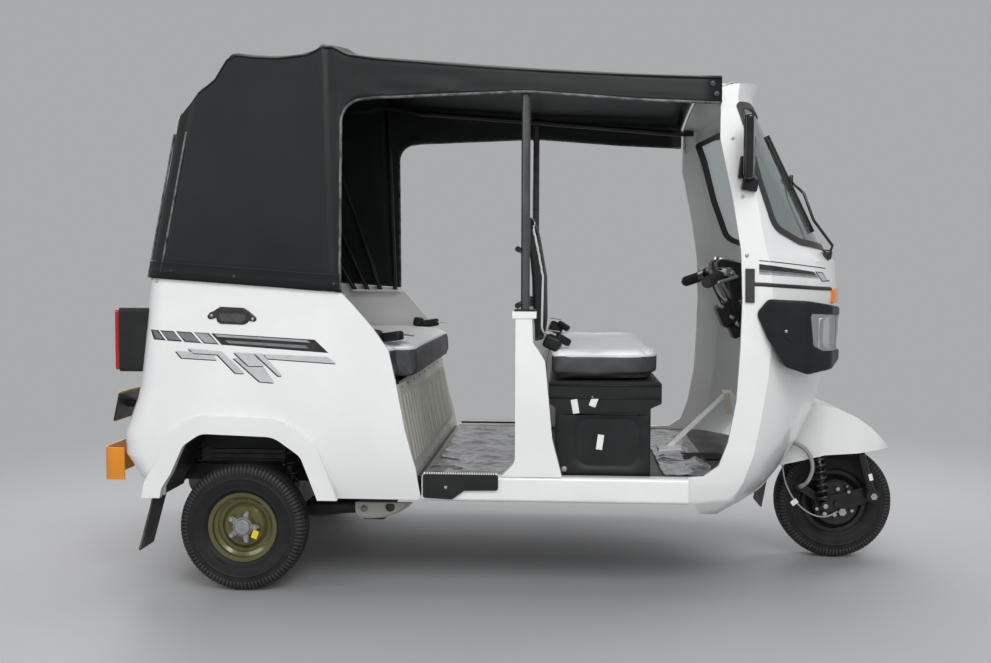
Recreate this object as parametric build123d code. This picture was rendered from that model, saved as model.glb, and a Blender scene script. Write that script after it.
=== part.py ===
"""A three-wheeled auto rickshaw with a cloth hood, as an assembly of separate pieces.

Millimetres. +X is forward, +Y is the vehicle's left, +Z is up. The origin is on the ground under the
middle of the vehicle's length and width. One wheel steers at the front, two carry the rear engine.
Outlines are tables of (x, z), (x, y) or (y, z) corners, as each heading says, and are symmetric
about the XZ plane unless a side is named. The x of a table is measured from the station that at()
names: the front axle, the centre pillars or the rear axle. Heights are from the ground.
"""

import math
import os

from build123d import *

os.makedirs("parts", exist_ok=True)

# ------------------------------------------------------------------ driving dimensions
FRONT_AXLE_TO_PILLAR = 1089.0
PILLAR_TO_REAR_AXLE = 896.0
REAR_AXLE_TO_TUB_END = 386.0
BUMPER_STANDOFF = 73.5        # from the end of the tub to the bumper's rear face
OVERALL_WIDTH = 1330.0        # over the lips of the rear arches

TYRE_RADIUS = 202.5
TYRE_WIDTH = 104.0
RIM_FLANGE_RADIUS = 111.0
RIM_FLANGE_WIDTH = 74.0
AXLE_RADIUS = 12.0

OVERALL_LENGTH = (
    TYRE_RADIUS + FRONT_AXLE_TO_PILLAR + PILLAR_TO_REAR_AXLE + REAR_AXLE_TO_TUB_END + BUMPER_STANDOFF
)
FRONT_AXLE_X = OVERALL_LENGTH / 2 - TYRE_RADIUS
PILLAR_X = FRONT_AXLE_X - FRONT_AXLE_TO_PILLAR
REAR_AXLE_X = PILLAR_X - PILLAR_TO_REAR_AXLE
TUB_END_X = REAR_AXLE_X - REAR_AXLE_TO_TUB_END
REAR_END_X = -OVERALL_LENGTH / 2
AXLE_Z = TYRE_RADIUS

ARCH_LIP = 13.0               # the arch lips stand out of the tub's widest line
TUB_HALF_WIDTH = OVERALL_WIDTH / 2 - ARCH_LIP
REAR_WHEEL_Y = TUB_HALF_WIDTH - 77
COWL_HALF_WIDTH = TUB_HALF_WIDTH - 40
SILL_OUTER_Y = TUB_HALF_WIDTH - 24
WIDE = TUB_HALF_WIDTH + 100   # half width of cutters that pass right through the vehicle

FLOOR_TOP = 372.0
FLOOR_THICK = 16.0
SILL_TOP = 380.0
SILL_BOTTOM = 300.0
SILL_THICK = 44.0

PANEL = 12.0          # wall of the tub and the cowl, inner and outer skins together
CLOTH = 6.0           # wall of the hood
SEAM = 0.3            # gap between pieces that touch
MOVING_GAP = 6.0      # gap between a piece that moves and its surroundings


# ------------------------------------------------------------------ helpers
def at(station, rows):
    """A table whose first column, x, is measured from a station."""
    return [(station + x, *rest) for x, *rest in rows]


def flat(points, radius=0):
    """A face in the XY plane with its corners rounded by one radius, or by a list of them."""
    radii = [radius] * len(points) if isinstance(radius, (int, float)) else radius
    if any(radii):
        outline = FilletPolyline(*points, radius=radii, close=True)
    else:
        outline = Polyline(*points, close=True)
    return Face(Wire(outline.edges()))


def prism_y(points, y0, y1, radius=0):
    """An outline of (x, z) corners, or a face made by flat(), pushed from y0 to y1."""
    face = flat(points, radius) if isinstance(points, list) else points
    plane = Plane(origin=(0, y0, 0), x_dir=(1, 0, 0), z_dir=(0, -1, 0))
    return extrude(plane * face, amount=y1 - y0, dir=(0, 1, 0))


def prism_z(points, z0, z1, radius=0):
    """An outline of (x, y) corners pushed from z0 to z1."""
    face = flat(points, radius) if isinstance(points, list) else points
    return extrude(Pos(0, 0, z0) * face, amount=z1 - z0, dir=(0, 0, 1))


def prism_x(points, x0, x1, radius=0):
    """An outline of (y, z) corners pushed from x0 to x1."""
    face = flat(points, radius) if isinstance(points, list) else points
    plane = Plane(origin=(x0, 0, 0), x_dir=(0, 1, 0), z_dir=(1, 0, 0))
    return extrude(plane * face, amount=x1 - x0, dir=(1, 0, 0))


def block(x, y, z):
    """A box from the two ends of its span on each axis."""
    size = (x[1] - x[0], y[1] - y[0], z[1] - z[0])
    return Pos(sum(x) / 2, sum(y) / 2, sum(z) / 2) * Box(*size)


def rod(start, end, radius):
    """A round bar between two points."""
    start, end = Vector(*start), Vector(*end)
    along = end - start
    return Plane(origin=start, z_dir=along) * extrude(Circle(radius), amount=along.length)


def along_y(x, z, y0, y1, radius):
    return rod((x, y0, z), (x, y1, z), radius)


def tube(points, radius, bend):
    """A round bar along straight runs joined by arcs of one bend radius."""
    path = FilletPolyline(*points, radius=bend) if len(points) > 2 else Line(*points)
    start = Plane(origin=path @ 0, z_dir=path % 0)
    return sweep(start * Circle(radius), path=path)


def turned(profile, x, y, z):
    """Spins a profile of (radius, y offset) corners about the line through (x, z) along Y."""
    plane = Plane(origin=(x, y, z), x_dir=(1, 0, 0), z_dir=(0, 0, 1))
    return revolve(plane * flat(profile), axis=Axis((x, y, z), (0, 1, 0)))


def between(low, high, z):
    """The x at height z on the line between two (x, z) points."""
    return low[0] + (high[0] - low[0]) * (z - low[1]) / (high[1] - low[1])


def mirrored(shape):
    return mirror(shape, about=Plane.XZ)


def both(shape):
    """A right-hand piece and its mirror image on the left."""
    return [shape, mirrored(shape)]


def save(name, *shapes):
    """Writes one node, with every solid of the shapes given."""
    solids = [s for shape in shapes for s in shape.solids()]
    whole = solids[0] if len(solids) == 1 else Compound(solids)
    export_step(whole, f"parts/{name}.step")


# ------------------------------------------------------------------ front cowl: its lofted form
COWL_REAR_X = FRONT_AXLE_X - 581
# one row a section: height, rear half width taken in from the widest, then from the front axle
# the x of the bend and of the nose, with the half width at the bend taken in from the widest
COWL_SECTIONS = [
    (200, 142, -531, 172, -399),
    (232, 92, -511, 132, -345),
    (262, 57, -481, 92, -297),
    (300, 24, -441, 60, -249),
    (360, 12, -406, 46, -204),
    (450, 6, -376, 36, -145),
    (560, 4, -356, 31, -91),
    (690, 2, -336, 27, -58),
    (860, 0, -326, 24, -29),
    (940, 0, -326, 22, -15),
    (1057, 2, -339, 22, -24),
    (1097, 4, -351, 24, -64),
    (1560, 36, -437, 58, -315),
    (1600, 40, -431, 62, -321),
    (1640, 44, -431, 64, -303),
    (1665, 52, -431, 74, -315),
    (1690, 72, -449, 92, -351),
]


def cowl_form(inset, low=0.0):
    """The cowl's solid form, taken in by an inset; low moves its lowest section."""
    wires = []
    for i, (z, rear_in, bend_x, bend_in, nose_x) in enumerate(COWL_SECTIONS):
        z = z + (low if i == 0 else 0)
        rear = (COWL_REAR_X, -(COWL_HALF_WIDTH - rear_in - inset), z)
        bend = (FRONT_AXLE_X + bend_x - inset * 0.4, -(COWL_HALF_WIDTH - bend_in - inset), z)
        nose = (FRONT_AXLE_X + nose_x - inset, 0, z)
        bend_left = (bend[0], -bend[1], z)
        rear_left = (rear[0], -rear[1], z)
        edges = [
            Edge.make_line(rear, bend),
            Edge.make_three_point_arc(bend, nose, bend_left),
            Edge.make_line(bend_left, rear_left),
            Edge.make_line(rear_left, rear),
        ]
        wires.append(Wire(edges))
    return Solid.make_loft(wires, ruled=True)


COWL_ROOF_SIDE_Z = 1566.0     # the roof's arc at the half width below
COWL_ROOF_HALF_WIDTH = COWL_HALF_WIDTH + 88
COWL_ROOF_CROWN = 87.0        # its rise from there to the middle


def cowl_roof_z(y):
    """Height of the cowl's roof at a distance from the middle."""
    radius = (COWL_ROOF_HALF_WIDTH ** 2 + COWL_ROOF_CROWN ** 2) / (2 * COWL_ROOF_CROWN)
    return COWL_ROOF_SIDE_Z + COWL_ROOF_CROWN - radius + math.sqrt(radius ** 2 - y ** 2)


def under_cowl_roof(drop):
    """Everything under the cowl roof's arc, lowered by a drop."""
    half = COWL_ROOF_HALF_WIDTH
    side_z = COWL_ROOF_SIDE_Z - drop
    edges = [
        Edge.make_line((-half, -drop), (half, -drop)),
        Edge.make_line((half, -drop), (half, side_z)),
        Edge.make_three_point_arc((half, side_z), (0, side_z + COWL_ROOF_CROWN), (-half, side_z)),
        Edge.make_line((-half, side_z), (-half, -drop)),
    ]
    return prism_x(Face(Wire(edges)), COWL_REAR_X - 50 - drop, FRONT_AXLE_X + 280)


# the door edge of the cowl, from the roof down to the sill: (x, z)
DOOR_EDGE = at(FRONT_AXLE_X, [
    (-489, 1700), (-491, 1430), (-451, 1240), (-426, 1086), (-420, 930),
    (-424, 780), (-433, 620), (-457, 490), (-485, 416), (-531, SILL_TOP + 4),
    (-601, SILL_TOP), (-641, SILL_TOP), (-641, 1700),
])
door_cut = prism_y(DOOR_EDGE, -WIDE, WIDE)

# the foot of the cowl below the sill is cut away to this outline: (x, z)
FOOT_EDGE = at(FRONT_AXLE_X, [(-641, SILL_BOTTOM + 2), (-563, SILL_BOTTOM), (-533, 252), (-487, 243), (-421, 180), (-641, 180)])
foot_cut = prism_y(FOOT_EDGE, -WIDE, WIDE)

# the windscreen opening seen from the side: (x, z), and the corner radii
SCREEN_OUTLINE = at(FRONT_AXLE_X, [
    (-445, 1540), (-418, 1463), (-377, 1308), (-321, 1150), (-221, 1106),
    (-21, 1088), (129, 1088), (129, 1560), (-381, 1560),
])
SCREEN_RADII = [14, 60, 90, 80, 90, 30, 0, 0, 20]
SEAL_WIDTH = 20.0
SEAL_PROUD = 4.0
SEAL_INSIDE = 3.0
GLASS = 6.0
GLASS_INSET = 3.0
screen_face = flat(SCREEN_OUTLINE, SCREEN_RADII)
screen_cut = prism_y(screen_face, -WIDE, WIDE)
seal_hole = prism_y(offset(screen_face, amount=-SEAL_WIDTH), -WIDE, WIDE)
seal_outer = prism_y(offset(screen_face, amount=-SEAM), -WIDE, WIDE)
glass_cut = prism_y(offset(screen_face, amount=-SEAL_WIDTH - SEAM), -WIDE, WIDE)

# the recess for the front wheel and its mudguard: (x, z)
WELL_HALF_WIDTH = 208.0
WELL_REAR_X = FRONT_AXLE_X - 289
WELL_TOP = at(FRONT_AXLE_X, [(-289, 459), (-36, 625), (179, 625)])
WELL_OUTLINE = at(FRONT_AXLE_X, [(179, 150), (-289, 150)]) + WELL_TOP
WELL_SKIN = 8.0
well_cut = prism_y(WELL_OUTLINE, -WELL_HALF_WIDTH, WELL_HALF_WIDTH)

OPEN_BELOW = -20.0            # the hollow passes out of the bottom
cowl_outer = cowl_form(0) & under_cowl_roof(0)
cowl_inner = cowl_form(PANEL, low=OPEN_BELOW) & under_cowl_roof(PANEL)
cowl_skin = cowl_outer - cowl_inner
front_cowl = cowl_skin - door_cut - foot_cut - screen_cut - well_cut
save("front_cowl", front_cowl)

# rubber seal round the glass, standing a little proud, and the curved glass inside it
seal_body = (cowl_form(-SEAL_PROUD) & under_cowl_roof(-SEAL_PROUD)) - (
    cowl_form(PANEL + SEAL_INSIDE, low=OPEN_BELOW) & under_cowl_roof(PANEL + SEAL_INSIDE)
)
save("windscreen_seal", (seal_body & seal_outer) - seal_hole)
glass_body = cowl_form(GLASS_INSET) - cowl_form(GLASS_INSET + GLASS, low=OPEN_BELOW)
save("windscreen_glass", glass_body & glass_cut)

# wheel well liner: a skin that closes the recess from the cab, open to the front and below
well_hollow = prism_y(
    offset(flat(WELL_OUTLINE), amount=-WELL_SKIN), -WELL_HALF_WIDTH + WELL_SKIN, WELL_HALF_WIDTH - WELL_SKIN
)
well_mouth = block((WELL_REAR_X + WELL_SKIN, FRONT_AXLE_X + 279), (-WELL_HALF_WIDTH + WELL_SKIN, WELL_HALF_WIDTH - WELL_SKIN),
                   (100, 180))
well_body = prism_y(WELL_OUTLINE, -WELL_HALF_WIDTH + SEAM, WELL_HALF_WIDTH - SEAM)
well_liner = (well_body - well_hollow - well_mouth) & cowl_form(PANEL + SEAM)

# ------------------------------------------------------------------ steering axis
STEER_TOP = Vector(FRONT_AXLE_X - 405, 0, 1010)
STEER_LOW = Vector(FRONT_AXLE_X - 71, 0, 318)
STEER_DIR = (STEER_TOP - STEER_LOW).normalized()
COLUMN_RADIUS = 19.0
COLUMN_CLEARANCE = 0.05
HEAD_WALL = 11.0
HEAD_RADIUS = COLUMN_RADIUS + HEAD_WALL
HEAD_LOW_Z = 524.0
HEAD_HIGH_Z = 700.0


def on_steer(z):
    """The point of the steering axis at a height."""
    return STEER_LOW + STEER_DIR * ((z - STEER_LOW.Z) / STEER_DIR.Z)


head_tube = rod(on_steer(HEAD_LOW_Z), on_steer(HEAD_HIGH_Z), HEAD_RADIUS)
head_bore = rod(on_steer(HEAD_LOW_Z - 60), on_steer(HEAD_HIGH_Z + 60), COLUMN_RADIUS + COLUMN_CLEARANCE)
save("wheel_well", well_liner + head_tube - head_bore)

# ------------------------------------------------------------------ floor, sills, chassis
FLOOR_REAR_X = REAR_AXLE_X + 546
FLOOR_HALF_WIDTH = SILL_OUTER_Y - SILL_THICK - SEAM
floor_rear = block((FLOOR_REAR_X, COWL_REAR_X), (-FLOOR_HALF_WIDTH, FLOOR_HALF_WIDTH),
                   (FLOOR_TOP - FLOOR_THICK, FLOOR_TOP))
floor_front = block((COWL_REAR_X, WELL_REAR_X - SEAM), (-FLOOR_HALF_WIDTH, FLOOR_HALF_WIDTH),
                    (FLOOR_TOP - FLOOR_THICK, FLOOR_TOP)) & cowl_form(PANEL + SEAM)
save("floor_pan", floor_rear + floor_front)

SILL_REAR_X = REAR_AXLE_X + 576
SILL_ROUND = 12.0
sill = block((SILL_REAR_X, COWL_REAR_X - SEAM), (-SILL_OUTER_Y, -SILL_OUTER_Y + SILL_THICK),
             (SILL_BOTTOM, SILL_TOP))
sill = fillet(sill.edges().filter_by(Axis.X).group_by(Axis.Y)[0], SILL_ROUND)
save("sills", *both(sill))

# plastic step on each sill, between the tub and the pillar; its lower edge rises part way along
STEP_X = (SILL_REAR_X + 5, PILLAR_X - 80)
STEP_THICK = 9.0
STEP_RISE = (0.39, 0.55)
STEP_LENGTH = STEP_X[1] - STEP_X[0]
STEP_OUTLINE = [
    (STEP_X[0], SILL_TOP + 6), (STEP_X[0], SILL_BOTTOM + 12),
    (STEP_X[0] + STEP_LENGTH * STEP_RISE[0], SILL_BOTTOM + 8),
    (STEP_X[0] + STEP_LENGTH * STEP_RISE[1], SILL_BOTTOM + 36),
    (STEP_X[1], SILL_BOTTOM + 38), (STEP_X[1], SILL_TOP + 6),
]
save("step_panels", *both(prism_y(STEP_OUTLINE, -SILL_OUTER_Y - STEP_THICK, -SILL_OUTER_Y - SEAM, 8)))

RAIL_Y = 300.0
RAIL_WIDTH = 60.0
RAIL_HEIGHT = 54.0
RAIL_TOP = FLOOR_TOP - FLOOR_THICK - SEAM
CHASSIS_X = (REAR_AXLE_X - 286, FRONT_AXLE_X - 421)
CROSS_WIDTH = 50.0
CROSS_DROP = (46.0, 4.0)      # the cross members' lower and upper faces under the rails' top
# one row a cross member: x, half width
CROSSES = at(REAR_AXLE_X, [(224, 430), (564, FLOOR_HALF_WIDTH)]) + at(PILLAR_X, [(68, FLOOR_HALF_WIDTH)]) + at(FRONT_AXLE_X, [(-521, COWL_HALF_WIDTH - 72)])
rails = [
    block(CHASSIS_X, (y - RAIL_WIDTH / 2, y + RAIL_WIDTH / 2), (RAIL_TOP - RAIL_HEIGHT, RAIL_TOP))
    for y in (-RAIL_Y, RAIL_Y)
]
crosses = [
    block((x - CROSS_WIDTH / 2, x + CROSS_WIDTH / 2), (-half, half), (RAIL_TOP - CROSS_DROP[0], RAIL_TOP - CROSS_DROP[1]))
    for x, half in CROSSES
]

# ------------------------------------------------------------------ centre pillars
PILLAR_THICK = 62.0
PILLAR_Y = (-SILL_OUTER_Y, -SILL_OUTER_Y + PILLAR_THICK)
PILLAR_TOP = 874.0
PILLAR_CAP_HEIGHT = 21.0
# (x, z) corners of the pillar, wide at the foot, and their radii
PILLAR_OUTLINE = at(PILLAR_X, [
    (-28, PILLAR_TOP), (23, PILLAR_TOP), (26, 800), (64, 742), (87, 500), (118, SILL_TOP + SEAM),
    (-72, SILL_TOP + SEAM), (-28, 424),
])
PILLAR_RADII = [3, 3, 20, 40, 60, 0, 0, 40]
PILLAR_CAP_X = (PILLAR_X - 38, PILLAR_X + 36)
pillar = prism_y(PILLAR_OUTLINE, *PILLAR_Y, PILLAR_RADII) + block(
    PILLAR_CAP_X, (PILLAR_Y[0] - 4, PILLAR_Y[1] + 4), (PILLAR_TOP, PILLAR_TOP + PILLAR_CAP_HEIGHT)
)
save("centre_pillars", *both(pillar))

# ------------------------------------------------------------------ rear tub
STAY_Y = RAIL_Y
STAY_HALF_WIDTH = 16.0
STAY_TOP = 392.0
TUB_CORNER = 85.0
TUB_BOTTOM = SILL_BOTTOM + 3
TUB_FRONT_X = REAR_AXLE_X + 764         # the loft runs past the tub's front edge, which a side outline cuts


def plan_wire(z, rear_x, half_width, inset, corner, front_x):
    """A level section with two round rear corners, open-ended towards front_x."""
    r = corner - inset
    x = rear_x + inset
    w = half_width - inset
    k = r * (1 - math.sqrt(0.5))
    edges = [
        Edge.make_line((front_x, -w, z), (x + r, -w, z)),
        Edge.make_three_point_arc((x + r, -w, z), (x + k, -w + k, z), (x, -w + r, z)),
        Edge.make_line((x, -w + r, z), (x, w - r, z)),
        Edge.make_three_point_arc((x, w - r, z), (x + k, w - k, z), (x + r, w, z)),
        Edge.make_line((x + r, w, z), (front_x, w, z)),
        Edge.make_line((front_x, w, z), (front_x, -w, z)),
    ]
    return Wire(edges)


# one row a section of the tub: height, rear wall in from the tub's end, half width in from the widest
TUB_SECTIONS = [
    (290, 100, 30), (325, 78, 22), (361, 44, 12), (434, 0, 2), (505, 0, 0), (609, 38, 4), (650, 48, 7), (1010, 83, 22),
]


def tub_form(inset, extra=0.0):
    """The tub's solid form; extra pushes its two open ends out."""
    last = len(TUB_SECTIONS) - 1
    wires = []
    for i, (z, rear_in, side_in) in enumerate(TUB_SECTIONS):
        z = z - (extra if i == 0 else 0) + (extra if i == last else 0)
        wires.append(plan_wire(z, TUB_END_X + rear_in, TUB_HALF_WIDTH - side_in, inset, TUB_CORNER, TUB_FRONT_X))
    return Solid.make_loft(wires, ruled=True)


def tub_rear_x(z):
    """The x of the tub's rear wall at a height."""
    for (low_z, low_in, _), (high_z, high_in, _) in zip(TUB_SECTIONS, TUB_SECTIONS[1:]):
        if z <= high_z:
            return TUB_END_X + between((low_in, low_z), (high_in, high_z), z)
    return TUB_END_X + TUB_SECTIONS[-1][1]


PAST = 20.0                   # how far a hollow passes out of an open end
# the side panel, with its rear end outside the loft: (x, z) corners, and their radii
TUB_SIDE = at(REAR_AXLE_X, [
    (-304, 1000), (324, 950), (359, 915), (423, 842), (473, 774), (495, 681),
    (526, 525), (559, 405), (574, TUB_BOTTOM), (-266, TUB_BOTTOM), (-301, 290), (-436, 290), (-436, 1011),
])
TUB_SIDE_RADII = [0, 10, 60, 60, 50, 60, 60, 20, 12, 0, 0, 0, 0]
tub_hollow = tub_form(PANEL, PAST)
tub_skin = (tub_form(0) & prism_y(TUB_SIDE, -WIDE, WIDE, TUB_SIDE_RADII)) - tub_hollow

# wheel arch: (x, z) corners, and their radii
ARCH_OUTLINE = at(REAR_AXLE_X, [
    (264, 270), (250, 312), (200, 440), (116, 500), (-116, 508), (-172, 470), (-214, 378),
    (-242, 335), (-256, 270),
])
ARCH_RADII = [0, 10, 50, 90, 60, 50, 60, 10, 0]
arch_face = flat(ARCH_OUTLINE, ARCH_RADII)
ARCH_DEPTH_Y = REAR_WHEEL_Y - 135
arch_hole = prism_y(arch_face, -WIDE, -ARCH_DEPTH_Y)

# flared lip round each arch
FLARE_WIDTH = 58.0
FLARE_TOP = 640.0
flare_ring = offset(arch_face, amount=FLARE_WIDTH) - arch_face
flare = prism_y(flare_ring.faces()[0], -OVERALL_WIDTH / 2, -TUB_HALF_WIDTH + PANEL) & block(
    (REAR_AXLE_X - 536, REAR_AXLE_X + 464), (-WIDE, WIDE), (TUB_BOTTOM, FLARE_TOP)
)
flare = flare - tub_hollow

# the shelf inside each top edge that the hood's legs stand on
LEG_SHELF_X = (REAR_AXLE_X + 129, REAR_AXLE_X + 326)
LEG_SHELF_WIDTH = 66.0
LEG_SHELF_Z = (936.0, 944.0)
leg_shelf = block(LEG_SHELF_X, (-TUB_HALF_WIDTH, -TUB_HALF_WIDTH + 20 + LEG_SHELF_WIDTH), LEG_SHELF_Z) & tub_form(1)

LID_HALF_WIDTH = 330.0
LID_Z = (520.0, 945.0)
LID_GAP = 5.0
lid_hole = block((TUB_END_X - 100, TUB_END_X + 250), (-LID_HALF_WIDTH, LID_HALF_WIDTH), LID_Z)
lid_span = block(
    (TUB_END_X - 100, TUB_END_X + 250), (-LID_HALF_WIDTH + LID_GAP, LID_HALF_WIDTH - LID_GAP),
    (LID_Z[0] + LID_GAP, LID_Z[1] - LID_GAP),
)
stay_notches = [
    block((TUB_END_X - 50, TUB_END_X + 150), (y - STAY_HALF_WIDTH - SEAM, y + STAY_HALF_WIDTH + SEAM),
          (200, STAY_TOP + SEAM))
    for y in (-STAY_Y, STAY_Y)
]

# hinge of the engine lid: its line lies a little outside the skin, at the hole's top edge
PIN_RADIUS = 3.0
PIN_CLEARANCE = 0.05
KNUCKLE_RADIUS = 7.0
KNUCKLE_LENGTH = 26.0
LEAF = 16.0
HINGE_Y = (-210.0, 210.0)
LID_AXIS_Z = LID_Z[1]
LID_AXIS_X = tub_rear_x(LID_AXIS_Z) - 2
LEAF_X = (LID_AXIS_X - 2, LID_AXIS_X + 10)


def knuckle(y0, y1, leaf_z):
    """A hinge knuckle with the leaf that joins it to the skin."""
    return along_y(LID_AXIS_X, LID_AXIS_Z, y0, y1, KNUCKLE_RADIUS) + block(LEAF_X, (y0, y1), leaf_z)


lid_knuckles = []
tub_knuckles = []
knuckle_rooms = []
for y in HINGE_Y:
    half = KNUCKLE_LENGTH / 2
    below = (LID_AXIS_Z - LEAF, LID_AXIS_Z - 2)
    above = (LID_AXIS_Z + 1, LID_AXIS_Z + LEAF)
    lid_knuckles.append(knuckle(y - half, y + half, below))
    tub_knuckles.append(knuckle(y + half + SEAM, y + half + KNUCKLE_LENGTH, above))
    tub_knuckles.append(knuckle(y - half - KNUCKLE_LENGTH, y - half - SEAM, above))
    tub_knuckles.append(
        along_y(LID_AXIS_X, LID_AXIS_Z, y - half - KNUCKLE_LENGTH, y + half + KNUCKLE_LENGTH, PIN_RADIUS)
    )
    knuckle_rooms.append(
        along_y(LID_AXIS_X, LID_AXIS_Z, y - half - SEAM, y + half + SEAM, KNUCKLE_RADIUS + 1.5)
    )
hinge_rooms = [along_y(LID_AXIS_X, LID_AXIS_Z, y - 45, y + 45, KNUCKLE_RADIUS + 1.5) for y in HINGE_Y]
pin_bores = [
    along_y(LID_AXIS_X, LID_AXIS_Z, y - 60, y + 60, PIN_RADIUS + PIN_CLEARANCE) for y in HINGE_Y
]

HANDLE_Z = (551.0, 569.0)
HANDLE_HALF_LENGTH = 55.0
HANDLE_PROUD = 25.0
handle = block((TUB_END_X - HANDLE_PROUD, TUB_END_X + 22), (-HANDLE_HALF_LENGTH, HANDLE_HALF_LENGTH), HANDLE_Z)
engine_lid = (tub_form(0) - tub_hollow) & lid_span
engine_lid = engine_lid + (handle - tub_form(PANEL / 2, PAST)) - hinge_rooms + lid_knuckles - pin_bores
save("engine_lid", engine_lid)

rear_tub = tub_skin + both(flare) + both(leg_shelf) - both(arch_hole) - lid_hole - stay_notches
save("rear_tub", rear_tub - knuckle_rooms + tub_knuckles)

# black liner over each rear wheel, out to the tub's inner wall
LINER = 6.0
liner_outer = offset(arch_face, amount=LINER + SEAM)
liner_ring = liner_outer - offset(arch_face, amount=SEAM)
liner = prism_y(liner_ring.faces()[0], -WIDE, -ARCH_DEPTH_Y)
liner_side = prism_y(liner_outer, -ARCH_DEPTH_Y, -ARCH_DEPTH_Y + LINER)
LINER_LOW = 308.0
LINER_SIDE_LOW = 430.0
liner = liner & block((REAR_AXLE_X - 536, REAR_AXLE_X + 464), (-WIDE, 0), (LINER_LOW, FLARE_TOP))
liner_side = liner_side & block((REAR_AXLE_X - 536, REAR_AXLE_X + 464), (-WIDE, 0), (LINER_SIDE_LOW, FLARE_TOP))
save("wheel_liners", *both((liner + liner_side) & tub_form(PANEL + SEAM, PAST)))

# ------------------------------------------------------------------ passenger seat
SEAT_HALF_WIDTH = TUB_HALF_WIDTH - 40
SEAT_DECK_Z = 664.0
SEAT_DECK_THICK = 8.0
# sloping front panel of the seat box with upright ribs: (x, z)
BULKHEAD = at(REAR_AXLE_X, [(550, FLOOR_TOP + SEAM), (558, FLOOR_TOP + SEAM), (502, SEAT_DECK_Z), (492, SEAT_DECK_Z)])
BULKHEAD_FRONT = at(REAR_AXLE_X, [(550, FLOOR_TOP + SEAM), (664, FLOOR_TOP + SEAM), (564, SEAT_DECK_Z), (492, SEAT_DECK_Z)])
RIB_SIZE = (14.0, 26.0, 190.0)
RIB_PITCH = 120.0
RIB_COUNT = 8
slope = math.degrees(math.atan2(BULKHEAD[1][0] - BULKHEAD[2][0], SEAT_DECK_Z - FLOOR_TOP))
bulkhead = prism_y(BULKHEAD, -SEAT_HALF_WIDTH, SEAT_HALF_WIDTH)
for i in range(RIB_COUNT):
    rib_y = (i - (RIB_COUNT - 1) / 2) * RIB_PITCH
    bulkhead = bulkhead + Pos(REAR_AXLE_X + 526, rib_y, 520) * Rot(0, -slope, 0) * Box(*RIB_SIZE)
save("seat_bulkhead", bulkhead & prism_y(BULKHEAD_FRONT, -SEAT_HALF_WIDTH, SEAT_HALF_WIDTH))

seat_deck = block((REAR_AXLE_X - 286, REAR_AXLE_X + 502), (-SEAT_HALF_WIDTH, SEAT_HALF_WIDTH),
                  (SEAT_DECK_Z + SEAM, SEAT_DECK_Z + SEAT_DECK_THICK))
save("seat_deck", seat_deck)

CUSHION_LOW = SEAT_DECK_Z + SEAT_DECK_THICK + SEAM
CUSHION_THICK = 118.0
CUSHION_HALF_WIDTH = SEAT_HALF_WIDTH - 12
CUSHION_CORNER = (92.0, 100.0)       # chamfer of its front corners along x and y
CUSHION_X = (REAR_AXLE_X + 52, REAR_AXLE_X + 564)
cushion_side = [
    (CUSHION_X[0], CUSHION_LOW), (CUSHION_X[1], CUSHION_LOW),
    (CUSHION_X[1], CUSHION_LOW + CUSHION_THICK), (CUSHION_X[0], CUSHION_LOW + CUSHION_THICK),
]
cushion_plan = [
    (CUSHION_X[0], -CUSHION_HALF_WIDTH), (CUSHION_X[1] - CUSHION_CORNER[0], -CUSHION_HALF_WIDTH),
    (CUSHION_X[1], -CUSHION_HALF_WIDTH + CUSHION_CORNER[1]), (CUSHION_X[1], CUSHION_HALF_WIDTH - CUSHION_CORNER[1]),
    (CUSHION_X[1] - CUSHION_CORNER[0], CUSHION_HALF_WIDTH), (CUSHION_X[0], CUSHION_HALF_WIDTH),
]
bench = prism_y(cushion_side, -WIDE, WIDE, [0, 40, 40, 20]) & prism_z(
    cushion_plan, CUSHION_LOW - 1, CUSHION_LOW + CUSHION_THICK + 1, [0, 60, 60, 60, 60, 0]
)
save("bench_cushion", bench)

# its backrest leans on the hood's rear: (x, z)
BENCH_BACK = at(REAR_AXLE_X, [(46, CUSHION_LOW + 2), (-36, CUSHION_LOW + 2), (-121, 1240), (-48, 1240)])
save("bench_backrest", prism_y(BENCH_BACK, -CUSHION_HALF_WIDTH + 25, CUSHION_HALF_WIDTH - 25, [6, 6, 30, 30]))

# ------------------------------------------------------------------ driver's seat
DRIVER_BASE_HALF_WIDTH = FLOOR_HALF_WIDTH - 24
DRIVER_CUSHION_HALF_WIDTH = DRIVER_BASE_HALF_WIDTH - 5
DRIVER_BASE_WALL = 14.0
# moulded base with a rim that stands out over its walls: (x, z)
DRIVER_BASE = at(PILLAR_X, [
    (74, 674), (74, 605), (96, 590), (96, FLOOR_TOP + SEAM), (395, FLOOR_TOP + SEAM), (395, 590),
    (429, 605), (429, 674),
])
DRIVER_HOLLOW = at(PILLAR_X, [(110, 340), (381, 340), (381, 585), (110, 585)])
base = prism_y(DRIVER_BASE, -DRIVER_BASE_HALF_WIDTH, DRIVER_BASE_HALF_WIDTH, [10, 6, 6, 0, 0, 6, 6, 10])
base = base - prism_y(DRIVER_HOLLOW, -DRIVER_BASE_HALF_WIDTH + DRIVER_BASE_WALL, DRIVER_BASE_HALF_WIDTH - DRIVER_BASE_WALL)
save("driver_seat_base", base)
DRIVER_CUSHION_X = (PILLAR_X + 72, PILLAR_X + 436)
DRIVER_CUSHION_Z = (686.0, 768.0)
DRIVER_CUSHION_ROUND = 24.0
driver_cushion = block(DRIVER_CUSHION_X, (-DRIVER_CUSHION_HALF_WIDTH, DRIVER_CUSHION_HALF_WIDTH), DRIVER_CUSHION_Z)
driver_cushion = fillet(driver_cushion.edges().group_by(Axis.Z)[-1], DRIVER_CUSHION_ROUND)
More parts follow.
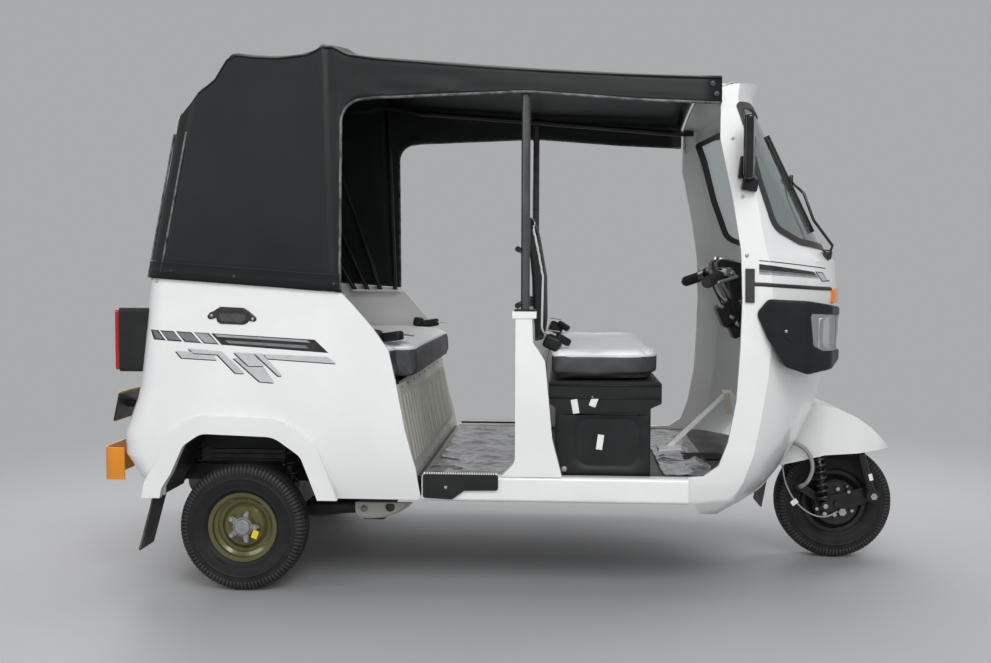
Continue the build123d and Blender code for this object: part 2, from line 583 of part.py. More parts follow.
driver_cushion = driver_cushion + block(
    (DRIVER_CUSHION_X[0] + 30, DRIVER_CUSHION_X[1] - 30),
    (-DRIVER_CUSHION_HALF_WIDTH + 30, DRIVER_CUSHION_HALF_WIDTH - 30),
    (DRIVER_BASE[0][1] + SEAM, DRIVER_CUSHION_Z[0]),
)
save("driver_cushion", driver_cushion)

# backrest behind it, held by two tubes that cross behind the poles: (x, z)
BACK_REAR = at(PILLAR_X, [(20, 772), (16, 1000), (-18, 1215)])
BACK_FRONT = at(PILLAR_X, [(8, 1215), (52, 1000), (56, 772)])
BACK_HALF_WIDTH = 215.0
driver_back = prism_y(BACK_REAR + BACK_FRONT, -BACK_HALF_WIDTH, BACK_HALF_WIDTH, [6, 60, 10, 10, 60, 6])
save("driver_backrest", driver_back)

POLE_Y = SILL_OUTER_Y - 51
POLE_RADIUS = 14.0
PARTITION_RADIUS = 9.0
PARTITION_X = PILLAR_X - POLE_RADIUS - PARTITION_RADIUS - SEAM
PARTITION_Z = (912.0, 1088.0)
PARTITION_HALF_LENGTH = POLE_Y + POLE_RADIUS
PAD_Y = 170.0
PAD_HALF = (22.0, 14.0)       # half its width and half its height


def back_rear_x(z):
    """The x of the backrest's rear face at a height."""
    low, middle, high = BACK_REAR
    return between(low, middle, z) if z < middle[1] else between(middle, high, z)


partition = []
for z in PARTITION_Z:
    cross = along_y(PARTITION_X, z, -PARTITION_HALF_LENGTH, PARTITION_HALF_LENGTH, PARTITION_RADIUS)
    pad_side = [
        (PARTITION_X, z - PAD_HALF[1]), (back_rear_x(z - PAD_HALF[1]) - 2 * SEAM, z - PAD_HALF[1]),
        (back_rear_x(z + PAD_HALF[1]) - 2 * SEAM, z + PAD_HALF[1]), (PARTITION_X, z + PAD_HALF[1]),
    ]
    pad = prism_y(pad_side, -PAD_Y - PAD_HALF[0], -PAD_Y + PAD_HALF[0])
    partition.append(cross + both(pad))
save("partition_rails", *partition)

# ------------------------------------------------------------------ hood
# roof edge line of the hood at its sides, pushed up at each bow: (x, z); its last point is at the cowl
HOOD_SHOULDER = 26.0
HOOD_WIDTH_LOW = TUB_HALF_WIDTH - 10
HOOD_WIDTH_HIGH = TUB_HALF_WIDTH - 52
FRONT_BOW_RADIUS = 7.5
ROOF_CROWN = 52.0             # rise of the roof from its side edge to the middle
HOOD_FRONT_Z = cowl_roof_z(0) - ROOF_CROWN + 2 * FRONT_BOW_RADIUS + 2 * SEAM + CLOTH
HOOD_EDGE = at(REAR_AXLE_X, [
    (-312, 1006), (-226, 1488), (-202, 1506), (-170, 1534), (-128, 1592), (-108, 1604), (-76, 1632),
    (-36, 1694), (-8, 1704), (112, 1696), (224, 1706), (262, 1727), (294, 1727), (330, 1706),
    (424, 1690),
]) + at(PILLAR_X, [(-82, 1658)]) + at(FRONT_AXLE_X, [(-863, 1638), (-492, HOOD_FRONT_Z)])
HOOD_LOW = 930.0
HOOD_HIGH = 1706.0
HOOD_REAR_CORNER = 92.0
# the cloth's lower edge over the tub and along the valance: (x, z)
HOOD_TUB_EDGE = at(REAR_AXLE_X, [(-436, 1006), (-312, 996), (321, 952)])
VALANCE_EDGE = at(REAR_AXLE_X, [(321, 1551)]) + at(PILLAR_X, [(3, 1572)]) + at(FRONT_AXLE_X, [(-740, 1545), (-421, 1529)])
REAR_WINDOW_HALF_WIDTH = 330.0
REAR_WINDOW_Z = (1130.0, 1400.0)


def hood_half_width(z):
    share = (z - HOOD_LOW) / (HOOD_HIGH - HOOD_LOW)
    return HOOD_WIDTH_LOW + (HOOD_WIDTH_HIGH - HOOD_WIDTH_LOW) * share


def roof_crown(z):
    """The rise of a roof arc whose sides are at a height: none low on the rear wall."""
    return 2 + ROOF_CROWN * min(1, (z - 1000) / 500)


def hood_wire(x, z_side, inset):
    z = z_side - inset
    side = hood_half_width(z_side) - inset
    low = HOOD_WIDTH_LOW - inset
    top = side - HOOD_SHOULDER
    drop = z - HOOD_SHOULDER * 0.7
    floor = HOOD_LOW - inset * 2
    edges = [
        Edge.make_line((x, low, floor), (x, side, drop)),
        Edge.make_line((x, side, drop), (x, top, z)),
        Edge.make_three_point_arc((x, top, z), (x, 0, z + roof_crown(z_side)), (x, -top, z)),
        Edge.make_line((x, -top, z), (x, -side, drop)),
        Edge.make_line((x, -side, drop), (x, -low, floor)),
        Edge.make_line((x, -low, floor), (x, low, floor)),
    ]
    return Wire(edges)


def hood_form(inset, forward=0.0):
    """The hood's solid form, lofted forward from the rear wall; inset takes in its wall."""
    last = len(HOOD_EDGE) - 1
    wires = []
    for i, (x, z) in enumerate(HOOD_EDGE):
        shift = inset if z < 1500 else inset * 0.7 if x < REAR_AXLE_X - 36 else 0.0
        wires.append(hood_wire(x + shift + (forward if i == last else 0), z, inset))
    return Solid.make_loft(wires, ruled=True)


def hood_corners(inset):
    """An upright form with two round rear corners that lean with the hood's rear wall."""
    wires = []
    for rear_x, z in at(REAR_AXLE_X, [(-335, 880), (-312, 1006), (-226, 1488), (-170, 1800)]):
        wires.append(plan_wire(z, rear_x, hood_half_width(z) + 2, inset, HOOD_REAR_CORNER, FRONT_AXLE_X - 421))
    return Solid.make_loft(wires, ruled=True)


side_opening = prism_y(VALANCE_EDGE + at(FRONT_AXLE_X, [(-421, 800)]) + at(REAR_AXLE_X, [(321, 800)]), -WIDE, WIDE)
below_hood = prism_y(HOOD_TUB_EDGE + at(REAR_AXLE_X, [(321, 800), (-436, 800)]), -WIDE, WIDE)
window_hole = block((TUB_END_X - 100, REAR_AXLE_X - 36), (-REAR_WINDOW_HALF_WIDTH, REAR_WINDOW_HALF_WIDTH), REAR_WINDOW_Z)
hood_shell = (hood_form(0) & hood_corners(0)) - (hood_form(CLOTH, forward=30) & hood_corners(CLOTH))
save("hood", hood_shell - side_opening - below_hood - window_hole)
pane_span = block(
    (TUB_END_X - 100, REAR_AXLE_X - 36), (-REAR_WINDOW_HALF_WIDTH + SEAM, REAR_WINDOW_HALF_WIDTH - SEAM),
    (REAR_WINDOW_Z[0] + SEAM, REAR_WINDOW_Z[1] - SEAM),
)
save("rear_window", hood_shell & pane_span)

# ------------------------------------------------------------------ hood frame
POLE_TOP = 1622.0
BOW_RADIUS = 9.0
BOW_Y = HOOD_WIDTH_HIGH - 28
LEG_Y = HOOD_WIDTH_HIGH - 20
RAIL_RADIUS = 11.0
LEG_FOOT_Z = LEG_SHELF_Z[1]
# one row a bow: x and z of its middle line at the sides, and the x where its legs stand, both x
# from the rear axle
BOWS = [(278, 1706, 308), (-2, 1680, 254), (-102, 1576, 204), (-188, 1490, 154)]
FRONT_BOW_X = FRONT_AXLE_X - 501
ROOF_RAIL_Y = HOOD_WIDTH_HIGH - 80
RAIL_FRONT_Z = cowl_roof_z(ROOF_RAIL_Y + RAIL_RADIUS) - PANEL - RAIL_RADIUS - SEAM
# roof rail from the rear bow to the cowl: (x, z)
ROOF_RAIL = at(REAR_AXLE_X, [(260, 1692.5), (304, 1690), (424, 1666)]) + at(PILLAR_X, [(-82, 1636)]) + at(FRONT_AXLE_X, [
    (-531, RAIL_FRONT_Z), (-453, RAIL_FRONT_Z),
])

bows = []
legs = []
for x, z, foot_x in at(REAR_AXLE_X, BOWS):
    path = ThreePointArc((x, -BOW_Y, z), (x, 0, z + roof_crown(z) - 4), (x, BOW_Y, z))
    bows.append(sweep(Plane(origin=path @ 0, z_dir=path % 0) * Circle(BOW_RADIUS), path=path))
    leg = rod((x, -LEG_Y, z), (REAR_AXLE_X + foot_x, -LEG_Y, LEG_FOOT_Z - 30), BOW_RADIUS)
    leg = leg - block((REAR_AXLE_X - 436, PILLAR_X - 32), (-WIDE, WIDE), (0, LEG_FOOT_Z + SEAM))
    legs += both(leg - along_y(x, z, -WIDE, WIDE, BOW_RADIUS + SEAM))
front_bow_y = HOOD_WIDTH_HIGH - HOOD_SHOULDER - 6
front_bow_z = HOOD_FRONT_Z - CLOTH - FRONT_BOW_RADIUS - 2 * SEAM
path = ThreePointArc(
    (FRONT_BOW_X, -front_bow_y, front_bow_z), (FRONT_BOW_X, 0, front_bow_z + ROOF_CROWN), (FRONT_BOW_X, front_bow_y, front_bow_z)
)
bows.append(sweep(Plane(origin=path @ 0, z_dir=path % 0) * Circle(FRONT_BOW_RADIUS), path=path))
save("hood_bows", *bows)
save("hood_legs", *legs)

rail = tube([(x, -ROOF_RAIL_Y, z) for x, z in ROOF_RAIL], RAIL_RADIUS, 60)
save("roof_rails", *both(rail))
pole = rod((PILLAR_X, -POLE_Y, PILLAR_TOP + PILLAR_CAP_HEIGHT + SEAM), (PILLAR_X, -POLE_Y, POLE_TOP), POLE_RADIUS)
save("hood_poles", *both(pole))

# ------------------------------------------------------------------ dashboard shelf
SHELF = at(FRONT_AXLE_X, [(-269, 872), (-269, 902), (19, 910), (19, 880)])
save("dashboard", prism_y(SHELF, -WIDE, WIDE, [8, 8, 0, 0]) & cowl_form(PANEL + SEAM))

# ------------------------------------------------------------------ headlamps
# the housing seen from the side (x, z) and from above (x, y), and the corner radii
POD_SIDE = at(FRONT_AXLE_X, [
    (-379, 893), (-343, 937), (-213, 930), (-75, 908), (-85, 742), (-133, 718), (-221, 705), (-293, 730), (-345, 815),
])
POD_RADII = [20, 20, 20, 14, 14, 20, 30, 40, 60]
POD_PLAN = at(FRONT_AXLE_X, [
    (-421, -540), (-383, -600), (-321, -622), (-221, -614), (-136, -548), (-89, -440), (-65, -330), (-59, -232),
    (-441, -232),
])
POD_PLAN_RADII = [0, 30, 40, 50, 60, 80, 60, 0, 0]
LENS_DEPTH = 14.0
LENS_SIDE = at(FRONT_AXLE_X, [(-216, 893), (-51, 882), (-51, 774), (-171, 777), (-204, 794)])
LENS_Y = (-650.0, -390.0)
pod_side = flat(POD_SIDE, POD_RADII)
pod_plan = flat(POD_PLAN, POD_PLAN_RADII)
pod = prism_y(pod_side, -WIDE, POD_PLAN[-1][1]) & prism_z(pod_plan, 650, 1000)
pod_core = prism_y(offset(pod_side, amount=-LENS_DEPTH), -WIDE, POD_PLAN[-1][1] + 30) & prism_z(
    offset(pod_plan, amount=-LENS_DEPTH), 600, 1100
)
lens_face = flat(LENS_SIDE, [10, 0, 0, 10, 10])
cowl_seat = cowl_form(-SEAM)
lens = (pod - pod_core - cowl_seat) & prism_y(offset(lens_face, amount=-SEAM), *LENS_Y)
lens_pocket = prism_y(lens_face, LENS_Y[0], LENS_Y[1] + SEAM) - pod_core
save("headlamp_housings", *both(pod - cowl_seat - lens_pocket))
save("headlamp_lenses", *both(lens))

# ------------------------------------------------------------------ tail lamps, plate and bumper
TAIL_Y = (-602.0, -468.0)
TAIL_Z = (695.0, 900.0)
TAIL_FACE_X = TUB_END_X - 12
TAIL_LENS = 14.0
tub_seat = tub_form(-SEAM, PAST)
tail_box = block((TAIL_FACE_X, REAR_AXLE_X - 286), TAIL_Y, TAIL_Z)
tail_box = fillet(tail_box.edges().filter_by(Axis.X), 14)
save("tail_lamp_housings", *both(tail_box - tub_seat))
tail_lens = block(
    (TAIL_FACE_X - TAIL_LENS, TAIL_FACE_X - SEAM), (TAIL_Y[0] + 6, TAIL_Y[1] - 6), (TAIL_Z[0] + 6, TAIL_Z[1] - 6)
)
tail_lens = fillet(tail_lens.edges().filter_by(Axis.X), 10)
save("tail_lamp_lenses", *both(tail_lens))

PLATE_LENGTH = 200.0
PLATE_HEIGHT = 100.0
PLATE_THICK = 2.0
PLATE_TILT = 12.0
PLATE_CENTRE = (TUB_END_X - 46, -445.0, 576.0)
PLATE_BACKING = 6.0
plate_frame = Pos(*PLATE_CENTRE) * Rot(0, PLATE_TILT, 0)
plate = plate_frame * Box(PLATE_THICK, PLATE_LENGTH, PLATE_HEIGHT)
plate_back = plate_frame * Pos((PLATE_THICK + PLATE_BACKING) / 2 + SEAM, 0, 0) * Box(
    PLATE_BACKING, PLATE_LENGTH + 16, PLATE_HEIGHT - 10
)
plate_arm = block((PLATE_CENTRE[0], REAR_AXLE_X - 286), (PLATE_CENTRE[1] - 20, PLATE_CENTRE[1] + 20), (566, 590))
plate_front = plate_frame * Pos(-50 + PLATE_THICK / 2 + SEAM, 0, 0) * Box(100, 300, 300)
save("number_plate", plate)
save("plate_bracket", (plate_arm + plate_back) - tub_seat - plate_front)

BUMPER_HALF_WIDTH = TUB_HALF_WIDTH - 52
BUMPER_Z = (347.0, 451.0)
BUMPER_WALL = 5.0
BUMPER_BEND = 40.0
BUMPER_RETURN = BUMPER_STANDOFF
PLATE_HOLE_SPACING = 160.0
PLATE_HOLE_RADIUS = 3.5
PLATE_HOLE_Z = 400.0
bumper_line = [
    (REAR_END_X + BUMPER_RETURN, -BUMPER_HALF_WIDTH), (REAR_END_X, -BUMPER_HALF_WIDTH),
    (REAR_END_X, BUMPER_HALF_WIDTH), (REAR_END_X + BUMPER_RETURN, BUMPER_HALF_WIDTH),
    (REAR_END_X + BUMPER_RETURN, BUMPER_HALF_WIDTH - BUMPER_WALL),
    (REAR_END_X + BUMPER_WALL, BUMPER_HALF_WIDTH - BUMPER_WALL),
    (REAR_END_X + BUMPER_WALL, -BUMPER_HALF_WIDTH + BUMPER_WALL),
    (REAR_END_X + BUMPER_RETURN, -BUMPER_HALF_WIDTH + BUMPER_WALL),
]
bend_in = BUMPER_BEND - BUMPER_WALL
bumper = prism_z(bumper_line, *BUMPER_Z, [0, BUMPER_BEND, BUMPER_BEND, 0, 0, bend_in, bend_in, 0])
for y in (-PLATE_HOLE_SPACING / 2, PLATE_HOLE_SPACING / 2):
    bumper = bumper - rod((REAR_END_X - 10, y, PLATE_HOLE_Z), (REAR_END_X + 20, y, PLATE_HOLE_Z), PLATE_HOLE_RADIUS)
save("rear_bumper", bumper)
stay = block((REAR_END_X + BUMPER_WALL + SEAM, CHASSIS_X[0] + 30),
             (-STAY_Y - STAY_HALF_WIDTH, -STAY_Y + STAY_HALF_WIDTH), (RAIL_TOP + SEAM, STAY_TOP))
save("bumper_stays", *both(stay))

# mudflaps hang from the sloping foot of the tub's rear wall
FLAP_X = (REAR_AXLE_X - 283, REAR_AXLE_X - 289)
FLAP_LEAN = 47.0
FLAP_LOW_Z = 124.0
foot_front, foot_rear = TUB_SIDE[9], TUB_SIDE[10]
foot_fall = (foot_front[1] - foot_rear[1]) / (foot_front[0] - foot_rear[0])
flap_top = [(x, foot_front[1] - (foot_front[0] - x) * foot_fall - SEAM) for x in FLAP_X]
flap_foot = [(x - FLAP_LEAN, FLAP_LOW_Z) for x in reversed(FLAP_X)]
save("rear_mudflaps", *both(prism_y(flap_top + flap_foot, -REAR_WHEEL_Y - 45, -REAR_WHEEL_Y + 75)))

# ------------------------------------------------------------------ engine, exhaust and rear suspension
ENGINE_X = (REAR_AXLE_X - 256, REAR_AXLE_X + 94)
ENGINE_HALF_WIDTH = 225.0
ENGINE_Z = (262.0, 570.0)
GEARBOX_X = (REAR_AXLE_X - 66, REAR_AXLE_X + 66)
GEARBOX_HALF_WIDTH = 150.0
GEARBOX_LOW = AXLE_Z - 38
ENGINE_FOOT_X = (REAR_AXLE_X - 176, REAR_AXLE_X + 4)
ENGINE_FOOT_Z = (310.0, 340.0)
foot_reach = RAIL_Y - RAIL_WIDTH / 2 - SEAM
engine = block(ENGINE_X, (-ENGINE_HALF_WIDTH, ENGINE_HALF_WIDTH), ENGINE_Z)
engine = engine + block(GEARBOX_X, (-GEARBOX_HALF_WIDTH, GEARBOX_HALF_WIDTH), (GEARBOX_LOW, ENGINE_Z[0] + 10))
engine_feet = [block((x - 20, x + 20), (-foot_reach, foot_reach), ENGINE_FOOT_Z) for x in ENGINE_FOOT_X]
save("engine", engine + engine_feet)

MUFFLER_RADIUS = 46.0
MUFFLER_X = REAR_AXLE_X - 312
MUFFLER_Z = 244.0
MUFFLER_Y = (-70.0, 320.0)
TAIL_PIPE_RADIUS = 15.0
TAIL_PIPE_REACH = 70.0
HANGER_X = (REAR_AXLE_X - 284, REAR_AXLE_X - 272)
muffler = along_y(MUFFLER_X, MUFFLER_Z, *MUFFLER_Y, MUFFLER_RADIUS)
muffler = muffler + along_y(MUFFLER_X, MUFFLER_Z, MUFFLER_Y[1] - 5, MUFFLER_Y[1] + TAIL_PIPE_REACH, TAIL_PIPE_RADIUS)
muffler = muffler + block(HANGER_X, (RAIL_Y - 12, RAIL_Y + 12), (MUFFLER_Z, RAIL_TOP - RAIL_HEIGHT - SEAM))
save("muffler", muffler)

ARM_Y = 398.0
ARM_RADIUS = 23.0
ARM_PIVOT = (REAR_AXLE_X + 394, 238.0)          # x, z
ARM_BUSH_RADIUS = 32.0
ARM_BUSH_HALF = 62.0
CARRIER_RADIUS = 36.0
CARRIER_Y = (-REAR_WHEEL_Y + 63, -ARM_Y + 26)
SPRING_X = REAR_AXLE_X + 104
SPRING_RADIUS = 30.0
SPRING_LOW_Z = 258.0
SPRING_TOP_Z = 540.0
arm = rod((ARM_PIVOT[0], -ARM_Y, ARM_PIVOT[1]), (REAR_AXLE_X, -ARM_Y, AXLE_Z + 6), ARM_RADIUS)
arm = arm + along_y(*ARM_PIVOT, -ARM_Y - ARM_BUSH_HALF, -ARM_Y + ARM_BUSH_HALF, ARM_BUSH_RADIUS)
arm = arm + along_y(REAR_AXLE_X, AXLE_Z, *CARRIER_Y, CARRIER_RADIUS)
arm = arm + rod((SPRING_X, -ARM_Y, SPRING_LOW_Z - 53), (SPRING_X, -ARM_Y, SPRING_LOW_Z), SPRING_RADIUS + 4)
arm = arm - along_y(REAR_AXLE_X, AXLE_Z, -REAR_WHEEL_Y, -RAIL_Y, AXLE_RADIUS + SEAM)
save("suspension_arms", *both(arm))

shaft_end = -GEARBOX_HALF_WIDTH - SEAM
half_shaft = along_y(REAR_AXLE_X, AXLE_Z, -REAR_WHEEL_Y - 42, shaft_end, AXLE_RADIUS)
half_shaft = half_shaft + along_y(REAR_AXLE_X, AXLE_Z, shaft_end - 74, shaft_end, 34)
half_shaft = half_shaft + along_y(REAR_AXLE_X, AXLE_Z, CARRIER_Y[1] + 4, CARRIER_Y[1] + 56, 30)
save("half_shafts", *both(half_shaft))

save("rear_springs", *both(rod((SPRING_X, -ARM_Y, SPRING_LOW_Z + SEAM), (SPRING_X, -ARM_Y, SPRING_TOP_Z), SPRING_RADIUS)))

TOWER_X = (SPRING_X - 34, SPRING_X + 34)
TOWER_THICK = 24.0
PIVOT_CHEEK_Y = (-ARM_Y - ARM_BUSH_HALF - 4, -ARM_Y + ARM_BUSH_HALF + 4)
CHEEK_HALF = 4.0
PIVOT_X = (ARM_PIVOT[0] - 56, ARM_PIVOT[0] + 137)
PIVOT_OUTLINE = [
    (PIVOT_X[0], RAIL_TOP), (PIVOT_X[0] + 20, ARM_PIVOT[1] - 34),
    (ARM_PIVOT[0] + 40, ARM_PIVOT[1] - 34), (PIVOT_X[1], RAIL_TOP),
]
tower = block(TOWER_X, (-ARM_Y - 30, -RAIL_Y), (SPRING_TOP_Z + SEAM, SPRING_TOP_Z + TOWER_THICK))
tower = tower + block(TOWER_X, (-RAIL_Y - RAIL_WIDTH / 2 - 10, -RAIL_Y + RAIL_WIDTH / 2),
                      (RAIL_TOP - 10, SPRING_TOP_Z + TOWER_THICK))
outrigger = block(PIVOT_X, (PIVOT_CHEEK_Y[0] - 10, -RAIL_Y), (RAIL_TOP - 20, RAIL_TOP))
cheek_out = prism_y(PIVOT_OUTLINE, PIVOT_CHEEK_Y[0] - CHEEK_HALF, PIVOT_CHEEK_Y[0] + CHEEK_HALF - SEAM, [0, 14, 14, 0])
cheek_in = prism_y(PIVOT_OUTLINE, PIVOT_CHEEK_Y[1] - CHEEK_HALF + SEAM, PIVOT_CHEEK_Y[1] + CHEEK_HALF, [0, 14, 14, 0])
chassis = rails[0] + rails[1] + crosses
for piece in (tower, outrigger, cheek_out, cheek_in):
    chassis = chassis + both(piece)
save("chassis", chassis)

# ------------------------------------------------------------------ mirrors and pedal
MIRROR_CENTRE = (FRONT_AXLE_X - 424, -COWL_HALF_WIDTH - 70, 1374.0)
MIRROR_SIZE = (30.0, 122.0, 222.0)
MIRROR_TURN = -24.0
STALK_Z = 1352.0
stalk_root = (MIRROR_CENTRE[0] + 6, -COWL_HALF_WIDTH + 52, STALK_Z)
mirror_head = Pos(*MIRROR_CENTRE) * Rot(0, 0, MIRROR_TURN) * fillet(Box(*MIRROR_SIZE).edges().filter_by(Axis.X), 26)
mirror_stalk = rod(stalk_root, (MIRROR_CENTRE[0], -COWL_HALF_WIDTH - 38, STALK_Z), 7)
mirror_stalk = mirror_stalk + rod(stalk_root, (MIRROR_CENTRE[0] + 2, -COWL_HALF_WIDTH + 2, STALK_Z), 20)
save("mirrors", *both(mirror_head + (mirror_stalk - cowl_seat)))

# the brake lever hangs from a bracket on the wheel well and carries a foot plate: (x, z)
PEDAL_Y = -150.0
PEDAL_PIVOT = (FRONT_AXLE_X - 400, 592.0)
LEVER_HALF_THICK = 6.0
BOSS_REACH = (12.0, 24.0)
FOOT_HALF_WIDTH = 38.0
LEVER_SIDE = [
    (PEDAL_PIVOT[0] + 9, PEDAL_PIVOT[1] + 9), (PEDAL_PIVOT[0] - 9, PEDAL_PIVOT[1] + 9),
    (PEDAL_PIVOT[0] - 212, 409), (PEDAL_PIVOT[0] - 190, 405),
]
FOOT_SIDE = [
    (PEDAL_PIVOT[0] - 237, 396), (PEDAL_PIVOT[0] - 159, 403), (PEDAL_PIVOT[0] - 159, 411), (PEDAL_PIVOT[0] - 237, 404),
]
WELL_BRACKET = [
    (PEDAL_PIVOT[0] - 16, PEDAL_PIVOT[1] + 16), (PEDAL_PIVOT[0] + 16, PEDAL_PIVOT[1] + 16),
    (WELL_REAR_X - SEAM, 452), (WELL_REAR_X - SEAM, 400),
]
pedal = prism_y(LEVER_SIDE, PEDAL_Y - LEVER_HALF_THICK, PEDAL_Y + LEVER_HALF_THICK)
pedal = pedal + prism_y(FOOT_SIDE, PEDAL_Y - FOOT_HALF_WIDTH, PEDAL_Y + FOOT_HALF_WIDTH)
pedal = pedal + along_y(*PEDAL_PIVOT, PEDAL_Y - BOSS_REACH[0], PEDAL_Y + BOSS_REACH[1], 8)
save("brake_pedal", pedal + prism_y(WELL_BRACKET, PEDAL_Y + 12, PEDAL_Y + 20))

# ------------------------------------------------------------------ steering column and fork
CROWN_Z = 500.0
CROWN_RADIUS = 27.0
COLUMN_TOP_Z = 1000.0
FORK_Y = -110.0
FORK_RADIUS = 15.0
LINK_PIVOT = (FRONT_AXLE_X + 114, 240.0)      # x, z
LINK_SEAT = (FRONT_AXLE_X - 52, 204.0)       # x, z of the damper's lower eye
LINK_Y = (-TYRE_WIDTH / 2 - 32, -TYRE_WIDTH / 2 - 20)
DAMPER_Y = -112.0
DAMPER_RADIUS = 24.0
DAMPER_TOP_Z = 405.0
FORK_SHOULDER = (FRONT_AXLE_X - 80, 440.0)   # x, z where the fork turns forward over the damper
EYE_RADIUS = 13.0
BOSS_RADIUS = 22.0

crown = on_steer(CROWN_Z)
fork = tube(
    [(crown.X, 0, CROWN_Z), (FORK_SHOULDER[0], DAMPER_Y, FORK_SHOULDER[1]), (FRONT_AXLE_X + 67, FORK_Y, 404),
     (LINK_PIVOT[0], FORK_Y, LINK_PIVOT[1])],
    FORK_RADIUS, 24,
)
column = rod(crown, on_steer(COLUMN_TOP_Z), COLUMN_RADIUS)
crown_block = rod(on_steer(CROWN_Z - 18), on_steer(HEAD_LOW_Z - 14), CROWN_RADIUS)
pivot_boss = along_y(*LINK_PIVOT, FORK_Y - 16, LINK_Y[0] - SEAM, BOSS_RADIUS)
damper_axis = Vector(FORK_SHOULDER[0] - LINK_SEAT[0], 0, FORK_SHOULDER[1] - LINK_SEAT[1]).normalized()


def on_damper(z):
    """The point of the damper's middle line at a height."""
    return Vector(LINK_SEAT[0], DAMPER_Y, LINK_SEAT[1]) + damper_axis * ((z - LINK_SEAT[1]) / damper_axis.Z)


damper_mount = rod(on_damper(DAMPER_TOP_Z + SEAM), on_damper(FORK_SHOULDER[1]), 17)
save("steering_column", column + crown_block + fork + pivot_boss + damper_mount)

# trailing link beside the tyre, with its stub axle, brake backplate and the brake hose's lug: (x, z)
link_outline = [
    (LINK_PIVOT[0] + 24, LINK_PIVOT[1] + 2), (LINK_PIVOT[0] - 4, LINK_PIVOT[1] + 26), (FRONT_AXLE_X, AXLE_Z + 34),
    (LINK_SEAT[0] - 24, LINK_SEAT[1] + 16), (LINK_SEAT[0] - 24, LINK_SEAT[1] - 22), (FRONT_AXLE_X, AXLE_Z - 36),
    (LINK_PIVOT[0] + 6, LINK_PIVOT[1] - 24),
]
HOSE_LUG = at(FRONT_AXLE_X, [(-65, 206), (-65, 236), (-125, 278), (-145, 272), (-143, 254)])
BACKPLATE_RADIUS = 76.0
BACKPLATE_THICK = 10.0
link = prism_y(link_outline, *LINK_Y, [14, 20, 30, 12, 12, 30, 16])
link = link + prism_y(HOSE_LUG, LINK_Y[0], LINK_Y[0] + 6)
link = link + along_y(FRONT_AXLE_X, AXLE_Z, LINK_Y[0] - 12, 44, AXLE_RADIUS)
link = link + along_y(FRONT_AXLE_X, AXLE_Z, LINK_Y[1], LINK_Y[1] + BACKPLATE_THICK, BACKPLATE_RADIUS)
link = link + along_y(*LINK_SEAT, DAMPER_Y - 20, LINK_Y[0], EYE_RADIUS)
save("trailing_link", link)
damper = rod(on_damper(LINK_SEAT[1] + 4), on_damper(DAMPER_TOP_Z), DAMPER_RADIUS)
save("front_damper", damper - along_y(*LINK_SEAT, DAMPER_Y - 60, DAMPER_Y + 60, EYE_RADIUS + SEAM))

# ------------------------------------------------------------------ front mudguard
GUARD_WALL = 4.0
# its side outline (x, z), and its plan (x, y) on the right
GUARD_SIDE = at(FRONT_AXLE_X, [
    (-241, 200), (-241, 345), (-223, 430), (-169, 508), (-91, 563), (-21, 549), (49, 518), (105, 478), (159, 427),
    (180, 400), (180, 200),
])
GUARD_SIDE_RADII = [0, 60, 90, 80, 60, 160, 160, 120, 60, 8, 0]
GUARD_PLAN = at(FRONT_AXLE_X, [(-249, -88), (-161, -120), (-61, -146), (59, -146), (147, -112), (191, -44)])
GUARD_PLAN = GUARD_PLAN + [(x, -y) for x, y in reversed(GUARD_PLAN)]
GUARD_PLAN_RADII = [10, 100, 120, 120, 90, 30, 30, 90, 120, 120, 100, 10]
GUARD_EDGE = at(FRONT_AXLE_X, [
    (-261, 326), (-225, 335), (-104, 370), (-59, 384), (52, 392), (137, 402), (279, 400), (279, 100), (-261, 100),
])
guard_side = flat(GUARD_SIDE, GUARD_SIDE_RADII)
guard_plan = flat(GUARD_PLAN, GUARD_PLAN_RADII)


def guard_form(grow):
    """The mudguard's solid form, grown by an amount, from below the wheel's middle to its top."""
    side = offset(guard_side, amount=grow) if grow else guard_side
    plan = offset(guard_plan, amount=grow) if grow else guard_plan
    return prism_y(side, -200, 200) & prism_z(plan, 140, 700)


guard = guard_form(0) - guard_form(-GUARD_WALL) - prism_y(GUARD_EDGE, -200, 200)
guard = guard - rod(on_steer(CROWN_Z - 40), on_steer(HEAD_HIGH_Z), CROWN_RADIUS + SEAM)
save("front_mudguard", guard)
GUARD_FLAP = at(FRONT_AXLE_X, [(-236.7, 352), (-232, 352), (-261, 186), (-267, 186)])
FLAP_HALF_WIDTH = 76.0
front_flap = prism_y(GUARD_FLAP, -FLAP_HALF_WIDTH, FLAP_HALF_WIDTH)
save("front_mudflap", front_flap & (guard_form(-GUARD_WALL - SEAM) + block((FRONT_AXLE_X - 281, FRONT_AXLE_X - 221), (-100, 100), (150, 318))))

# ------------------------------------------------------------------ brake hose and speedometer cable
HOSE_RADIUS = 5.5
HOSE_BEND = 12.0
# (x, y, z) of the hose from the mudguard's side to its lug on the trailing link
HOSE = at(FRONT_AXLE_X, [
    (-190, -98, 429), (-183, -148, 429), (-160, -154, 427), (-118, -156, 401), (-98, -156, 345), (-112, -146, 294),
    (-133, -120, 266), (-133, LINK_Y[0] - SEAM, 266),
])
save("brake_hose", tube(HOSE, HOSE_RADIUS, HOSE_BEND) - guard_form(SEAM))
CABLE_RADIUS = 3.0
CABLE_BEND = 30.0
# (x, y, z) of the cable from inside the mudguard to the hub
CABLE = at(FRONT_AXLE_X, [
    (-199, -98, 372), (-195, -103, 332), (-188, -110, 280), (-153, -112, 212), (-96, -110, 166), (-41, -104, 156),
    (0, LINK_Y[0] - SEAM - CABLE_RADIUS, 176),
])
save("speedometer_cable", tube(CABLE, CABLE_RADIUS, CABLE_BEND) - (guard_form(SEAM) - guard_form(-GUARD_WALL - SEAM)))

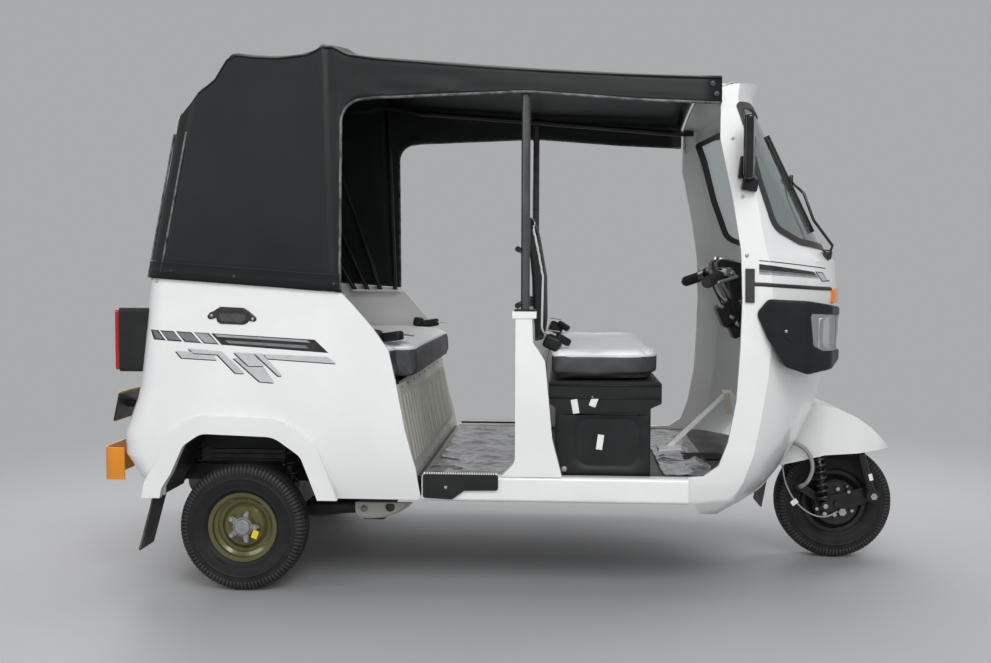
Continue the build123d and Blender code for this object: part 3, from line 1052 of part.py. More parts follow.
# ------------------------------------------------------------------ handlebar and instrument pod
GRIP_RADIUS = 17.0
GRIP_LENGTH = 118.0
BAR_RADIUS = 12.0
BAR_END = (FRONT_AXLE_X - 497, 332.0, 984.0)
BAR_BEND = (FRONT_AXLE_X - 421, 190.0, 1016.0)
SWITCH_RADIUS = 25.0
SWITCH_LENGTH = 34.0
HUB_RADIUS = 26.0
bar = tube([(BAR_END[0], -BAR_END[1], BAR_END[2]), (BAR_BEND[0], -BAR_BEND[1], BAR_BEND[2]),
            (BAR_BEND[0], BAR_BEND[1], BAR_BEND[2]), BAR_END], BAR_RADIUS, 40)
bar_end = Vector(*BAR_END)
grip_run = (bar_end - Vector(*BAR_BEND)).normalized()
grip = rod(bar_end - grip_run * GRIP_LENGTH, bar_end + grip_run * 4, GRIP_RADIUS)
switches = rod(bar_end - grip_run * (GRIP_LENGTH + SWITCH_LENGTH), bar_end - grip_run * GRIP_LENGTH, SWITCH_RADIUS)
lever = tube([(BAR_BEND[0] + 8, BAR_BEND[1] + 26, BAR_BEND[2] - 4), (BAR_BEND[0] + 44, BAR_BEND[1] + 46, 1006),
              (BAR_END[0] + 44, BAR_END[1] - 4, 986)], 5, 16)
hub = rod(on_steer(COLUMN_TOP_Z + SEAM), on_steer(COLUMN_TOP_Z + 46), HUB_RADIUS)
save("handlebar", bar + both(grip) + both(switches) + both(lever) + hub)

POD_HALF_WIDTH = 118.0
CONSOLE_SIDE = at(FRONT_AXLE_X, [(-437, 1052), (-421, 1066), (-351, 1052), (-309, 1012), (-309, 962), (-339, 922), (-377, 922), (-421, 1000)])
BAR_SLOT = at(FRONT_AXLE_X, [(-461, 990), (-431, 1030), (-399, 1030), (-399, 990)])
console = prism_y(CONSOLE_SIDE, -POD_HALF_WIDTH, POD_HALF_WIDTH, [8, 12, 30, 20, 30, 20, 20, 20])
console = console - rod(on_steer(860), on_steer(1100), HUB_RADIUS + SEAM) - prism_y(BAR_SLOT, -200, 200)
save("instrument_pod", console)

# ------------------------------------------------------------------ wheels
# half of the tyre's section, from the bead out to the tread: (in from the tyre's radius, y offset)
TYRE_HALF = [
    (100.1, 30.4), (90.9, 32.4), (90.9, 39), (76.5, 47), (50.5, TYRE_WIDTH / 2), (18.5, TYRE_WIDTH / 2 - 2),
    (5.5, TYRE_WIDTH / 2 - 10), (0, TYRE_WIDTH / 2 - 24),
]
tyre_outer = [(TYRE_RADIUS - r, y) for r, y in TYRE_HALF]
tyre_profile = tyre_outer + [(r, -y) for r, y in reversed(tyre_outer)]
HUB_BORE = AXLE_RADIUS + 0.05
HALF_RIM = RIM_FLANGE_WIDTH / 2


def rim_profile(hub_out, hub_in, drum_radius):
    """Rim, disc and hub as one section of (radius, y offset); the outer face is towards -y."""
    return [
        (RIM_FLANGE_RADIUS, -HALF_RIM), (RIM_FLANGE_RADIUS, -33), (102, -31), (101, -14), (90, -8),
        (90, 10), (101, 16), (102, 31), (RIM_FLANGE_RADIUS, 33), (RIM_FLANGE_RADIUS, HALF_RIM),
        (107, HALF_RIM), (98, 35), (97, 20), (86, 14), (86, 6),
        (drum_radius, 4), (drum_radius, hub_in), (HUB_BORE, hub_in), (HUB_BORE, -hub_out),
        (34, -hub_out), (40, -16), (62, -14), (74, -4), (86, -4), (86, -12), (97, -18), (98, -35), (107, -HALF_RIM),
    ]


DRUM_RADIUS = 80.0
save("tyre_front", turned(tyre_profile, FRONT_AXLE_X, 0, AXLE_Z))
front_rim = rim_profile(36, -LINK_Y[1] - BACKPLATE_THICK - MOVING_GAP, DRUM_RADIUS)
save("rim_front", mirrored(turned(front_rim, FRONT_AXLE_X, 0, AXLE_Z)))
rear_rim = rim_profile(34, REAR_WHEEL_Y + CARRIER_Y[0] - MOVING_GAP, DRUM_RADIUS)
rear_tyre = turned(tyre_profile, REAR_AXLE_X, -REAR_WHEEL_Y, AXLE_Z)
rear_rim_right = turned(rear_rim, REAR_AXLE_X, -REAR_WHEEL_Y, AXLE_Z)
save("tyre_rear_right", rear_tyre)
save("rim_rear_right", rear_rim_right)
save("tyre_rear_left", mirrored(rear_tyre))
save("rim_rear_left", mirrored(rear_rim_right))
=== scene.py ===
"""The looks of a three-wheeled auto rickshaw with a cloth hood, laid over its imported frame.

Metres. +X is forward, +Y is the vehicle's left, +Z is up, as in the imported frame.
"""
import math

import bmesh
import bpy
from mathutils import Euler, Matrix, Vector, noise
from mathutils.bvhtree import BVHTree


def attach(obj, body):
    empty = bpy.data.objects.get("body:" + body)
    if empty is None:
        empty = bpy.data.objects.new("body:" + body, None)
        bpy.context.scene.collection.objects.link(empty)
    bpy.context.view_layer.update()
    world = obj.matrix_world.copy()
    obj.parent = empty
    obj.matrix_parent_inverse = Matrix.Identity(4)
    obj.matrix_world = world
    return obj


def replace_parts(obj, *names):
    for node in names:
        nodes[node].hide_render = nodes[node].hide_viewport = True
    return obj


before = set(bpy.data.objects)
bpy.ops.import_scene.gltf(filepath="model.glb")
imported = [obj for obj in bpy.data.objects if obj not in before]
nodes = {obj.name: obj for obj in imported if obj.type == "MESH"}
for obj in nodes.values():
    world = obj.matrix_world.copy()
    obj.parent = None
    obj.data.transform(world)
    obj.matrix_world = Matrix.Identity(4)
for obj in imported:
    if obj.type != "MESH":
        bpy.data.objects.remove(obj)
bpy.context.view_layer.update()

# ---------------------------------------------------------------- camera, light and floor
# The vehicle stands on a pale grey studio floor under soft lamps, seen from its right side at the
# height of a seated eye. None of this is part of it.
CAMERA_PLACE = Vector((0.16, -4.065, 1.01))
CAMERA_PAN, CAMERA_TILT, CAMERA_ROLL = 0.0633, 0.0514, 0.0035
CAMERA_LENS = 40.5
STUDIO_COLOUR = (0.40, 0.404, 0.41, 1)
FLOOR_COLOUR = (0.37, 0.373, 0.378, 1)
# one row a lamp: place, what it points at, width and length, watts
LAMPS = [
    ((1.2, -4.4, 4.0), (0.1, 0, 0.8), 3.0, 2.2, 135),
    ((0.6, -5.4, 1.7), (0.1, 0, 0.7), 4.4, 1.8, 78),
    ((-3.4, -3.2, 2.6), (-0.5, 0, 0.8), 1.6, 2.4, 34),
    ((-0.2, 0.6, 4.6), (0, 0, 0.8), 4.0, 2.6, 125),
    ((3.8, 2.2, 2.8), (0.4, 0, 0.8), 1.8, 2.4, 70),
    ((-3.2, 3.4, 2.8), (-0.4, 0, 0.8), 2.2, 2.2, 48),
    ((0.5, 3.9, 2.3), (0.1, 0, 0.7), 3.0, 1.2, 62),
]

along_floor = math.cos(CAMERA_TILT)
ahead = Vector((-math.sin(CAMERA_PAN) * along_floor, math.cos(CAMERA_PAN) * along_floor, -math.sin(CAMERA_TILT)))
level = Vector((math.cos(CAMERA_PAN), math.sin(CAMERA_PAN), 0))
above = level.cross(ahead)
right = math.cos(CAMERA_ROLL) * level + math.sin(CAMERA_ROLL) * above
upward = math.cos(CAMERA_ROLL) * above - math.sin(CAMERA_ROLL) * level
camera = bpy.data.objects.new("camera", bpy.data.cameras.new("camera"))
bpy.context.scene.collection.objects.link(camera)
camera.data.sensor_width = 36
camera.data.lens = CAMERA_LENS
turn = Matrix((right, upward, -ahead)).transposed().to_4x4()
camera.matrix_world = Matrix.Translation(CAMERA_PLACE) @ turn
bpy.context.scene.camera = camera
bpy.context.scene.view_settings.view_transform = "Standard"

for i, (place, aim, width, length, watts) in enumerate(LAMPS):
    lamp = bpy.data.objects.new(f"lamp_{i}", bpy.data.lights.new(f"lamp_{i}", "AREA"))
    lamp.data.shape = "RECTANGLE"
    lamp.data.size, lamp.data.size_y, lamp.data.energy = width, length, watts
    lamp.location = place
    lamp.rotation_euler = (Vector(aim) - Vector(place)).to_track_quat("-Z", "Y").to_euler()
    lamp.visible_transmission = False
    # three of them would grey the black parts and burn out in the windscreen
    lamp.visible_glossy = i not in (1, 4, 6)
    bpy.context.scene.collection.objects.link(lamp)


def add(tree, kind, settings=None, **inputs):
    """A node with its settings; its inputs are set or linked by name, or as i0, i1 by place."""
    node = tree.nodes.new(kind)
    for name, value in (settings or {}).items():
        setattr(node, name, value)
    for name, value in inputs.items():
        by_place = name[0] == "i" and name[1:].isdigit()
        socket = node.inputs[int(name[1:])] if by_place else node.inputs[name.replace("_", " ")]
        if isinstance(value, bpy.types.NodeSocket):
            tree.links.new(value, socket)
        else:
            socket.default_value = value
    return node


world = bpy.data.worlds.new("studio")
bpy.context.scene.world = world
world.use_nodes = True
sky = world.node_tree
sky.nodes.clear()
path = add(sky, "ShaderNodeLightPath")
seen = add(
    sky, "ShaderNodeMath", {"operation": "MAXIMUM"}, i0=path.outputs["Is Camera Ray"],
    i1=path.outputs["Is Transmission Ray"],
)
seen = add(sky, "ShaderNodeMath", {"operation": "MAXIMUM"}, i0=seen.outputs[0], i1=path.outputs["Is Glossy Ray"])
soft = add(sky, "ShaderNodeBackground", Color=(0.9, 0.93, 1.0, 1), Strength=0.36)
pale = add(sky, "ShaderNodeBackground", Color=STUDIO_COLOUR, Strength=1.0)
mixed = add(sky, "ShaderNodeMixShader", i0=seen.outputs[0], i1=soft.outputs[0], i2=pale.outputs[0])
add(sky, "ShaderNodeOutputWorld", Surface=mixed.outputs[0])

floor_mesh = bpy.data.meshes.new("studio_floor")
floor_mesh.from_pydata([(-14, -9, -0.001), (14, -9, -0.001), (14, 16, -0.001), (-14, 16, -0.001)], [], [(0, 1, 2, 3)])
studio_floor = bpy.data.objects.new("studio_floor", floor_mesh)
bpy.context.scene.collection.objects.link(studio_floor)
floor_paint = bpy.data.materials.new("studio_floor")
floor_paint.use_nodes = True
floor_tree = floor_paint.node_tree
floor_shader = floor_tree.nodes["Principled BSDF"]
floor_shader.inputs["Roughness"].default_value = 0.5
floor_shader.inputs["Specular IOR Level"].default_value = 0.25
around = add(floor_tree, "ShaderNodeTexCoord").outputs["Object"]
speckle = add(floor_tree, "ShaderNodeTexNoise", Vector=around, Scale=3.0, Detail=3.0)
shade = add(
    floor_tree, "ShaderNodeMix", {"data_type": "RGBA"}, i0=speckle.outputs[0], i6=FLOOR_COLOUR,
    i7=[c * 0.94 for c in FLOOR_COLOUR],
)
floor_tree.links.new(shade.outputs[2], floor_shader.inputs["Base Color"])
# away from the vehicle the floor gives way to the studio's own colour
distance = add(floor_tree, "ShaderNodeVectorMath", {"operation": "LENGTH"}, i0=around)
away = add(
    floor_tree, "ShaderNodeMapRange", {"interpolation_type": "SMOOTHSTEP"}, Value=distance.outputs["Value"],
    From_Min=1.5, From_Max=4.2,
)
clear = add(floor_tree, "ShaderNodeBsdfTransparent")
edge = add(floor_tree, "ShaderNodeMixShader", i0=away.outputs[0], i1=floor_shader.outputs[0], i2=clear.outputs[0])
floor_tree.links.new(edge.outputs[0], floor_tree.nodes["Material Output"].inputs["Surface"])
floor_mesh.materials.append(floor_paint)

# ---------------------------------------------------------------- white painted steel panels
# The cowl, the tub, the sills and the centre pillars are pressed sheet steel, sprayed gloss
# white. A little road dust has settled on their lower edges.
WHITE = (0.80, 0.80, 0.785, 1)
WHITE_SHADE = (0.74, 0.745, 0.735, 1)
ROAD_DUST = (0.36, 0.33, 0.29, 1)
PANEL_CREASE = math.radians(28)


def new_group(name, ins, outs):
    """An empty shader group; ins are rows of name, kind and value, outs rows of name and kind."""
    tree = bpy.data.node_groups.new(name, "ShaderNodeTree")
    for title, kind, value in ins:
        tree.interface.new_socket(title, in_out="INPUT", socket_type=f"NodeSocket{kind}").default_value = value
    for title, kind in outs:
        tree.interface.new_socket(title, in_out="OUTPUT", socket_type=f"NodeSocket{kind}")
    return tree, tree.nodes.new("NodeGroupInput").outputs, tree.nodes.new("NodeGroupOutput").inputs


# patches: a finish that is a little uneven in colour and in gloss
patches, given, gives = new_group(
    "patches",
    [
        ("Colour", "Color", WHITE), ("Shade", "Color", WHITE_SHADE), ("Roughness", "Float", 0.4),
        ("Spread", "Float", 0.1), ("Scale", "Float", 6.0),
    ],
    [("Colour", "Color"), ("Roughness", "Float")],
)
here = add(patches, "ShaderNodeTexCoord").outputs["Object"]
blotch = add(patches, "ShaderNodeTexNoise", Vector=here, Scale=given["Scale"], Detail=5.0, Roughness=0.6)
share = add(patches, "ShaderNodeMapRange", Value=blotch.outputs[0], From_Min=0.35, From_Max=0.68)
tone = add(
    patches, "ShaderNodeMix", {"data_type": "RGBA"}, i0=share.outputs[0], i6=given["Colour"], i7=given["Shade"],
)
gloss = add(
    patches, "ShaderNodeMath", {"operation": "MULTIPLY_ADD"}, i0=share.outputs[0], i1=given["Spread"],
    i2=given["Roughness"],
)
patches.links.new(tone.outputs[2], gives["Colour"])
patches.links.new(gloss.outputs[0], gives["Roughness"])

# road dust: thin low down and in patches, none above its top
dust, given, gives = new_group(
    "road_dust",
    [("Colour", "Color", WHITE), ("Roughness", "Float", 0.4), ("Top", "Float", 0.6), ("Amount", "Float", 0.5)],
    [("Colour", "Color"), ("Roughness", "Float")],
)
here = add(dust, "ShaderNodeTexCoord").outputs["Object"]
height = add(dust, "ShaderNodeSeparateXYZ", Vector=here).outputs["Z"]
low = add(dust, "ShaderNodeMapRange", Value=height, From_Min=given["Top"], From_Max=0.05)
cloud = add(dust, "ShaderNodeTexNoise", Vector=here, Scale=9.0, Detail=8.0, Roughness=0.72)
thick = add(dust, "ShaderNodeMapRange", Value=cloud.outputs[0], From_Min=0.38, From_Max=0.72)
much = add(dust, "ShaderNodeMath", {"operation": "MULTIPLY"}, i0=low.outputs[0], i1=thick.outputs[0])
much = add(dust, "ShaderNodeMath", {"operation": "MULTIPLY"}, i0=much.outputs[0], i1=given["Amount"])
dusty = add(dust, "ShaderNodeMix", {"data_type": "RGBA"}, i0=much.outputs[0], i6=given["Colour"], i7=ROAD_DUST)
matt = add(dust, "ShaderNodeMix", i0=much.outputs[0], i2=given["Roughness"], i3=0.85)
dust.links.new(dusty.outputs[2], gives["Colour"])
dust.links.new(matt.outputs[0], gives["Roughness"])

# grain: the fine roughness of a surface as a normal
grain, given, gives = new_group(
    "grain", [("Scale", "Float", 200.0), ("Depth", "Float", 0.1), ("Height", "Float", 0.001)], [("Normal", "Vector")]
)
here = add(grain, "ShaderNodeTexCoord").outputs["Object"]
speck = add(grain, "ShaderNodeTexNoise", Vector=here, Scale=given["Scale"], Detail=3.0)
raised = add(grain, "ShaderNodeBump", Strength=given["Depth"], Distance=given["Height"], Height=speck.outputs[0])
grain.links.new(raised.outputs[0], gives["Normal"])


def finish(
    name, colour, shade, roughness, spread=0.08, scale=6.0, grain_scale=200.0, grain_depth=0.1, dust_top=0.0,
    dust_amount=0.0, grain_height=0.001, **sockets
):
    """A material with patches, road dust and grain; sockets are plain values of the shader's own."""
    material = bpy.data.materials.new(name)
    material.use_nodes = True
    tree = material.node_tree
    shader = tree.nodes["Principled BSDF"]
    for title, value in sockets.items():
        shader.inputs[title.replace("_", " ")].default_value = value
    colour, shade = ((*c[:3], 1) for c in (colour, shade))
    last = add(
        tree, "ShaderNodeGroup", {"node_tree": patches}, Colour=colour, Shade=shade, Roughness=roughness,
        Spread=spread, Scale=scale,
    )
    if dust_amount:
        last = add(
            tree, "ShaderNodeGroup", {"node_tree": dust}, Colour=last.outputs[0], Roughness=last.outputs[1],
            Top=dust_top, Amount=dust_amount,
        )
    tree.links.new(last.outputs[0], shader.inputs["Base Color"])
    tree.links.new(last.outputs[1], shader.inputs["Roughness"])
    bumps = add(
        tree, "ShaderNodeGroup", {"node_tree": grain}, Scale=grain_scale, Depth=grain_depth, Height=grain_height,
    )
    tree.links.new(bumps.outputs[0], shader.inputs["Normal"])
    return material


def geometry_tree(name, ins=()):
    """An empty Geometry Nodes tree; ins are rows of name, kind and value after its Geometry."""
    tree = bpy.data.node_groups.new(name, "GeometryNodeTree")
    tree.interface.new_socket("Geometry", in_out="INPUT", socket_type="NodeSocketGeometry")
    for title, kind, value in ins:
        socket = tree.interface.new_socket(title, in_out="INPUT", socket_type=f"NodeSocket{kind}")
        if value is not None:
            socket.default_value = value
    tree.interface.new_socket("Geometry", in_out="OUTPUT", socket_type="NodeSocketGeometry")
    return tree, tree.nodes.new("NodeGroupInput").outputs, tree.nodes.new("NodeGroupOutput").inputs


# pressed panels shade smooth across their shallow bends and stay crisp at their edges
smooth_tree, given, gives = geometry_tree("smooth_panels", [("Crease", "Float", PANEL_CREASE)])
bare = add(smooth_tree, "GeometryNodeRemoveAttribute", Geometry=given["Geometry"], Name="custom_normal")
merged = add(smooth_tree, "GeometryNodeMergeByDistance", Geometry=bare.outputs[0], Distance=0.00002)
angle = add(smooth_tree, "GeometryNodeInputMeshEdgeAngle")
shallow = add(
    smooth_tree, "FunctionNodeCompare", {"data_type": "FLOAT", "operation": "LESS_THAN"},
    i0=angle.outputs["Unsigned Angle"], i1=given["Crease"],
)
faces = add(
    smooth_tree, "GeometryNodeSetShadeSmooth", {"domain": "FACE"}, Geometry=merged.outputs[0], Shade_Smooth=True,
)
edges = add(
    smooth_tree, "GeometryNodeSetShadeSmooth", {"domain": "EDGE"}, Geometry=faces.outputs[0],
    Shade_Smooth=shallow.outputs[0],
)
smooth_tree.links.new(edges.outputs[0], gives["Geometry"])


def dress(material, *names, smooth=True):
    """Gives carried-over nodes their finish."""
    for name in names:
        node = nodes[name]
        for i in range(max(1, len(node.data.materials))):
            if len(node.data.materials) > i:
                node.data.materials[i] = material
            else:
                node.data.materials.append(material)
        if smooth:
            node.modifiers.new("smooth_panels", "NODES").node_group = smooth_tree


white_paint = finish(
    "white_paint", WHITE, WHITE_SHADE, 0.2, 0.05, 3.0, 900.0, 0.03, 0.5, 0.12, Coat_Weight=0.5, Coat_Roughness=0.08,
)
dress(white_paint, "front_cowl", "rear_tub", "sills", "centre_pillars")

# ---------------------------------------------------------------- cloth hood
# One cover of coated cloth is pulled over its bows and snapped to the tub, with a valance over the
# doorways. It sags between the bows, folds at its door edge, and is bound and hemmed with welt.
HOOD_VINYL = (0.0095, 0.0118, 0.0118, 1)
HOOD_VINYL_WORN = (0.0125, 0.015, 0.015, 1)
WELT_GREY = (0.16, 0.17, 0.17, 1)
# roof edge at the sides over the bows, x and z, from the foot of the rear wall to the cowl
HOOD_LINE = [
    (-1.176, 1.006), (-1.160, 1.096), (-1.142, 1.196), (-1.124, 1.297), (-1.106, 1.398), (-1.090, 1.486),
    (-1.069, 1.506),
    (-1.036, 1.533), (-0.996, 1.586), (-0.972, 1.604), (-0.942, 1.629), (-0.905, 1.690), (-0.876, 1.704),
    (-0.82, 1.697), (-0.745, 1.694),
    (-0.65, 1.704), (-0.604, 1.727), (-0.572, 1.727), (-0.525, 1.703), (-0.43, 1.689), (-0.24, 1.672),
    (-0.05, 1.657), (0.258, 1.638), (0.629, 1.6226),
]
HOOD_FOOT_LINE = [(-1.300, 1.006), (-1.176, 0.997), (-0.543, 0.953)]
VALANCE_LINE = [(-0.543, 1.551), (0.035, 1.572), (0.381, 1.545), (0.700, 1.529)]
FOOT_HALF, FOOT_Z = 0.642, 0.930     # half of the width at the foot, and the height it is taken at
WALL_LEAN, WALL_HIGH = 0.042, 0.776  # how far each side leans in, over what height
DOOR_X, DOOR_CORNER = -0.543, 0.07
REAR_CORNER = 0.092
SHOULDER, SHOULDER_DROP = 0.026, 0.7  # how far the shoulder reaches in, and its height as a share of that
CLOTH_THICK = 0.0025
CLOTH_INSET = 0.003                   # the cloth's middle lies this far inside its outline
REAR_WALL_X = -0.98                   # everything behind this is the rear wall
WINDOW = (0.330, 1.130, 1.400)       # half width, low and high
LOW_ROWS, HIGH_ROWS, ROOF_COLUMNS, STEPS = 22, 7, 36, 4


def along(line, x):
    """The z of a line of (x, z) points at an x."""
    for (x0, z0), (x1, z1) in zip(line, line[1:]):
        if x <= x1:
            return z0 + (z1 - z0) * max(0, (x - x0) / (x1 - x0))
    return line[-1][1]


def hood_half_width(z):
    """Half of the hood's width at a height."""
    return FOOT_HALF - WALL_LEAN * (z - FOOT_Z) / WALL_HIGH


def hood_rear_x(z):
    """The x of the rear wall at a height."""
    return -1.176 + 0.086 * (z - 1.006) / 0.482 if z < 1.488 else -1.090 + 0.056 * (z - 1.488) / 0.312


def round_rear(x, y, z):
    """Brings a point outside the rear corner's arc in to it."""
    half = hood_half_width(z) + 0.002
    cx, cy = hood_rear_x(z) + REAR_CORNER, half - REAR_CORNER
    if x < cx and abs(y) > cy:
        out = Vector((x - cx, abs(y) - cy))
        if out.length > REAR_CORNER:
            out = out.normalized() * REAR_CORNER
            return Vector((cx + out.x, math.copysign(cy + out.y, y), z))
    return Vector((x, y, z))


def side_point(x, z, side, proud=0.0):
    """A point of the hood's side wall; side is -1 on the right and 1 on the left."""
    drop = along(HOOD_LINE, x) - SHOULDER * SHOULDER_DROP
    wide = hood_half_width(drop + SHOULDER * SHOULDER_DROP)
    y = FOOT_HALF + (wide - FOOT_HALF) * (z - FOOT_Z) / (drop - FOOT_Z)
    return round_rear(x, side * (y + proud), z)


def smooth_line(line, steps):
    """Points of a rounded line through the given ones, with steps between each two."""
    found = []
    for i in range(len(line) - 1):
        a, b, c, d = (Vector(line[min(max(k, 0), len(line) - 1)]) for k in (i - 1, i, i + 1, i + 2))
        for s in range(steps):
            t = s / steps
            bend, twist = 2 * a - 5 * b + 4 * c - d, 3 * b - a - 3 * c + d
            found.append(0.5 * (2 * b + (c - a) * t + bend * t * t + twist * t ** 3))
    return found + [Vector(line[-1])]


def ridge(distance, width):
    """How high a fold stands at a distance from its line."""
    return math.exp(-(distance / width) ** 2)


def hood_folds(p):
    """How far the cloth stands in or out at a point: slack, drawn folds and creases."""
    out = 0.0025 * noise.noise(Vector((p.x * 3.1, p.y * 2.3, p.z * 3.7)))
    side = min(1, max(0, (abs(p.y) - 0.52) / 0.06))
    reach = (1.66 - p.z) / 0.7
    for at_top, at_foot, height, width in (
        (-0.605, -0.572, 0.004, 0.009), (-0.585, -0.560, -0.003, 0.008), (-0.640, -0.575, 0.002, 0.012),
        (-0.78, -0.60, 0.0015, 0.03),
    ):
        out += side * height * ridge(p.x - (at_top + (at_foot - at_top) * reach), width)
    if p.x > DOOR_X:
        hanging = side * min(1, max(0, (1.66 - p.z) / 0.08))
        fading = 0.35 + 0.65 * ridge(p.x + 0.38, 0.2)
        crease = noise.noise(Vector((p.x * 9.0, p.y, p.z * 34.0)))
        crease += 0.5 * noise.noise(Vector((p.x * 23.0, 3.0, p.z * 60.0)))
        out += hanging * fading * 0.008 * crease
    if abs(p.y) < 0.56 and p.x > -0.97:
        out -= 0.004 * abs(math.sin(p.y * 9.0)) * ridge((p.x + 0.2) % 0.5 - 0.25, 0.2)
    return out


hood = bmesh.new()
previous = None
for x, z_side in smooth_line(HOOD_LINE, STEPS):
    drop, half = z_side - SHOULDER * SHOULDER_DROP, hood_half_width(z_side)
    foot = min(along(HOOD_FOOT_LINE, x), drop - 0.0005)
    door = min(along(VALANCE_LINE, max(x, DOOR_X)), drop - 0.001)
    near = x - DOOR_X
    if 0 <= near < DOOR_CORNER:
        door -= DOOR_CORNER - math.sqrt(DOOR_CORNER ** 2 - (DOOR_CORNER - near) ** 2)
    mid = max(door, foot + 0.0002)
    wall = [foot + (mid - foot) * i / LOW_ROWS for i in range(LOW_ROWS)] if x <= DOOR_X + 0.004 else [None] * LOW_ROWS
    wall += [mid + (drop - mid) * i / HIGH_ROWS for i in range(HIGH_ROWS)]
    crown = 0.002 + 0.052 * min(1, (z_side - 1.0) / 0.5)
    row = []
    for side in (-1, 1):
        part = []
        for z in wall:
            if z is None:
                part.append(None)
                continue
            y = FOOT_HALF + (half - FOOT_HALF) * (z - FOOT_Z) / max(0.01, drop - FOOT_Z)
            part.append(Vector((x, side * y, z)))
        for turn in (0, 0.33, 0.67):
            lean = turn * math.pi / 2
            y, up = half - SHOULDER * (1 - math.cos(lean)), SHOULDER * SHOULDER_DROP * math.sin(lean)
            part.append(Vector((x, side * y, drop + up)))
        row.append(part)
    top = half - SHOULDER
    roof = [
        Vector((x, -top + 2 * top * i / ROOF_COLUMNS, z_side + crown * (1 - (1 - 2 * i / ROOF_COLUMNS) ** 2)))
        for i in range(ROOF_COLUMNS + 1)
    ]
    line = row[0] + roof + row[1][::-1]
    line = [None if p is None else hood.verts.new(round_rear(*p)) for p in line]
    if previous:
        for a, b, c, d in zip(previous, previous[1:], line[1:], line):
            if None not in (a, b, c, d):
                hood.faces.new((a, b, c, d))
    previous = line
bmesh.ops.remove_doubles(hood, verts=hood.verts, dist=0.0003)
bmesh.ops.recalc_face_normals(hood, faces=hood.faces)
half, low, high = WINDOW


def rear_faces(reach):
    """The faces of the rear wall out to this far from the middle."""
    middles = ((f, f.calc_center_median()) for f in hood.faces)
    return [f for f, middle in middles if middle.x < REAR_WALL_X and abs(middle.y) < reach]


for place, facing in (
    ((0, -half, 0), (0, 1, 0)), ((0, half, 0), (0, 1, 0)), ((0, 0, low), (0, 0, 1)), ((0, 0, high), (0, 0, 1)),
):
    rear = rear_faces(half + 0.1)
    cut = rear + list({e for f in rear for e in f.edges}) + list({v for f in rear for v in f.verts})
    bmesh.ops.bisect_plane(hood, geom=cut, plane_co=place, plane_no=facing, dist=0.00001)
pane = [f for f in rear_faces(half) if low < f.calc_center_median().z < high]
bmesh.ops.delete(hood, geom=pane, context="FACES")
hood.normal_update()
if sum(f.normal.z * f.calc_area() for f in hood.faces) < 0:
    bmesh.ops.reverse_faces(hood, faces=hood.faces)
hood.normal_update()
for v, move in [(v, v.normal * (hood_folds(v.co) - CLOTH_INSET)) for v in hood.verts]:
    v.co += move


def mesh_of(name, work, material, smooth=True):
    """The mesh of a bmesh, with its finish or finishes."""
    mesh = bpy.data.meshes.new(name)
    work.to_mesh(mesh)
    work.free()
    for one in material if isinstance(material, (list, tuple)) else [material]:
        mesh.materials.append(one)
    mesh.polygons.foreach_set("use_smooth", [smooth] * len(mesh.polygons))
    return mesh


def piece_of(name, mesh, body):
    """A mesh as a named piece that rides on a body."""
    piece = bpy.data.objects.new(name, mesh)
    bpy.context.scene.collection.objects.link(piece)
    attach(piece, body)
    return piece


def mesh_piece(name, work, material, body="body", smooth=True):
    """A bmesh as a named piece that rides on a body."""
    return piece_of(name, mesh_of(name, work, material, smooth), body)


def round_steps(count):
    """The cosine and sine of even steps round a circle."""
    return [(math.cos(2 * math.pi * k / count), math.sin(2 * math.pi * k / count)) for k in range(count)]


def skin(work, rings, ends=True, loop=False, index=0):
    """Faces between rings of as many points, with one over each end, all facing out."""
    made = []
    for one, two in zip(rings, rings[1:] + (rings[:1] if loop else [])):
        for i in range(len(one)):
            j = (i + 1) % len(one)
            made.append(work.faces.new((one[i], one[j], two[j], two[i])))
    if ends and not loop:
        made += [work.faces.new(rings[0]), work.faces.new(rings[-1])]
    for face in made:
        face.material_index = index
    bmesh.ops.recalc_face_normals(work, faces=work.faces)
    return made


hood_vinyl = finish("hood_vinyl", HOOD_VINYL, HOOD_VINYL_WORN, 0.38, 0.1, 4.0, 1400.0, 0.3, Specular_IOR_Level=0.25)
welt_grey = finish("welt_grey", WELT_GREY, HOOD_VINYL_WORN, 0.4, 0.1, 30.0, 1200.0, 0.3)
hood_cloth = mesh_piece("hood_cloth", hood, hood_vinyl)
wall = hood_cloth.modifiers.new("thickness", "SOLIDIFY")
wall.thickness, wall.offset = CLOTH_THICK, -1
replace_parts(hood_cloth, "hood")


def tube_piece(name, lines, radius, material, body="body", sides=8, closed=False):
    """Round welt or bar of one radius along lines of points, with flat ends, as one closed mesh."""
    work = bmesh.new()
    for line in lines:
        line = [Vector(p) for p in line]
        rings = []
        side = None
        for i, p in enumerate(line):
            before = line[i - 1 if closed or i else 0]
            after = line[(i + 1) % len(line) if closed or i + 1 < len(line) else i]
            ahead = (after - before).normalized()
            side = (side - ahead * side.dot(ahead)).normalized() if side else ahead.orthogonal().normalized()
            up = ahead.cross(side)
            width = radius[i] if isinstance(radius, (list, tuple)) else radius
            rings.append([work.verts.new(p + (side * c + up * s) * width) for c, s in round_steps(sides)])
        skin(work, rings, loop=closed)
    return mesh_piece(name, work, material, body)


def corner_point(a, z, side, proud):
    """A point of a rear corner's arc, from the side wall at 0 to the rear wall at a quarter turn."""
    x, half = hood_rear_x(z) + REAR_CORNER * (1 - math.sin(a)), hood_half_width(z) + proud
    return Vector((x, side * (half - REAR_CORNER * (1 - math.cos(a))), z))


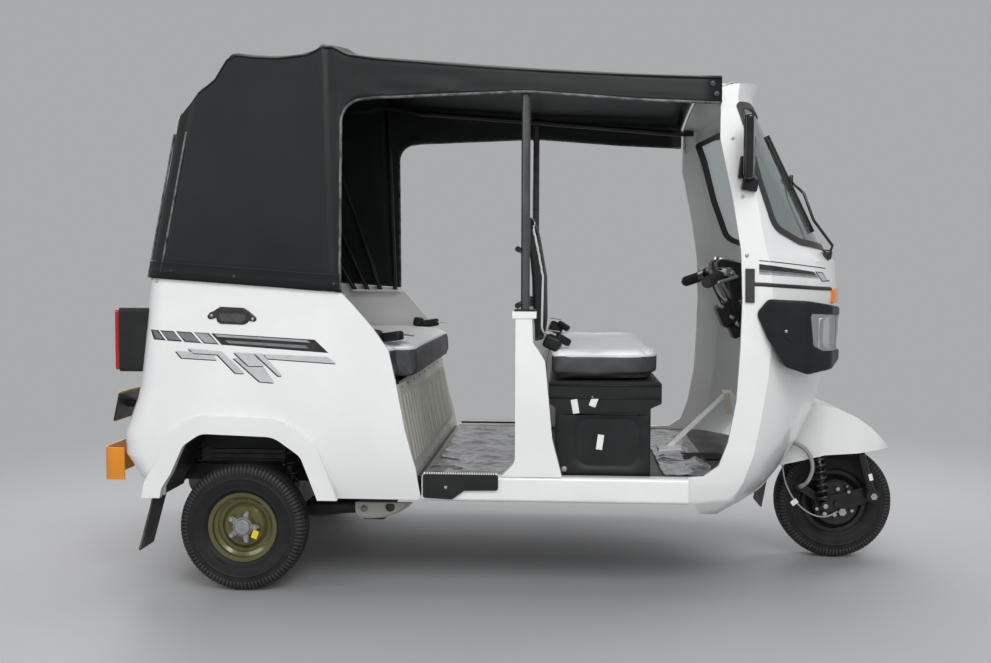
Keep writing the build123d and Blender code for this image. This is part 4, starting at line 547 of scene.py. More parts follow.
# binding round each doorway, welt along the shoulder and up the rear corners
shoulder_xs = [p.x for p in smooth_line(HOOD_LINE, STEPS) if p.x > -1.0]
bindings, welts, corner_welts = [], [], []
for side in (-1, 1):
    edge = [side_point(DOOR_X, 0.958 + 0.52 * k / 30, side) for k in range(30)]
    top_z = along(VALANCE_LINE, DOOR_X)
    edge += [
        side_point(DOOR_X + DOOR_CORNER * (1 - math.cos(a)), top_z - DOOR_CORNER * (1 - math.sin(a)), side)
        for a in (math.pi / 2 * k / 8 for k in range(9))
    ]
    edge += [
        side_point(x, along(VALANCE_LINE, x), side)
        for x in (DOOR_X + DOOR_CORNER + (0.627 - DOOR_X - DOOR_CORNER) * k / 40 for k in range(1, 41))
    ]
    bindings.append([p + Vector((0, side * (hood_folds(p) - CLOTH_INSET), 0)) for p in edge])
    welts.append([side_point(x, along(HOOD_LINE, x) - SHOULDER * 0.55, side, -0.002) for x in shoulder_xs])
    for reach in (0.2, 0.78):
        run = []
        for k in range(26):
            run.append(corner_point(math.pi / 2 * reach, 1.012 + 0.44 * k / 25, side, 0.001))
        corner_welts.append(run)
hood_binding = tube_piece("hood_binding", bindings, 0.0045, welt_grey)
hood_welt = tube_piece("hood_welt", welts, 0.003, hood_vinyl)
hood_corner_welt = tube_piece("hood_corner_welt", corner_welts, 0.0035, welt_grey)


HEM_PROUD = 0.0015


def hood_ring(z, share):
    """A point and its way out on the ring round the hood's foot, from the right door edge to the left."""
    half = hood_half_width(z) + HEM_PROUD
    runs = [
        DOOR_X - hood_rear_x(z) - REAR_CORNER, math.pi / 2 * REAR_CORNER, 2 * (half - REAR_CORNER),
        math.pi / 2 * REAR_CORNER,
    ]
    runs.append(runs[0])
    go = share * sum(runs)
    side = -1
    if share > 0.5:
        go, side = sum(runs) - go, 1
    if go <= runs[0]:
        return Vector((DOOR_X - go, side * half, z)), Vector((0, side, 0))
    go -= runs[0]
    if go <= runs[1]:
        a = go / REAR_CORNER
        return corner_point(a, z, side, HEM_PROUD), Vector((-math.sin(a), side * math.cos(a), 0))
    return Vector((hood_rear_x(z), side * (half - REAR_CORNER - (go - runs[1])), z)), Vector((-1, 0, 0))


# the doubled hem along the foot, with a bead at its upper edge
HEM_HEIGHT, HEM_STEPS = 0.052, 160
hem = bmesh.new()
rows = []
for k in range(HEM_STEPS + 1):
    share = k / HEM_STEPS
    flat_x = hood_ring(1.0, share)[0].x
    foot = along(HOOD_FOOT_LINE, flat_x)
    column = []
    for lift, proud in (
        (0, -0.001), (0, 0.0022), (0.5, 0.003), (0.94, 0.003), (1.0, 0.0045), (1.06, 0.001), (1.06, -0.001),
    ):
        p, out = hood_ring(foot + HEM_HEIGHT * lift, share)
        column.append(hem.verts.new(p + out * proud))
    rows.append(column)
skin(hem, rows)
hood_hem = mesh_piece("hood_hem", hem, hood_vinyl)

# snap fasteners at the hood's front edge and foot: nickel caps with a rolled rim
SNAP_RADIUS, SNAP_HEIGHT = 0.0075, 0.004
# x, z and size of each on both sides
SNAPS = [(0.600, 1.592, 1.0), (0.612, 1.560, 1.0), (-0.560, 0.978, 0.8), (-0.875, 1.000, 0.8), (-1.075, 1.018, 0.7)]
nickel = finish("nickel", (0.62, 0.62, 0.6), (0.5, 0.49, 0.47), 0.22, 0.12, 60.0, 800.0, 0.1, Metallic=1.0)


def cap_tree(name, radius, height):
    """Places a domed round cap on every point of a cloud, upright along the point's way out."""
    tree, given, gives = geometry_tree(
        name, [("Radius", "Float", radius), ("Height", "Float", height), ("Finish", "Material", None)],
    )
    rim = add(tree, "GeometryNodeMeshCylinder", Vertices=14, Radius=given["Radius"], Depth=given["Height"])
    dome = add(tree, "GeometryNodeMeshUVSphere", Segments=14, Rings=7, Radius=given["Radius"])
    squash = add(
        tree, "GeometryNodeTransform", Geometry=dome.outputs[0], Scale=(0.8, 0.8, 0.42),
        Translation=(0, 0, height * 0.35),
    )
    cap = add(tree, "GeometryNodeJoinGeometry")
    for part in (rim.outputs[0], squash.outputs[0]):
        tree.links.new(part, cap.inputs[0])
    out = add(tree, "GeometryNodeInputNamedAttribute", {"data_type": "FLOAT_VECTOR"}, Name="out")
    size = add(tree, "GeometryNodeInputNamedAttribute", {"data_type": "FLOAT"}, Name="size")
    facing = add(tree, "FunctionNodeAlignRotationToVector", {"axis": "Z"}, Vector=out.outputs[0])
    spread = add(
        tree, "GeometryNodeInstanceOnPoints", Points=given["Geometry"], Instance=cap.outputs[0],
        Rotation=facing.outputs[0], Scale=size.outputs[0],
    )
    real = add(tree, "GeometryNodeRealizeInstances", Geometry=spread.outputs[0])
    done = add(tree, "GeometryNodeSetMaterial", Geometry=real.outputs[0], Material=given["Finish"])
    tree.links.new(done.outputs[0], gives["Geometry"])
    return tree


def made_by(tree, name, mesh, material, **inputs):
    """The plain mesh that a tree makes of a mesh."""
    holder = bpy.data.objects.new(name + "_holder", mesh)
    bpy.context.scene.collection.objects.link(holder)
    made = holder.modifiers.new(name, "NODES")
    made.node_group = tree
    sockets = {
        s.name: s.identifier for s in tree.interface.items_tree if s.item_type == "SOCKET" and s.in_out == "INPUT"
    }
    for title, value in {"Finish": material, **inputs}.items():
        made[sockets[title]] = value
    result = bpy.data.meshes.new_from_object(holder.evaluated_get(bpy.context.evaluated_depsgraph_get()))
    bpy.data.objects.remove(holder)
    result.name = name
    return result


def caps(name, rows, radius, height, material, body="body"):
    """One piece of domed round caps on rows of place, way out and size."""
    cloud = bpy.data.meshes.new(name + "_points")
    cloud.from_pydata([p for p, _, _ in rows], [], [])
    ways = [c for _, out, _ in rows for c in Vector(out).normalized()]
    cloud.attributes.new("out", "FLOAT_VECTOR", "POINT").data.foreach_set("vector", ways)
    cloud.attributes.new("size", "FLOAT", "POINT").data.foreach_set("value", [size for _, _, size in rows])
    return piece_of(name, made_by(cap_tree(name, radius, height), name, cloud, material), body)


snap_black = finish("snap_black", (0.06, 0.06, 0.062), (0.10, 0.10, 0.10), 0.3, 0.12, 60.0, 800.0, 0.1, Metallic=0.6)
snap_rows = [(side_point(x, z, side, 0.002), (0, side, 0), size) for x, z, size in SNAPS for side in (-1, 1)]
hood_snaps = caps("hood_snaps", snap_rows, SNAP_RADIUS, SNAP_HEIGHT, snap_black)

# the rear window is a clear sheet sewn into the cloth behind a turned edge
window_glass = finish(
    "window_glass", (0.9, 0.95, 0.93), (0.88, 0.93, 0.92), 0.03, 0.02, 4.0, 60.0, 0.02, Transmission_Weight=1.0,
    IOR=1.45,
)
dress(window_glass, "rear_window")
half, low, high = WINDOW
frame_line = []
for c, s in round_steps(96):
    y = (half + 0.01) * max(-1, min(1, 1.35 * c))
    z = (low + high) / 2 + ((high - low) / 2 + 0.01) * max(-1, min(1, 1.35 * s))
    frame_line.append(Vector((hood_rear_x(z) - 0.001, y, z)))
window_edge = tube_piece("window_edge", [frame_line], 0.006, hood_vinyl, closed=True)

# ---------------------------------------------------------------- stripes on the tub and the cowl
# Printed vinyl film is stuck on the panels: a dark band of slanted cells with plain silver shapes
# under it, and a shorter bar on the cowl. No lettering is on it.
FILM_BLACK = (0.012, 0.012, 0.013, 1)
FILM_GREY = (0.19, 0.195, 0.2, 1)
FILM_PALE = (0.36, 0.37, 0.38, 1)
FILM_SILVER = (0.60, 0.61, 0.62, 1)
FILM_LIFT, LAYER_LIFT, FILM_THICK, FILM_CELL = 0.0005, 0.0004, 0.0003, 0.03 / 6
film_black = finish("film_black", FILM_BLACK, (0.03, 0.03, 0.03), 0.28, 0.06, 30.0, 900.0, 0.04)
film_grey = finish("film_grey", FILM_GREY, (0.13, 0.13, 0.14), 0.3, 0.08, 30.0, 900.0, 0.04)
film_pale = finish("film_pale", FILM_PALE, (0.27, 0.28, 0.29), 0.3, 0.08, 30.0, 900.0, 0.04)
film_silver = finish("film_silver", FILM_SILVER, (0.50, 0.51, 0.52), 0.26, 0.08, 30.0, 900.0, 0.04, Metallic=0.2)
# name, layer, film, and the (x, z) corners of the outline
TUB_FILM = [
    (
        "band", 0, film_black,
        [(-1.150, 0.832), (-0.955, 0.822), (-0.622, 0.804), (-0.578, 0.763), (-0.920, 0.786), (-1.136, 0.801)],
    ),
    ("cell_1", 1, film_grey, [(-1.142, 0.829), (-1.126, 0.828), (-1.102, 0.803), (-1.128, 0.805)]),
    ("cell_2", 1, film_grey, [(-1.110, 0.826), (-1.073, 0.825), (-1.045, 0.799), (-1.086, 0.802)]),
    ("cell_3", 1, film_grey, [(-1.059, 0.824), (-1.017, 0.823), (-0.984, 0.794), (-1.031, 0.797)]),
    ("cell_4", 1, film_pale, [(-1.002, 0.822), (-0.962, 0.820), (-0.930, 0.790), (-0.970, 0.793)]),
    ("gap_1", 1, white_paint, [(-1.121, 0.8315), (-1.115, 0.831), (-1.089, 0.799), (-1.096, 0.799)]),
    ("gap_2", 1, white_paint, [(-1.072, 0.829), (-1.064, 0.829), (-1.035, 0.794), (-1.043, 0.795)]),
    ("gap_3", 1, white_paint, [(-1.015, 0.826), (-1.007, 0.826), (-0.973, 0.790), (-0.982, 0.791)]),
    ("gap_4", 1, white_paint, [(-0.958, 0.823), (-0.951, 0.822), (-0.916, 0.785), (-0.924, 0.785)]),
    ("line", 1, film_pale, [(-0.939, 0.819), (-0.647, 0.802), (-0.635, 0.795), (-0.930, 0.811)]),
    ("bar", 1, film_grey, [(-0.905, 0.800), (-0.650, 0.786), (-0.640, 0.776), (-0.895, 0.791)]),
    (
        "hook_low", 1, film_silver,
        [(-1.063, 0.766), (-1.013, 0.763), (-1.006, 0.755), (-0.943, 0.752), (-0.930, 0.738), (-1.044, 0.744)],
    ),
    (
        "hook_top", 1, film_silver,
        [(-1.022, 0.774), (-0.916, 0.765), (-0.841, 0.696), (-0.872, 0.698), (-0.929, 0.755), (-1.008, 0.759)],
    ),
    ("square", 1, film_silver, [(-0.877, 0.763), (-0.817, 0.760), (-0.780, 0.720), (-0.831, 0.720)]),
    (
        "fall", 1, film_silver,
        [(-0.879, 0.745), (-0.866, 0.745), (-0.833, 0.7175), (-0.782, 0.7165), (-0.748, 0.668), (-0.795, 0.672)],
    ),
    ("thin", 1, film_silver, [(-0.814, 0.761), (-0.788, 0.759), (-0.723, 0.690), (-0.736, 0.690)]),
    ("arrow", 1, film_silver, [(-0.783, 0.758), (-0.582, 0.751), (-0.552, 0.730), (-0.772, 0.744)]),
]
# each silver shape has a dark edge that shows under it and to its rear
EDGE_SHIFT = (-0.0034, -0.0028)
for name, _, colour, outline in TUB_FILM[:]:
    if colour == film_silver:
        TUB_FILM.append((name + "_edge", 0, film_black, [(x + EDGE_SHIFT[0], z + EDGE_SHIFT[1]) for x, z in outline]))
COWL_FILM = [
    ("line", 0, film_black, [(0.750, 1.056), (1.004, 1.034), (1.004, 1.0310), (0.750, 1.053)]),
    ("bar", 0, film_black, [(0.750, 1.044), (0.948, 1.021), (0.962, 1.010), (0.750, 1.026)]),
    ("fade", 0, film_grey, [(0.750, 1.0255), (0.962, 1.0095), (0.968, 1.004), (0.750, 1.019)]),
    ("pale", 0, film_pale, [(0.750, 1.0185), (0.968, 1.0035), (0.973, 0.999), (0.750, 1.012)]),
    (
        "box", 0, film_black,
        [(0.954, 1.022), (0.990, 1.020), (1.011, 0.994), (1.026, 0.994), (1.026, 0.990), (0.986, 0.989)],
    ),
    ("box_face", 1, film_silver, [(0.961, 1.0190), (0.987, 1.0175), (1.008, 0.9930), (0.988, 0.9920)]),
]


def surface(mesh):
    """A tree of a mesh's faces, to lay things on."""
    return BVHTree.FromPolygons([v.co.copy() for v in mesh.vertices], [tuple(p.vertices) for p in mesh.polygons])


def surface_of(node):
    """The surface of a carried-over node."""
    return surface(nodes[node].data)


def first_on(ground, start, way):
    """Where a line from a point first meets a surface, and the surface's way out there."""
    way = Vector(way)
    hit, normal, _, _ = ground.ray_cast(Vector(start), way)
    return (hit, normal if normal.dot(way) < 0 else -normal) if hit else (None, None)


def on_side(ground, x, z, side):
    """The point of a surface that is seen at x and z from a side of the vehicle, and its way out."""
    return first_on(ground, (x, side * 0.9, z), (0, -side, 0))


def film(name, rows, ground, side):
    """Lays flat outlines on a side of the body from outside, as thin closed films of each finish."""
    work = bmesh.new()
    found = []
    for _, layer, colour, outline in rows:
        if colour not in found:
            found.append(colour)
        part = bmesh.new()
        part.faces.new([part.verts.new((x, 0, z)) for x, z in outline])
        for axis, way in ((0, (1, 0, 0)), (2, (0, 0, 1))):
            first, last = (f([c[axis // 2] for c in outline]) for f in (min, max))
            for k in range(1, int((last - first) / FILM_CELL) + 1):
                place = [0, 0, 0]
                place[axis] = first + k * FILM_CELL
                bmesh.ops.bisect_plane(
                    part, geom=part.verts[:] + part.edges[:] + part.faces[:], plane_co=place, plane_no=way,
                )
        bmesh.ops.triangulate(part, faces=part.faces)
        lower, upper = {}, {}
        lift = FILM_LIFT + layer * LAYER_LIFT
        for v in part.verts:
            hit, normal = on_side(ground, v.co.x, v.co.z, side)
            lower[v] = work.verts.new(hit + normal * (lift - FILM_THICK))
            upper[v] = work.verts.new(hit + normal * lift)
        for f in part.faces:
            for ring in ([upper[v] for v in f.verts], [lower[v] for v in reversed(f.verts)]):
                work.faces.new(ring).material_index = found.index(colour)
        for e in part.edges:
            if e.is_boundary:
                a, b = e.verts
                work.faces.new((upper[a], upper[b], lower[b], lower[a])).material_index = found.index(colour)
        part.free()
    bmesh.ops.recalc_face_normals(work, faces=work.faces)
    return mesh_piece(name, work, found, smooth=False)


HANDS = ((-1, "right"), (1, "left"))
tub_ground, cowl_ground = surface_of("rear_tub"), surface_of("front_cowl")
for side, hand in HANDS:
    film(f"tub_film_{hand}", TUB_FILM, tub_ground, side)
    film(f"cowl_film_{hand}", COWL_FILM, cowl_ground, side)

# ---------------------------------------------------------------- side markers, moulding and screws
# A small recessed marker in black plastic is screwed to each side of the tub by its two ears. A
# rubber moulding runs along the cowl under the screen, with a hinge cover at its rear end.
MARKER_FACE = [
    (-0.927, 0.898), (-0.846, 0.896), (-0.832, 0.886), (-0.834, 0.862), (-0.848, 0.853), (-0.918, 0.855),
    (-0.929, 0.864),
]
MARKER_PLATE = [
    (-0.962, 0.876), (-0.954, 0.887), (-0.943, 0.891), (-0.921, 0.905), (-0.847, 0.902), (-0.827, 0.890),
    (-0.807, 0.872), (-0.806, 0.864), (-0.813, 0.859), (-0.829, 0.862), (-0.836, 0.854), (-0.848, 0.849),
    (-0.921, 0.852), (-0.931, 0.859), (-0.934, 0.873), (-0.943, 0.868), (-0.955, 0.866), (-0.961, 0.870),
]
MARKER_WELL = [
    (-0.922, 0.886), (-0.850, 0.884), (-0.840, 0.876), (-0.841, 0.863), (-0.852, 0.857), (-0.912, 0.859),
    (-0.922, 0.867),
]
MARKER_PROUD = 0.007
marker_black = finish("marker_black", (0.018, 0.018, 0.019), (0.03, 0.03, 0.03), 0.3, 0.1, 40.0, 1500.0, 0.2)
marker_lens = finish("marker_lens", (0.05, 0.052, 0.055), (0.08, 0.08, 0.085), 0.16, 0.05, 40.0, 1500.0, 0.05)


def drawn_in(outline, draw):
    """An outline of (x, z) points drawn in towards its middle."""
    cx, cz = (sum(point[i] for point in outline) / len(outline) for i in (0, 1))
    return [(cx + (x - cx) * draw, cz + (z - cz) * draw) for x, z in outline]


def side_slab(work, outline, ground, side, low, high, index=0):
    """A slab with a small chamfer on a side of the body, between two heights over its surface."""
    rings = []
    for height, draw in ((low, 1), (high - 0.0015, 1), (high, 0.94)):
        points = (on_side(ground, x, z, side)[0] for x, z in drawn_in(outline, draw))
        rings.append([work.verts.new(p + Vector((0, side * height, 0))) for p in points])
    skin(work, rings, index=index)


for side, hand in HANDS:
    marker = bmesh.new()
    side_slab(marker, MARKER_PLATE, tub_ground, side, -0.001, 0.004)
    side_slab(marker, MARKER_FACE, tub_ground, side, 0.001, MARKER_PROUD)
    side_slab(marker, MARKER_WELL, tub_ground, side, 0.002, MARKER_PROUD + 0.0015, index=1)
    mesh_piece(f"side_marker_{hand}", marker, [marker_black, marker_lens], smooth=False)

# pan-head screws of the markers, the cowl's edge, the seat base and the sills
SCREW_RADIUS, SCREW_HEIGHT = 0.0058, 0.0036
# x, z, size and height over the panel of each on both sides, by the node it is in
PANEL_SCREWS = [
    ("rear_tub", -0.948, 0.8775, 0.8, 0.004), ("rear_tub", -0.817, 0.8675, 0.8, 0.004),
    ("rear_tub", -1.128, 0.985, 0.9, 0.001),
    ("front_cowl", 0.668, 1.430, 1.0, 0.001), ("front_cowl", 0.698, 1.251, 1.0, 0.001),
    ("front_cowl", 0.712, 1.070, 1.0, 0.001),
    ("driver_seat_base", 0.157, 0.398, 1.5, 0.009), ("step_panels", -0.211, 0.346, 0.9, 0.001),
]
screw_rows = []
for name, x, z, size, over in PANEL_SCREWS:
    ground = surface_of(name)
    for side in (-1, 1):
        hit, out = on_side(ground, x, z, side)
        screw_rows.append((hit + Vector((0, side * over, 0)), out, size))


def screws(name, rows, body="body", material=nickel):
    """One piece of screw heads on rows of place, way out and size."""
    return caps(name, rows, SCREW_RADIUS, SCREW_HEIGHT, material, body)


screws("panel_screws", screw_rows)

# black rubber moulding with a rolled face, and the hinge cover
MOULDING = [
    (0.735, 0.982), (0.762, 0.981), (0.80, 0.9785), (0.85, 0.9755), (0.90, 0.9725), (0.94, 0.970), (0.975, 0.968),
    (1.005, 0.9665), (1.03, 0.965),
]
HINGE_COVER = [(0.708, 1.030), (0.736, 1.029), (0.737, 0.925), (0.709, 0.925)]
black_rubber = finish(
    "black_rubber", (0.022, 0.022, 0.023), (0.04, 0.04, 0.038), 0.5, 0.15, 14.0, 900.0, 0.2, 0.5, 0.5,
)
lines = [[on_side(cowl_ground, x, z, side)[0] for x, z in smooth_line(MOULDING, 5)] for side in (-1, 1)]
tube_piece("cowl_moulding", lines, 0.0062, black_rubber)
cover = bmesh.new()
for side in (-1, 1):
    side_slab(cover, HINGE_COVER, cowl_ground, side, -0.001, 0.008)
mesh_piece("hinge_cover", cover, black_rubber, smooth=False)


# ---------------------------------------------------------------- bench and driver's seat
# Foam cushions under vinyl: a pale top panel is sewn to a charcoal border with a piped seam, and
# the backrests are charcoal all over. The foam swells the cover a little between its edges.
SEAT_PALE = (0.82, 0.82, 0.83, 1)
SEAT_PALE_WORN = (0.76, 0.76, 0.77, 1)
SEAT_DARK = (0.042, 0.043, 0.046, 1)
BACK_BLACK = (0.007, 0.0075, 0.008, 1)
SEAT_PRESSURE = 4.0
SIM_FRAMES = 20
PIPING_RADIUS = 0.0042
PAD_FRONT_CORNER, PAD_REAR_CORNER = 0.125, 0.03
# node, voxel, inset before it swells, most that a point travels, fill, seam's height (None for plain)
CUSHIONS = [
    ("bench_cushion", 0.0085, 0.008, 0.016, 0.8, 0.768), ("driver_cushion", 0.0075, 0.006, 0.012, 0.9, 0.7515),
    ("bench_backrest", 0.0085, 0.007, 0.014, 0.7, None), ("driver_backrest", 0.0060, 0.004, 0.009, 0.7, None),
]

above_seam, given, gives = new_group("above_seam", [("Seam", "Float", 0.7)], [("Mask", "Float")])
here = add(above_seam, "ShaderNodeTexCoord").outputs["Object"]
height = add(above_seam, "ShaderNodeSeparateXYZ", Vector=here).outputs["Z"]
past = add(above_seam, "ShaderNodeMath", {"operation": "SUBTRACT"}, i0=height, i1=given["Seam"])
mask = add(above_seam, "ShaderNodeMapRange", Value=past.outputs[0], From_Min=-0.0006, From_Max=0.0006)
above_seam.links.new(mask.outputs[0], gives["Mask"])


def seat_vinyl(name, seam, dark_colour):
    """Grained charcoal vinyl, pale above the seam where there is one."""
    material = finish(
        name, dark_colour, [min(1, c * 1.35) for c in dark_colour[:3]], 0.46, 0.1, 7.0, 950.0, 0.28,
        Specular_IOR_Level=0.35,
    )
    if seam:
        tree = material.node_tree
        shader = tree.nodes["Principled BSDF"]
        dark = shader.inputs["Base Color"].links[0].from_socket
        pale = add(
            tree, "ShaderNodeGroup", {"node_tree": patches}, Colour=SEAT_PALE, Shade=SEAT_PALE_WORN, Roughness=0.4,
            Spread=0.1, Scale=5.0,
        )
        where = add(tree, "ShaderNodeGroup", {"node_tree": above_seam}, Seam=seam)
        both = add(tree, "ShaderNodeMix", {"data_type": "RGBA"}, i0=where.outputs[0], i6=dark, i7=pale.outputs[0])
        tree.links.new(both.outputs[2], shader.inputs["Base Color"])
    return material


def swollen(name, source, voxel, inset, cap, material, seam):
    """A cushion swollen from its plain solid by a cloth simulation, held flat where it rests."""
    mesh = nodes[source].data.copy()
    low, high = ([f(v.co[i] for v in mesh.vertices) for i in range(3)] for f in (min, max))
    middle = [(a + b) / 2 for a, b in zip(low, high)]
    for v in mesh.vertices:
        v.co = Vector([m + (c - m) * (1 - 2 * inset / (b - a)) for c, m, a, b in zip(v.co, middle, low, high)])
    pad = bpy.data.objects.new(name, mesh)
    bpy.context.scene.collection.objects.link(pad)
    remesh = pad.modifiers.new("voxels", "REMESH")
    remesh.mode, remesh.voxel_size = "VOXEL", voxel * 1
    shape = bpy.data.meshes.new_from_object(pad.evaluated_get(bpy.context.evaluated_depsgraph_get()))
    pad.modifiers.clear()
    pad.data = shape
    shape.name = name
    if seam:
        # the front corners are round in plan, the rear ones only a little
        for v in shape.vertices:
            corner = PAD_FRONT_CORNER if v.co.x > middle[0] else PAD_REAR_CORNER
            a = abs(v.co.x - middle[0]) - (high[0] - low[0]) / 2 + inset + corner
            b = abs(v.co.y - middle[1]) - (high[1] - low[1]) / 2 + inset + corner
            if a > 0 and b > 0:
                draw = 1 - max(a, b) / math.hypot(a, b)
                v.co -= Vector(
                    (math.copysign(a * draw, v.co.x - middle[0]), math.copysign(b * draw, v.co.y - middle[1]), 0)
                )
    before = [v.co.copy() for v in shape.vertices]
    rest = pad.vertex_groups.new(name="rest")
    lean = source.endswith("backrest")
    for v in shape.vertices:
        far = (
            v.co.x - low[0] - inset - 0.03 * (high[2] - v.co.z) / (high[2] - low[2])
        ) if lean else (v.co.z - low[2] - inset)
        if far < 0.006:
            rest.add([v.index], 1.0, "REPLACE")
    cloth = pad.modifiers.new("swell", "CLOTH")
    rules = cloth.settings
    rules.quality, rules.mass = 6, 0.25
    rules.tension_stiffness = rules.compression_stiffness = 12
    rules.shear_stiffness, rules.bending_stiffness = 6, 0.8
    rules.use_pressure, rules.uniform_pressure_force = True, SEAT_PRESSURE
    rules.effector_weights.gravity = 0
    rules.vertex_group_mass = "rest"
    cloth.collision_settings.use_collision = False
    cloth.point_cache.frame_start, cloth.point_cache.frame_end = 1, SIM_FRAMES
    for step in range(1, SIM_FRAMES + 1):
        bpy.context.scene.frame_set(step)
    after = pad.evaluated_get(bpy.context.evaluated_depsgraph_get()).data
    for v, was, moved in zip(shape.vertices, before, after.vertices):
        way = moved.co - was
        far = way.length
        if far > 0:
            v.co = was + way / far * cap * (1 - math.exp(-far / cap))
    pad.modifiers.clear()
    bpy.context.scene.frame_set(1)
    for v in shape.vertices:
        if seam:
            nip = 0.0028 * math.exp(-(((v.co.z - seam) / 0.0045) ** 2))
            wave = math.sin(v.co.y * 160 + 2 * noise.noise(v.co * 22))
            gather = 0.0012 * wave * math.exp(-(((v.co.z - seam + 0.012) / 0.012) ** 2))
            v.co -= Vector((v.co.x - middle[0], v.co.y - middle[1], 0)).normalized() * (nip + max(0, gather))
        v.co += Vector((0, 0, 1) if not source.endswith("backrest") else (1, 0, 0)) * 0.0016 * noise.noise(v.co * 9)
    shape.materials.clear()
    shape.materials.append(material)
    shape.polygons.foreach_set("use_smooth", [True] * len(shape.polygons))
    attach(pad, "body")
    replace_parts(pad, source)
    return pad


def border_line(pad, low, high, z, inner, count):
    """Points on a cushion's border at a height, found from outside."""
    ground = surface(pad.data)
    (x0, y0), (x1, y1) = (low[0] + inner, low[1] + inner), (high[0] - inner, high[1] - inner)
    corners = [Vector((x0, y0)), Vector((x1, y0)), Vector((x1, y1)), Vector((x0, y1))]
    line = []
    for k in range(4):
        a, b = corners[k], corners[(k + 1) % 4]
        steps = max(2, round((b - a).length / count))
        along_side = [a.lerp(b, i / steps) for i in range(steps + 1)]
        normal = Vector(((b - a).y, -(b - a).x)).normalized()
        line += [(p, normal) for p in along_side]
        turn_to = Vector(((corners[(k + 2) % 4] - b).y, -(corners[(k + 2) % 4] - b).x)).normalized()
        line += [(b, normal.lerp(turn_to, s).normalized()) for s in (0.25, 0.5, 0.75)]
    found = []
    for p, out in line:
        hit, _ = first_on(ground, (p.x + out.x * 0.4, p.y + out.y * 0.4, z), (-out.x, -out.y, 0))
        if hit and (not found or (hit - found[-1]).length > 0.003):
            found.append(hit)
    return found


piping_pale = finish("piping_pale", (0.66, 0.66, 0.67), (0.6, 0.6, 0.6), 0.35, 0.08, 30.0, 900.0, 0.1)
pads = {}
for source, voxel, inset, cap, fill, seam in CUSHIONS:
    vinyl = seat_vinyl(source + "_vinyl", seam, BACK_BLACK if source.endswith("backrest") else SEAT_DARK)
    pads[source] = swollen(source.replace("_", "_seat_", 1) + "_pad", source, voxel, inset, cap, vinyl, seam)
    low, high = ([f(v.co[i] for v in nodes[source].data.vertices) for i in range(3)] for f in (min, max))
    if seam:
        line = border_line(pads[source], low, high, seam, 0.10, 0.02)
    else:
        # the backrest's piping runs round its face, near the front edge
        ground, line = surface(pads[source].data), []
        for c, s in round_steps(120):
            y = (high[1] - 0.012) * max(-1, min(1, 1.3 * c))
            z = (low[2] + high[2]) / 2 + ((high[2] - low[2]) / 2 - 0.014) * max(-1, min(1, 1.3 * s))
            hit, _ = first_on(ground, (high[0] + 0.3, y, z), (-1, 0, 0))
            if hit and (not line or (hit - line[-1]).length > 0.004):
                line.append(hit)
    tube_piece(source + "_piping", [line], PIPING_RADIUS, piping_pale, closed=True, sides=7)

# ---------------------------------------------------------------- driver's seat base
# Moulded black box under the seat: a ridge stands round each side panel, two more run under the
# rim, and blank paper labels are still stuck on the right side.
BASE_PANEL = (0.194, 0.392, 0.410, 0.556)
BASE_CORNER = 0.040
BASE_SIDE_Y = 0.5605
black_plastic = finish(
    "black_plastic", (0.013, 0.0137, 0.014), (0.019, 0.0195, 0.02), 0.40, 0.12, 9.0, 1600.0, 0.25,
    Specular_IOR_Level=0.28,
)
dress(black_plastic, "driver_seat_base")
paper = finish("paper_label", (0.78, 0.78, 0.76), (0.72, 0.72, 0.7), 0.6, 0.1, 60.0)


def rounded(x0, x1, z0, z1, radius, steps=6):
    """The outline of a rounded rectangle as (x, z) points."""
    points = []
    for cx, cz, start in (
        (x1 - radius, z1 - radius, 0), (x0 + radius, z1 - radius, 90), (x0 + radius, z0 + radius, 180),
        (x1 - radius, z0 + radius, 270),
    ):
        for i in range(steps + 1):
            a = math.radians(start + 90 * i / steps)
            points.append((cx + radius * math.cos(a), cz + radius * math.sin(a)))
    return points


def recessed_side(work, outer, inner, side, y, proud, slope):
    """A raised border between two outlines of as many points, sloping down to the inner one."""
    cx, cz = (sum(point[i] for point in inner) / len(inner) for i in (0, 1))
    rings = []
    for outline, height, draw in (
        (outer, 0.0, 1.0), (outer, proud * 0.8, 1.0), (outer, proud, 0.985), (inner, proud, 1 + slope),
        (inner, proud * 0.8, 1 + slope * 0.6), (inner, proud * 0.25, 1 + slope * 0.15), (inner, -0.001, 1.0),
    ):
        points = [(cx + (x - cx) * draw, cz + (z - cz) * draw) for x, z in outline]
        rings.append([work.verts.new((x, side * (y + height), z)) for x, z in points])
    skin(work, rings, ends=False)


borders = bmesh.new()
for side in (-1, 1):
    recessed_side(
        borders, rounded(0.131, 0.424, 0.377, 0.570, 0.014), rounded(*BASE_PANEL, BASE_CORNER), side, BASE_SIDE_Y,
        0.008, 0.26,
    )
mesh_piece("seat_base_borders", borders, black_plastic)
bands = [[(x, side * BASE_SIDE_Y, z) for x in (0.112, 0.28, 0.456)] for side in (-1, 1) for z in (0.662, 0.622)]
tube_piece("seat_base_bands", bands, 0.0032, black_plastic, sides=6)
base_ground = surface_of("driver_seat_base")
labels = bmesh.new()
# middle x and z, width, height and turn of each label
for x, z, wide, high, lean in (
    (0.190, 0.594, 0.021, 0.046, 10), (0.248, 0.609, 0.022, 0.030, -20), (0.269, 0.482, 0.020, 0.048, -8),
):
    c, s = math.cos(math.radians(lean)), math.sin(math.radians(lean))
    corners = ((-wide / 2, -high / 2), (wide / 2, -high / 2), (wide / 2, high / 2), (-wide / 2, high / 2))
    outline = [(x + u * c - w * s, z + u * s + w * c) for u, w in corners]
    side_slab(labels, outline, base_ground, -1, 0.0004, 0.0024)
mesh_piece("paper_labels", labels, paper, smooth=False)

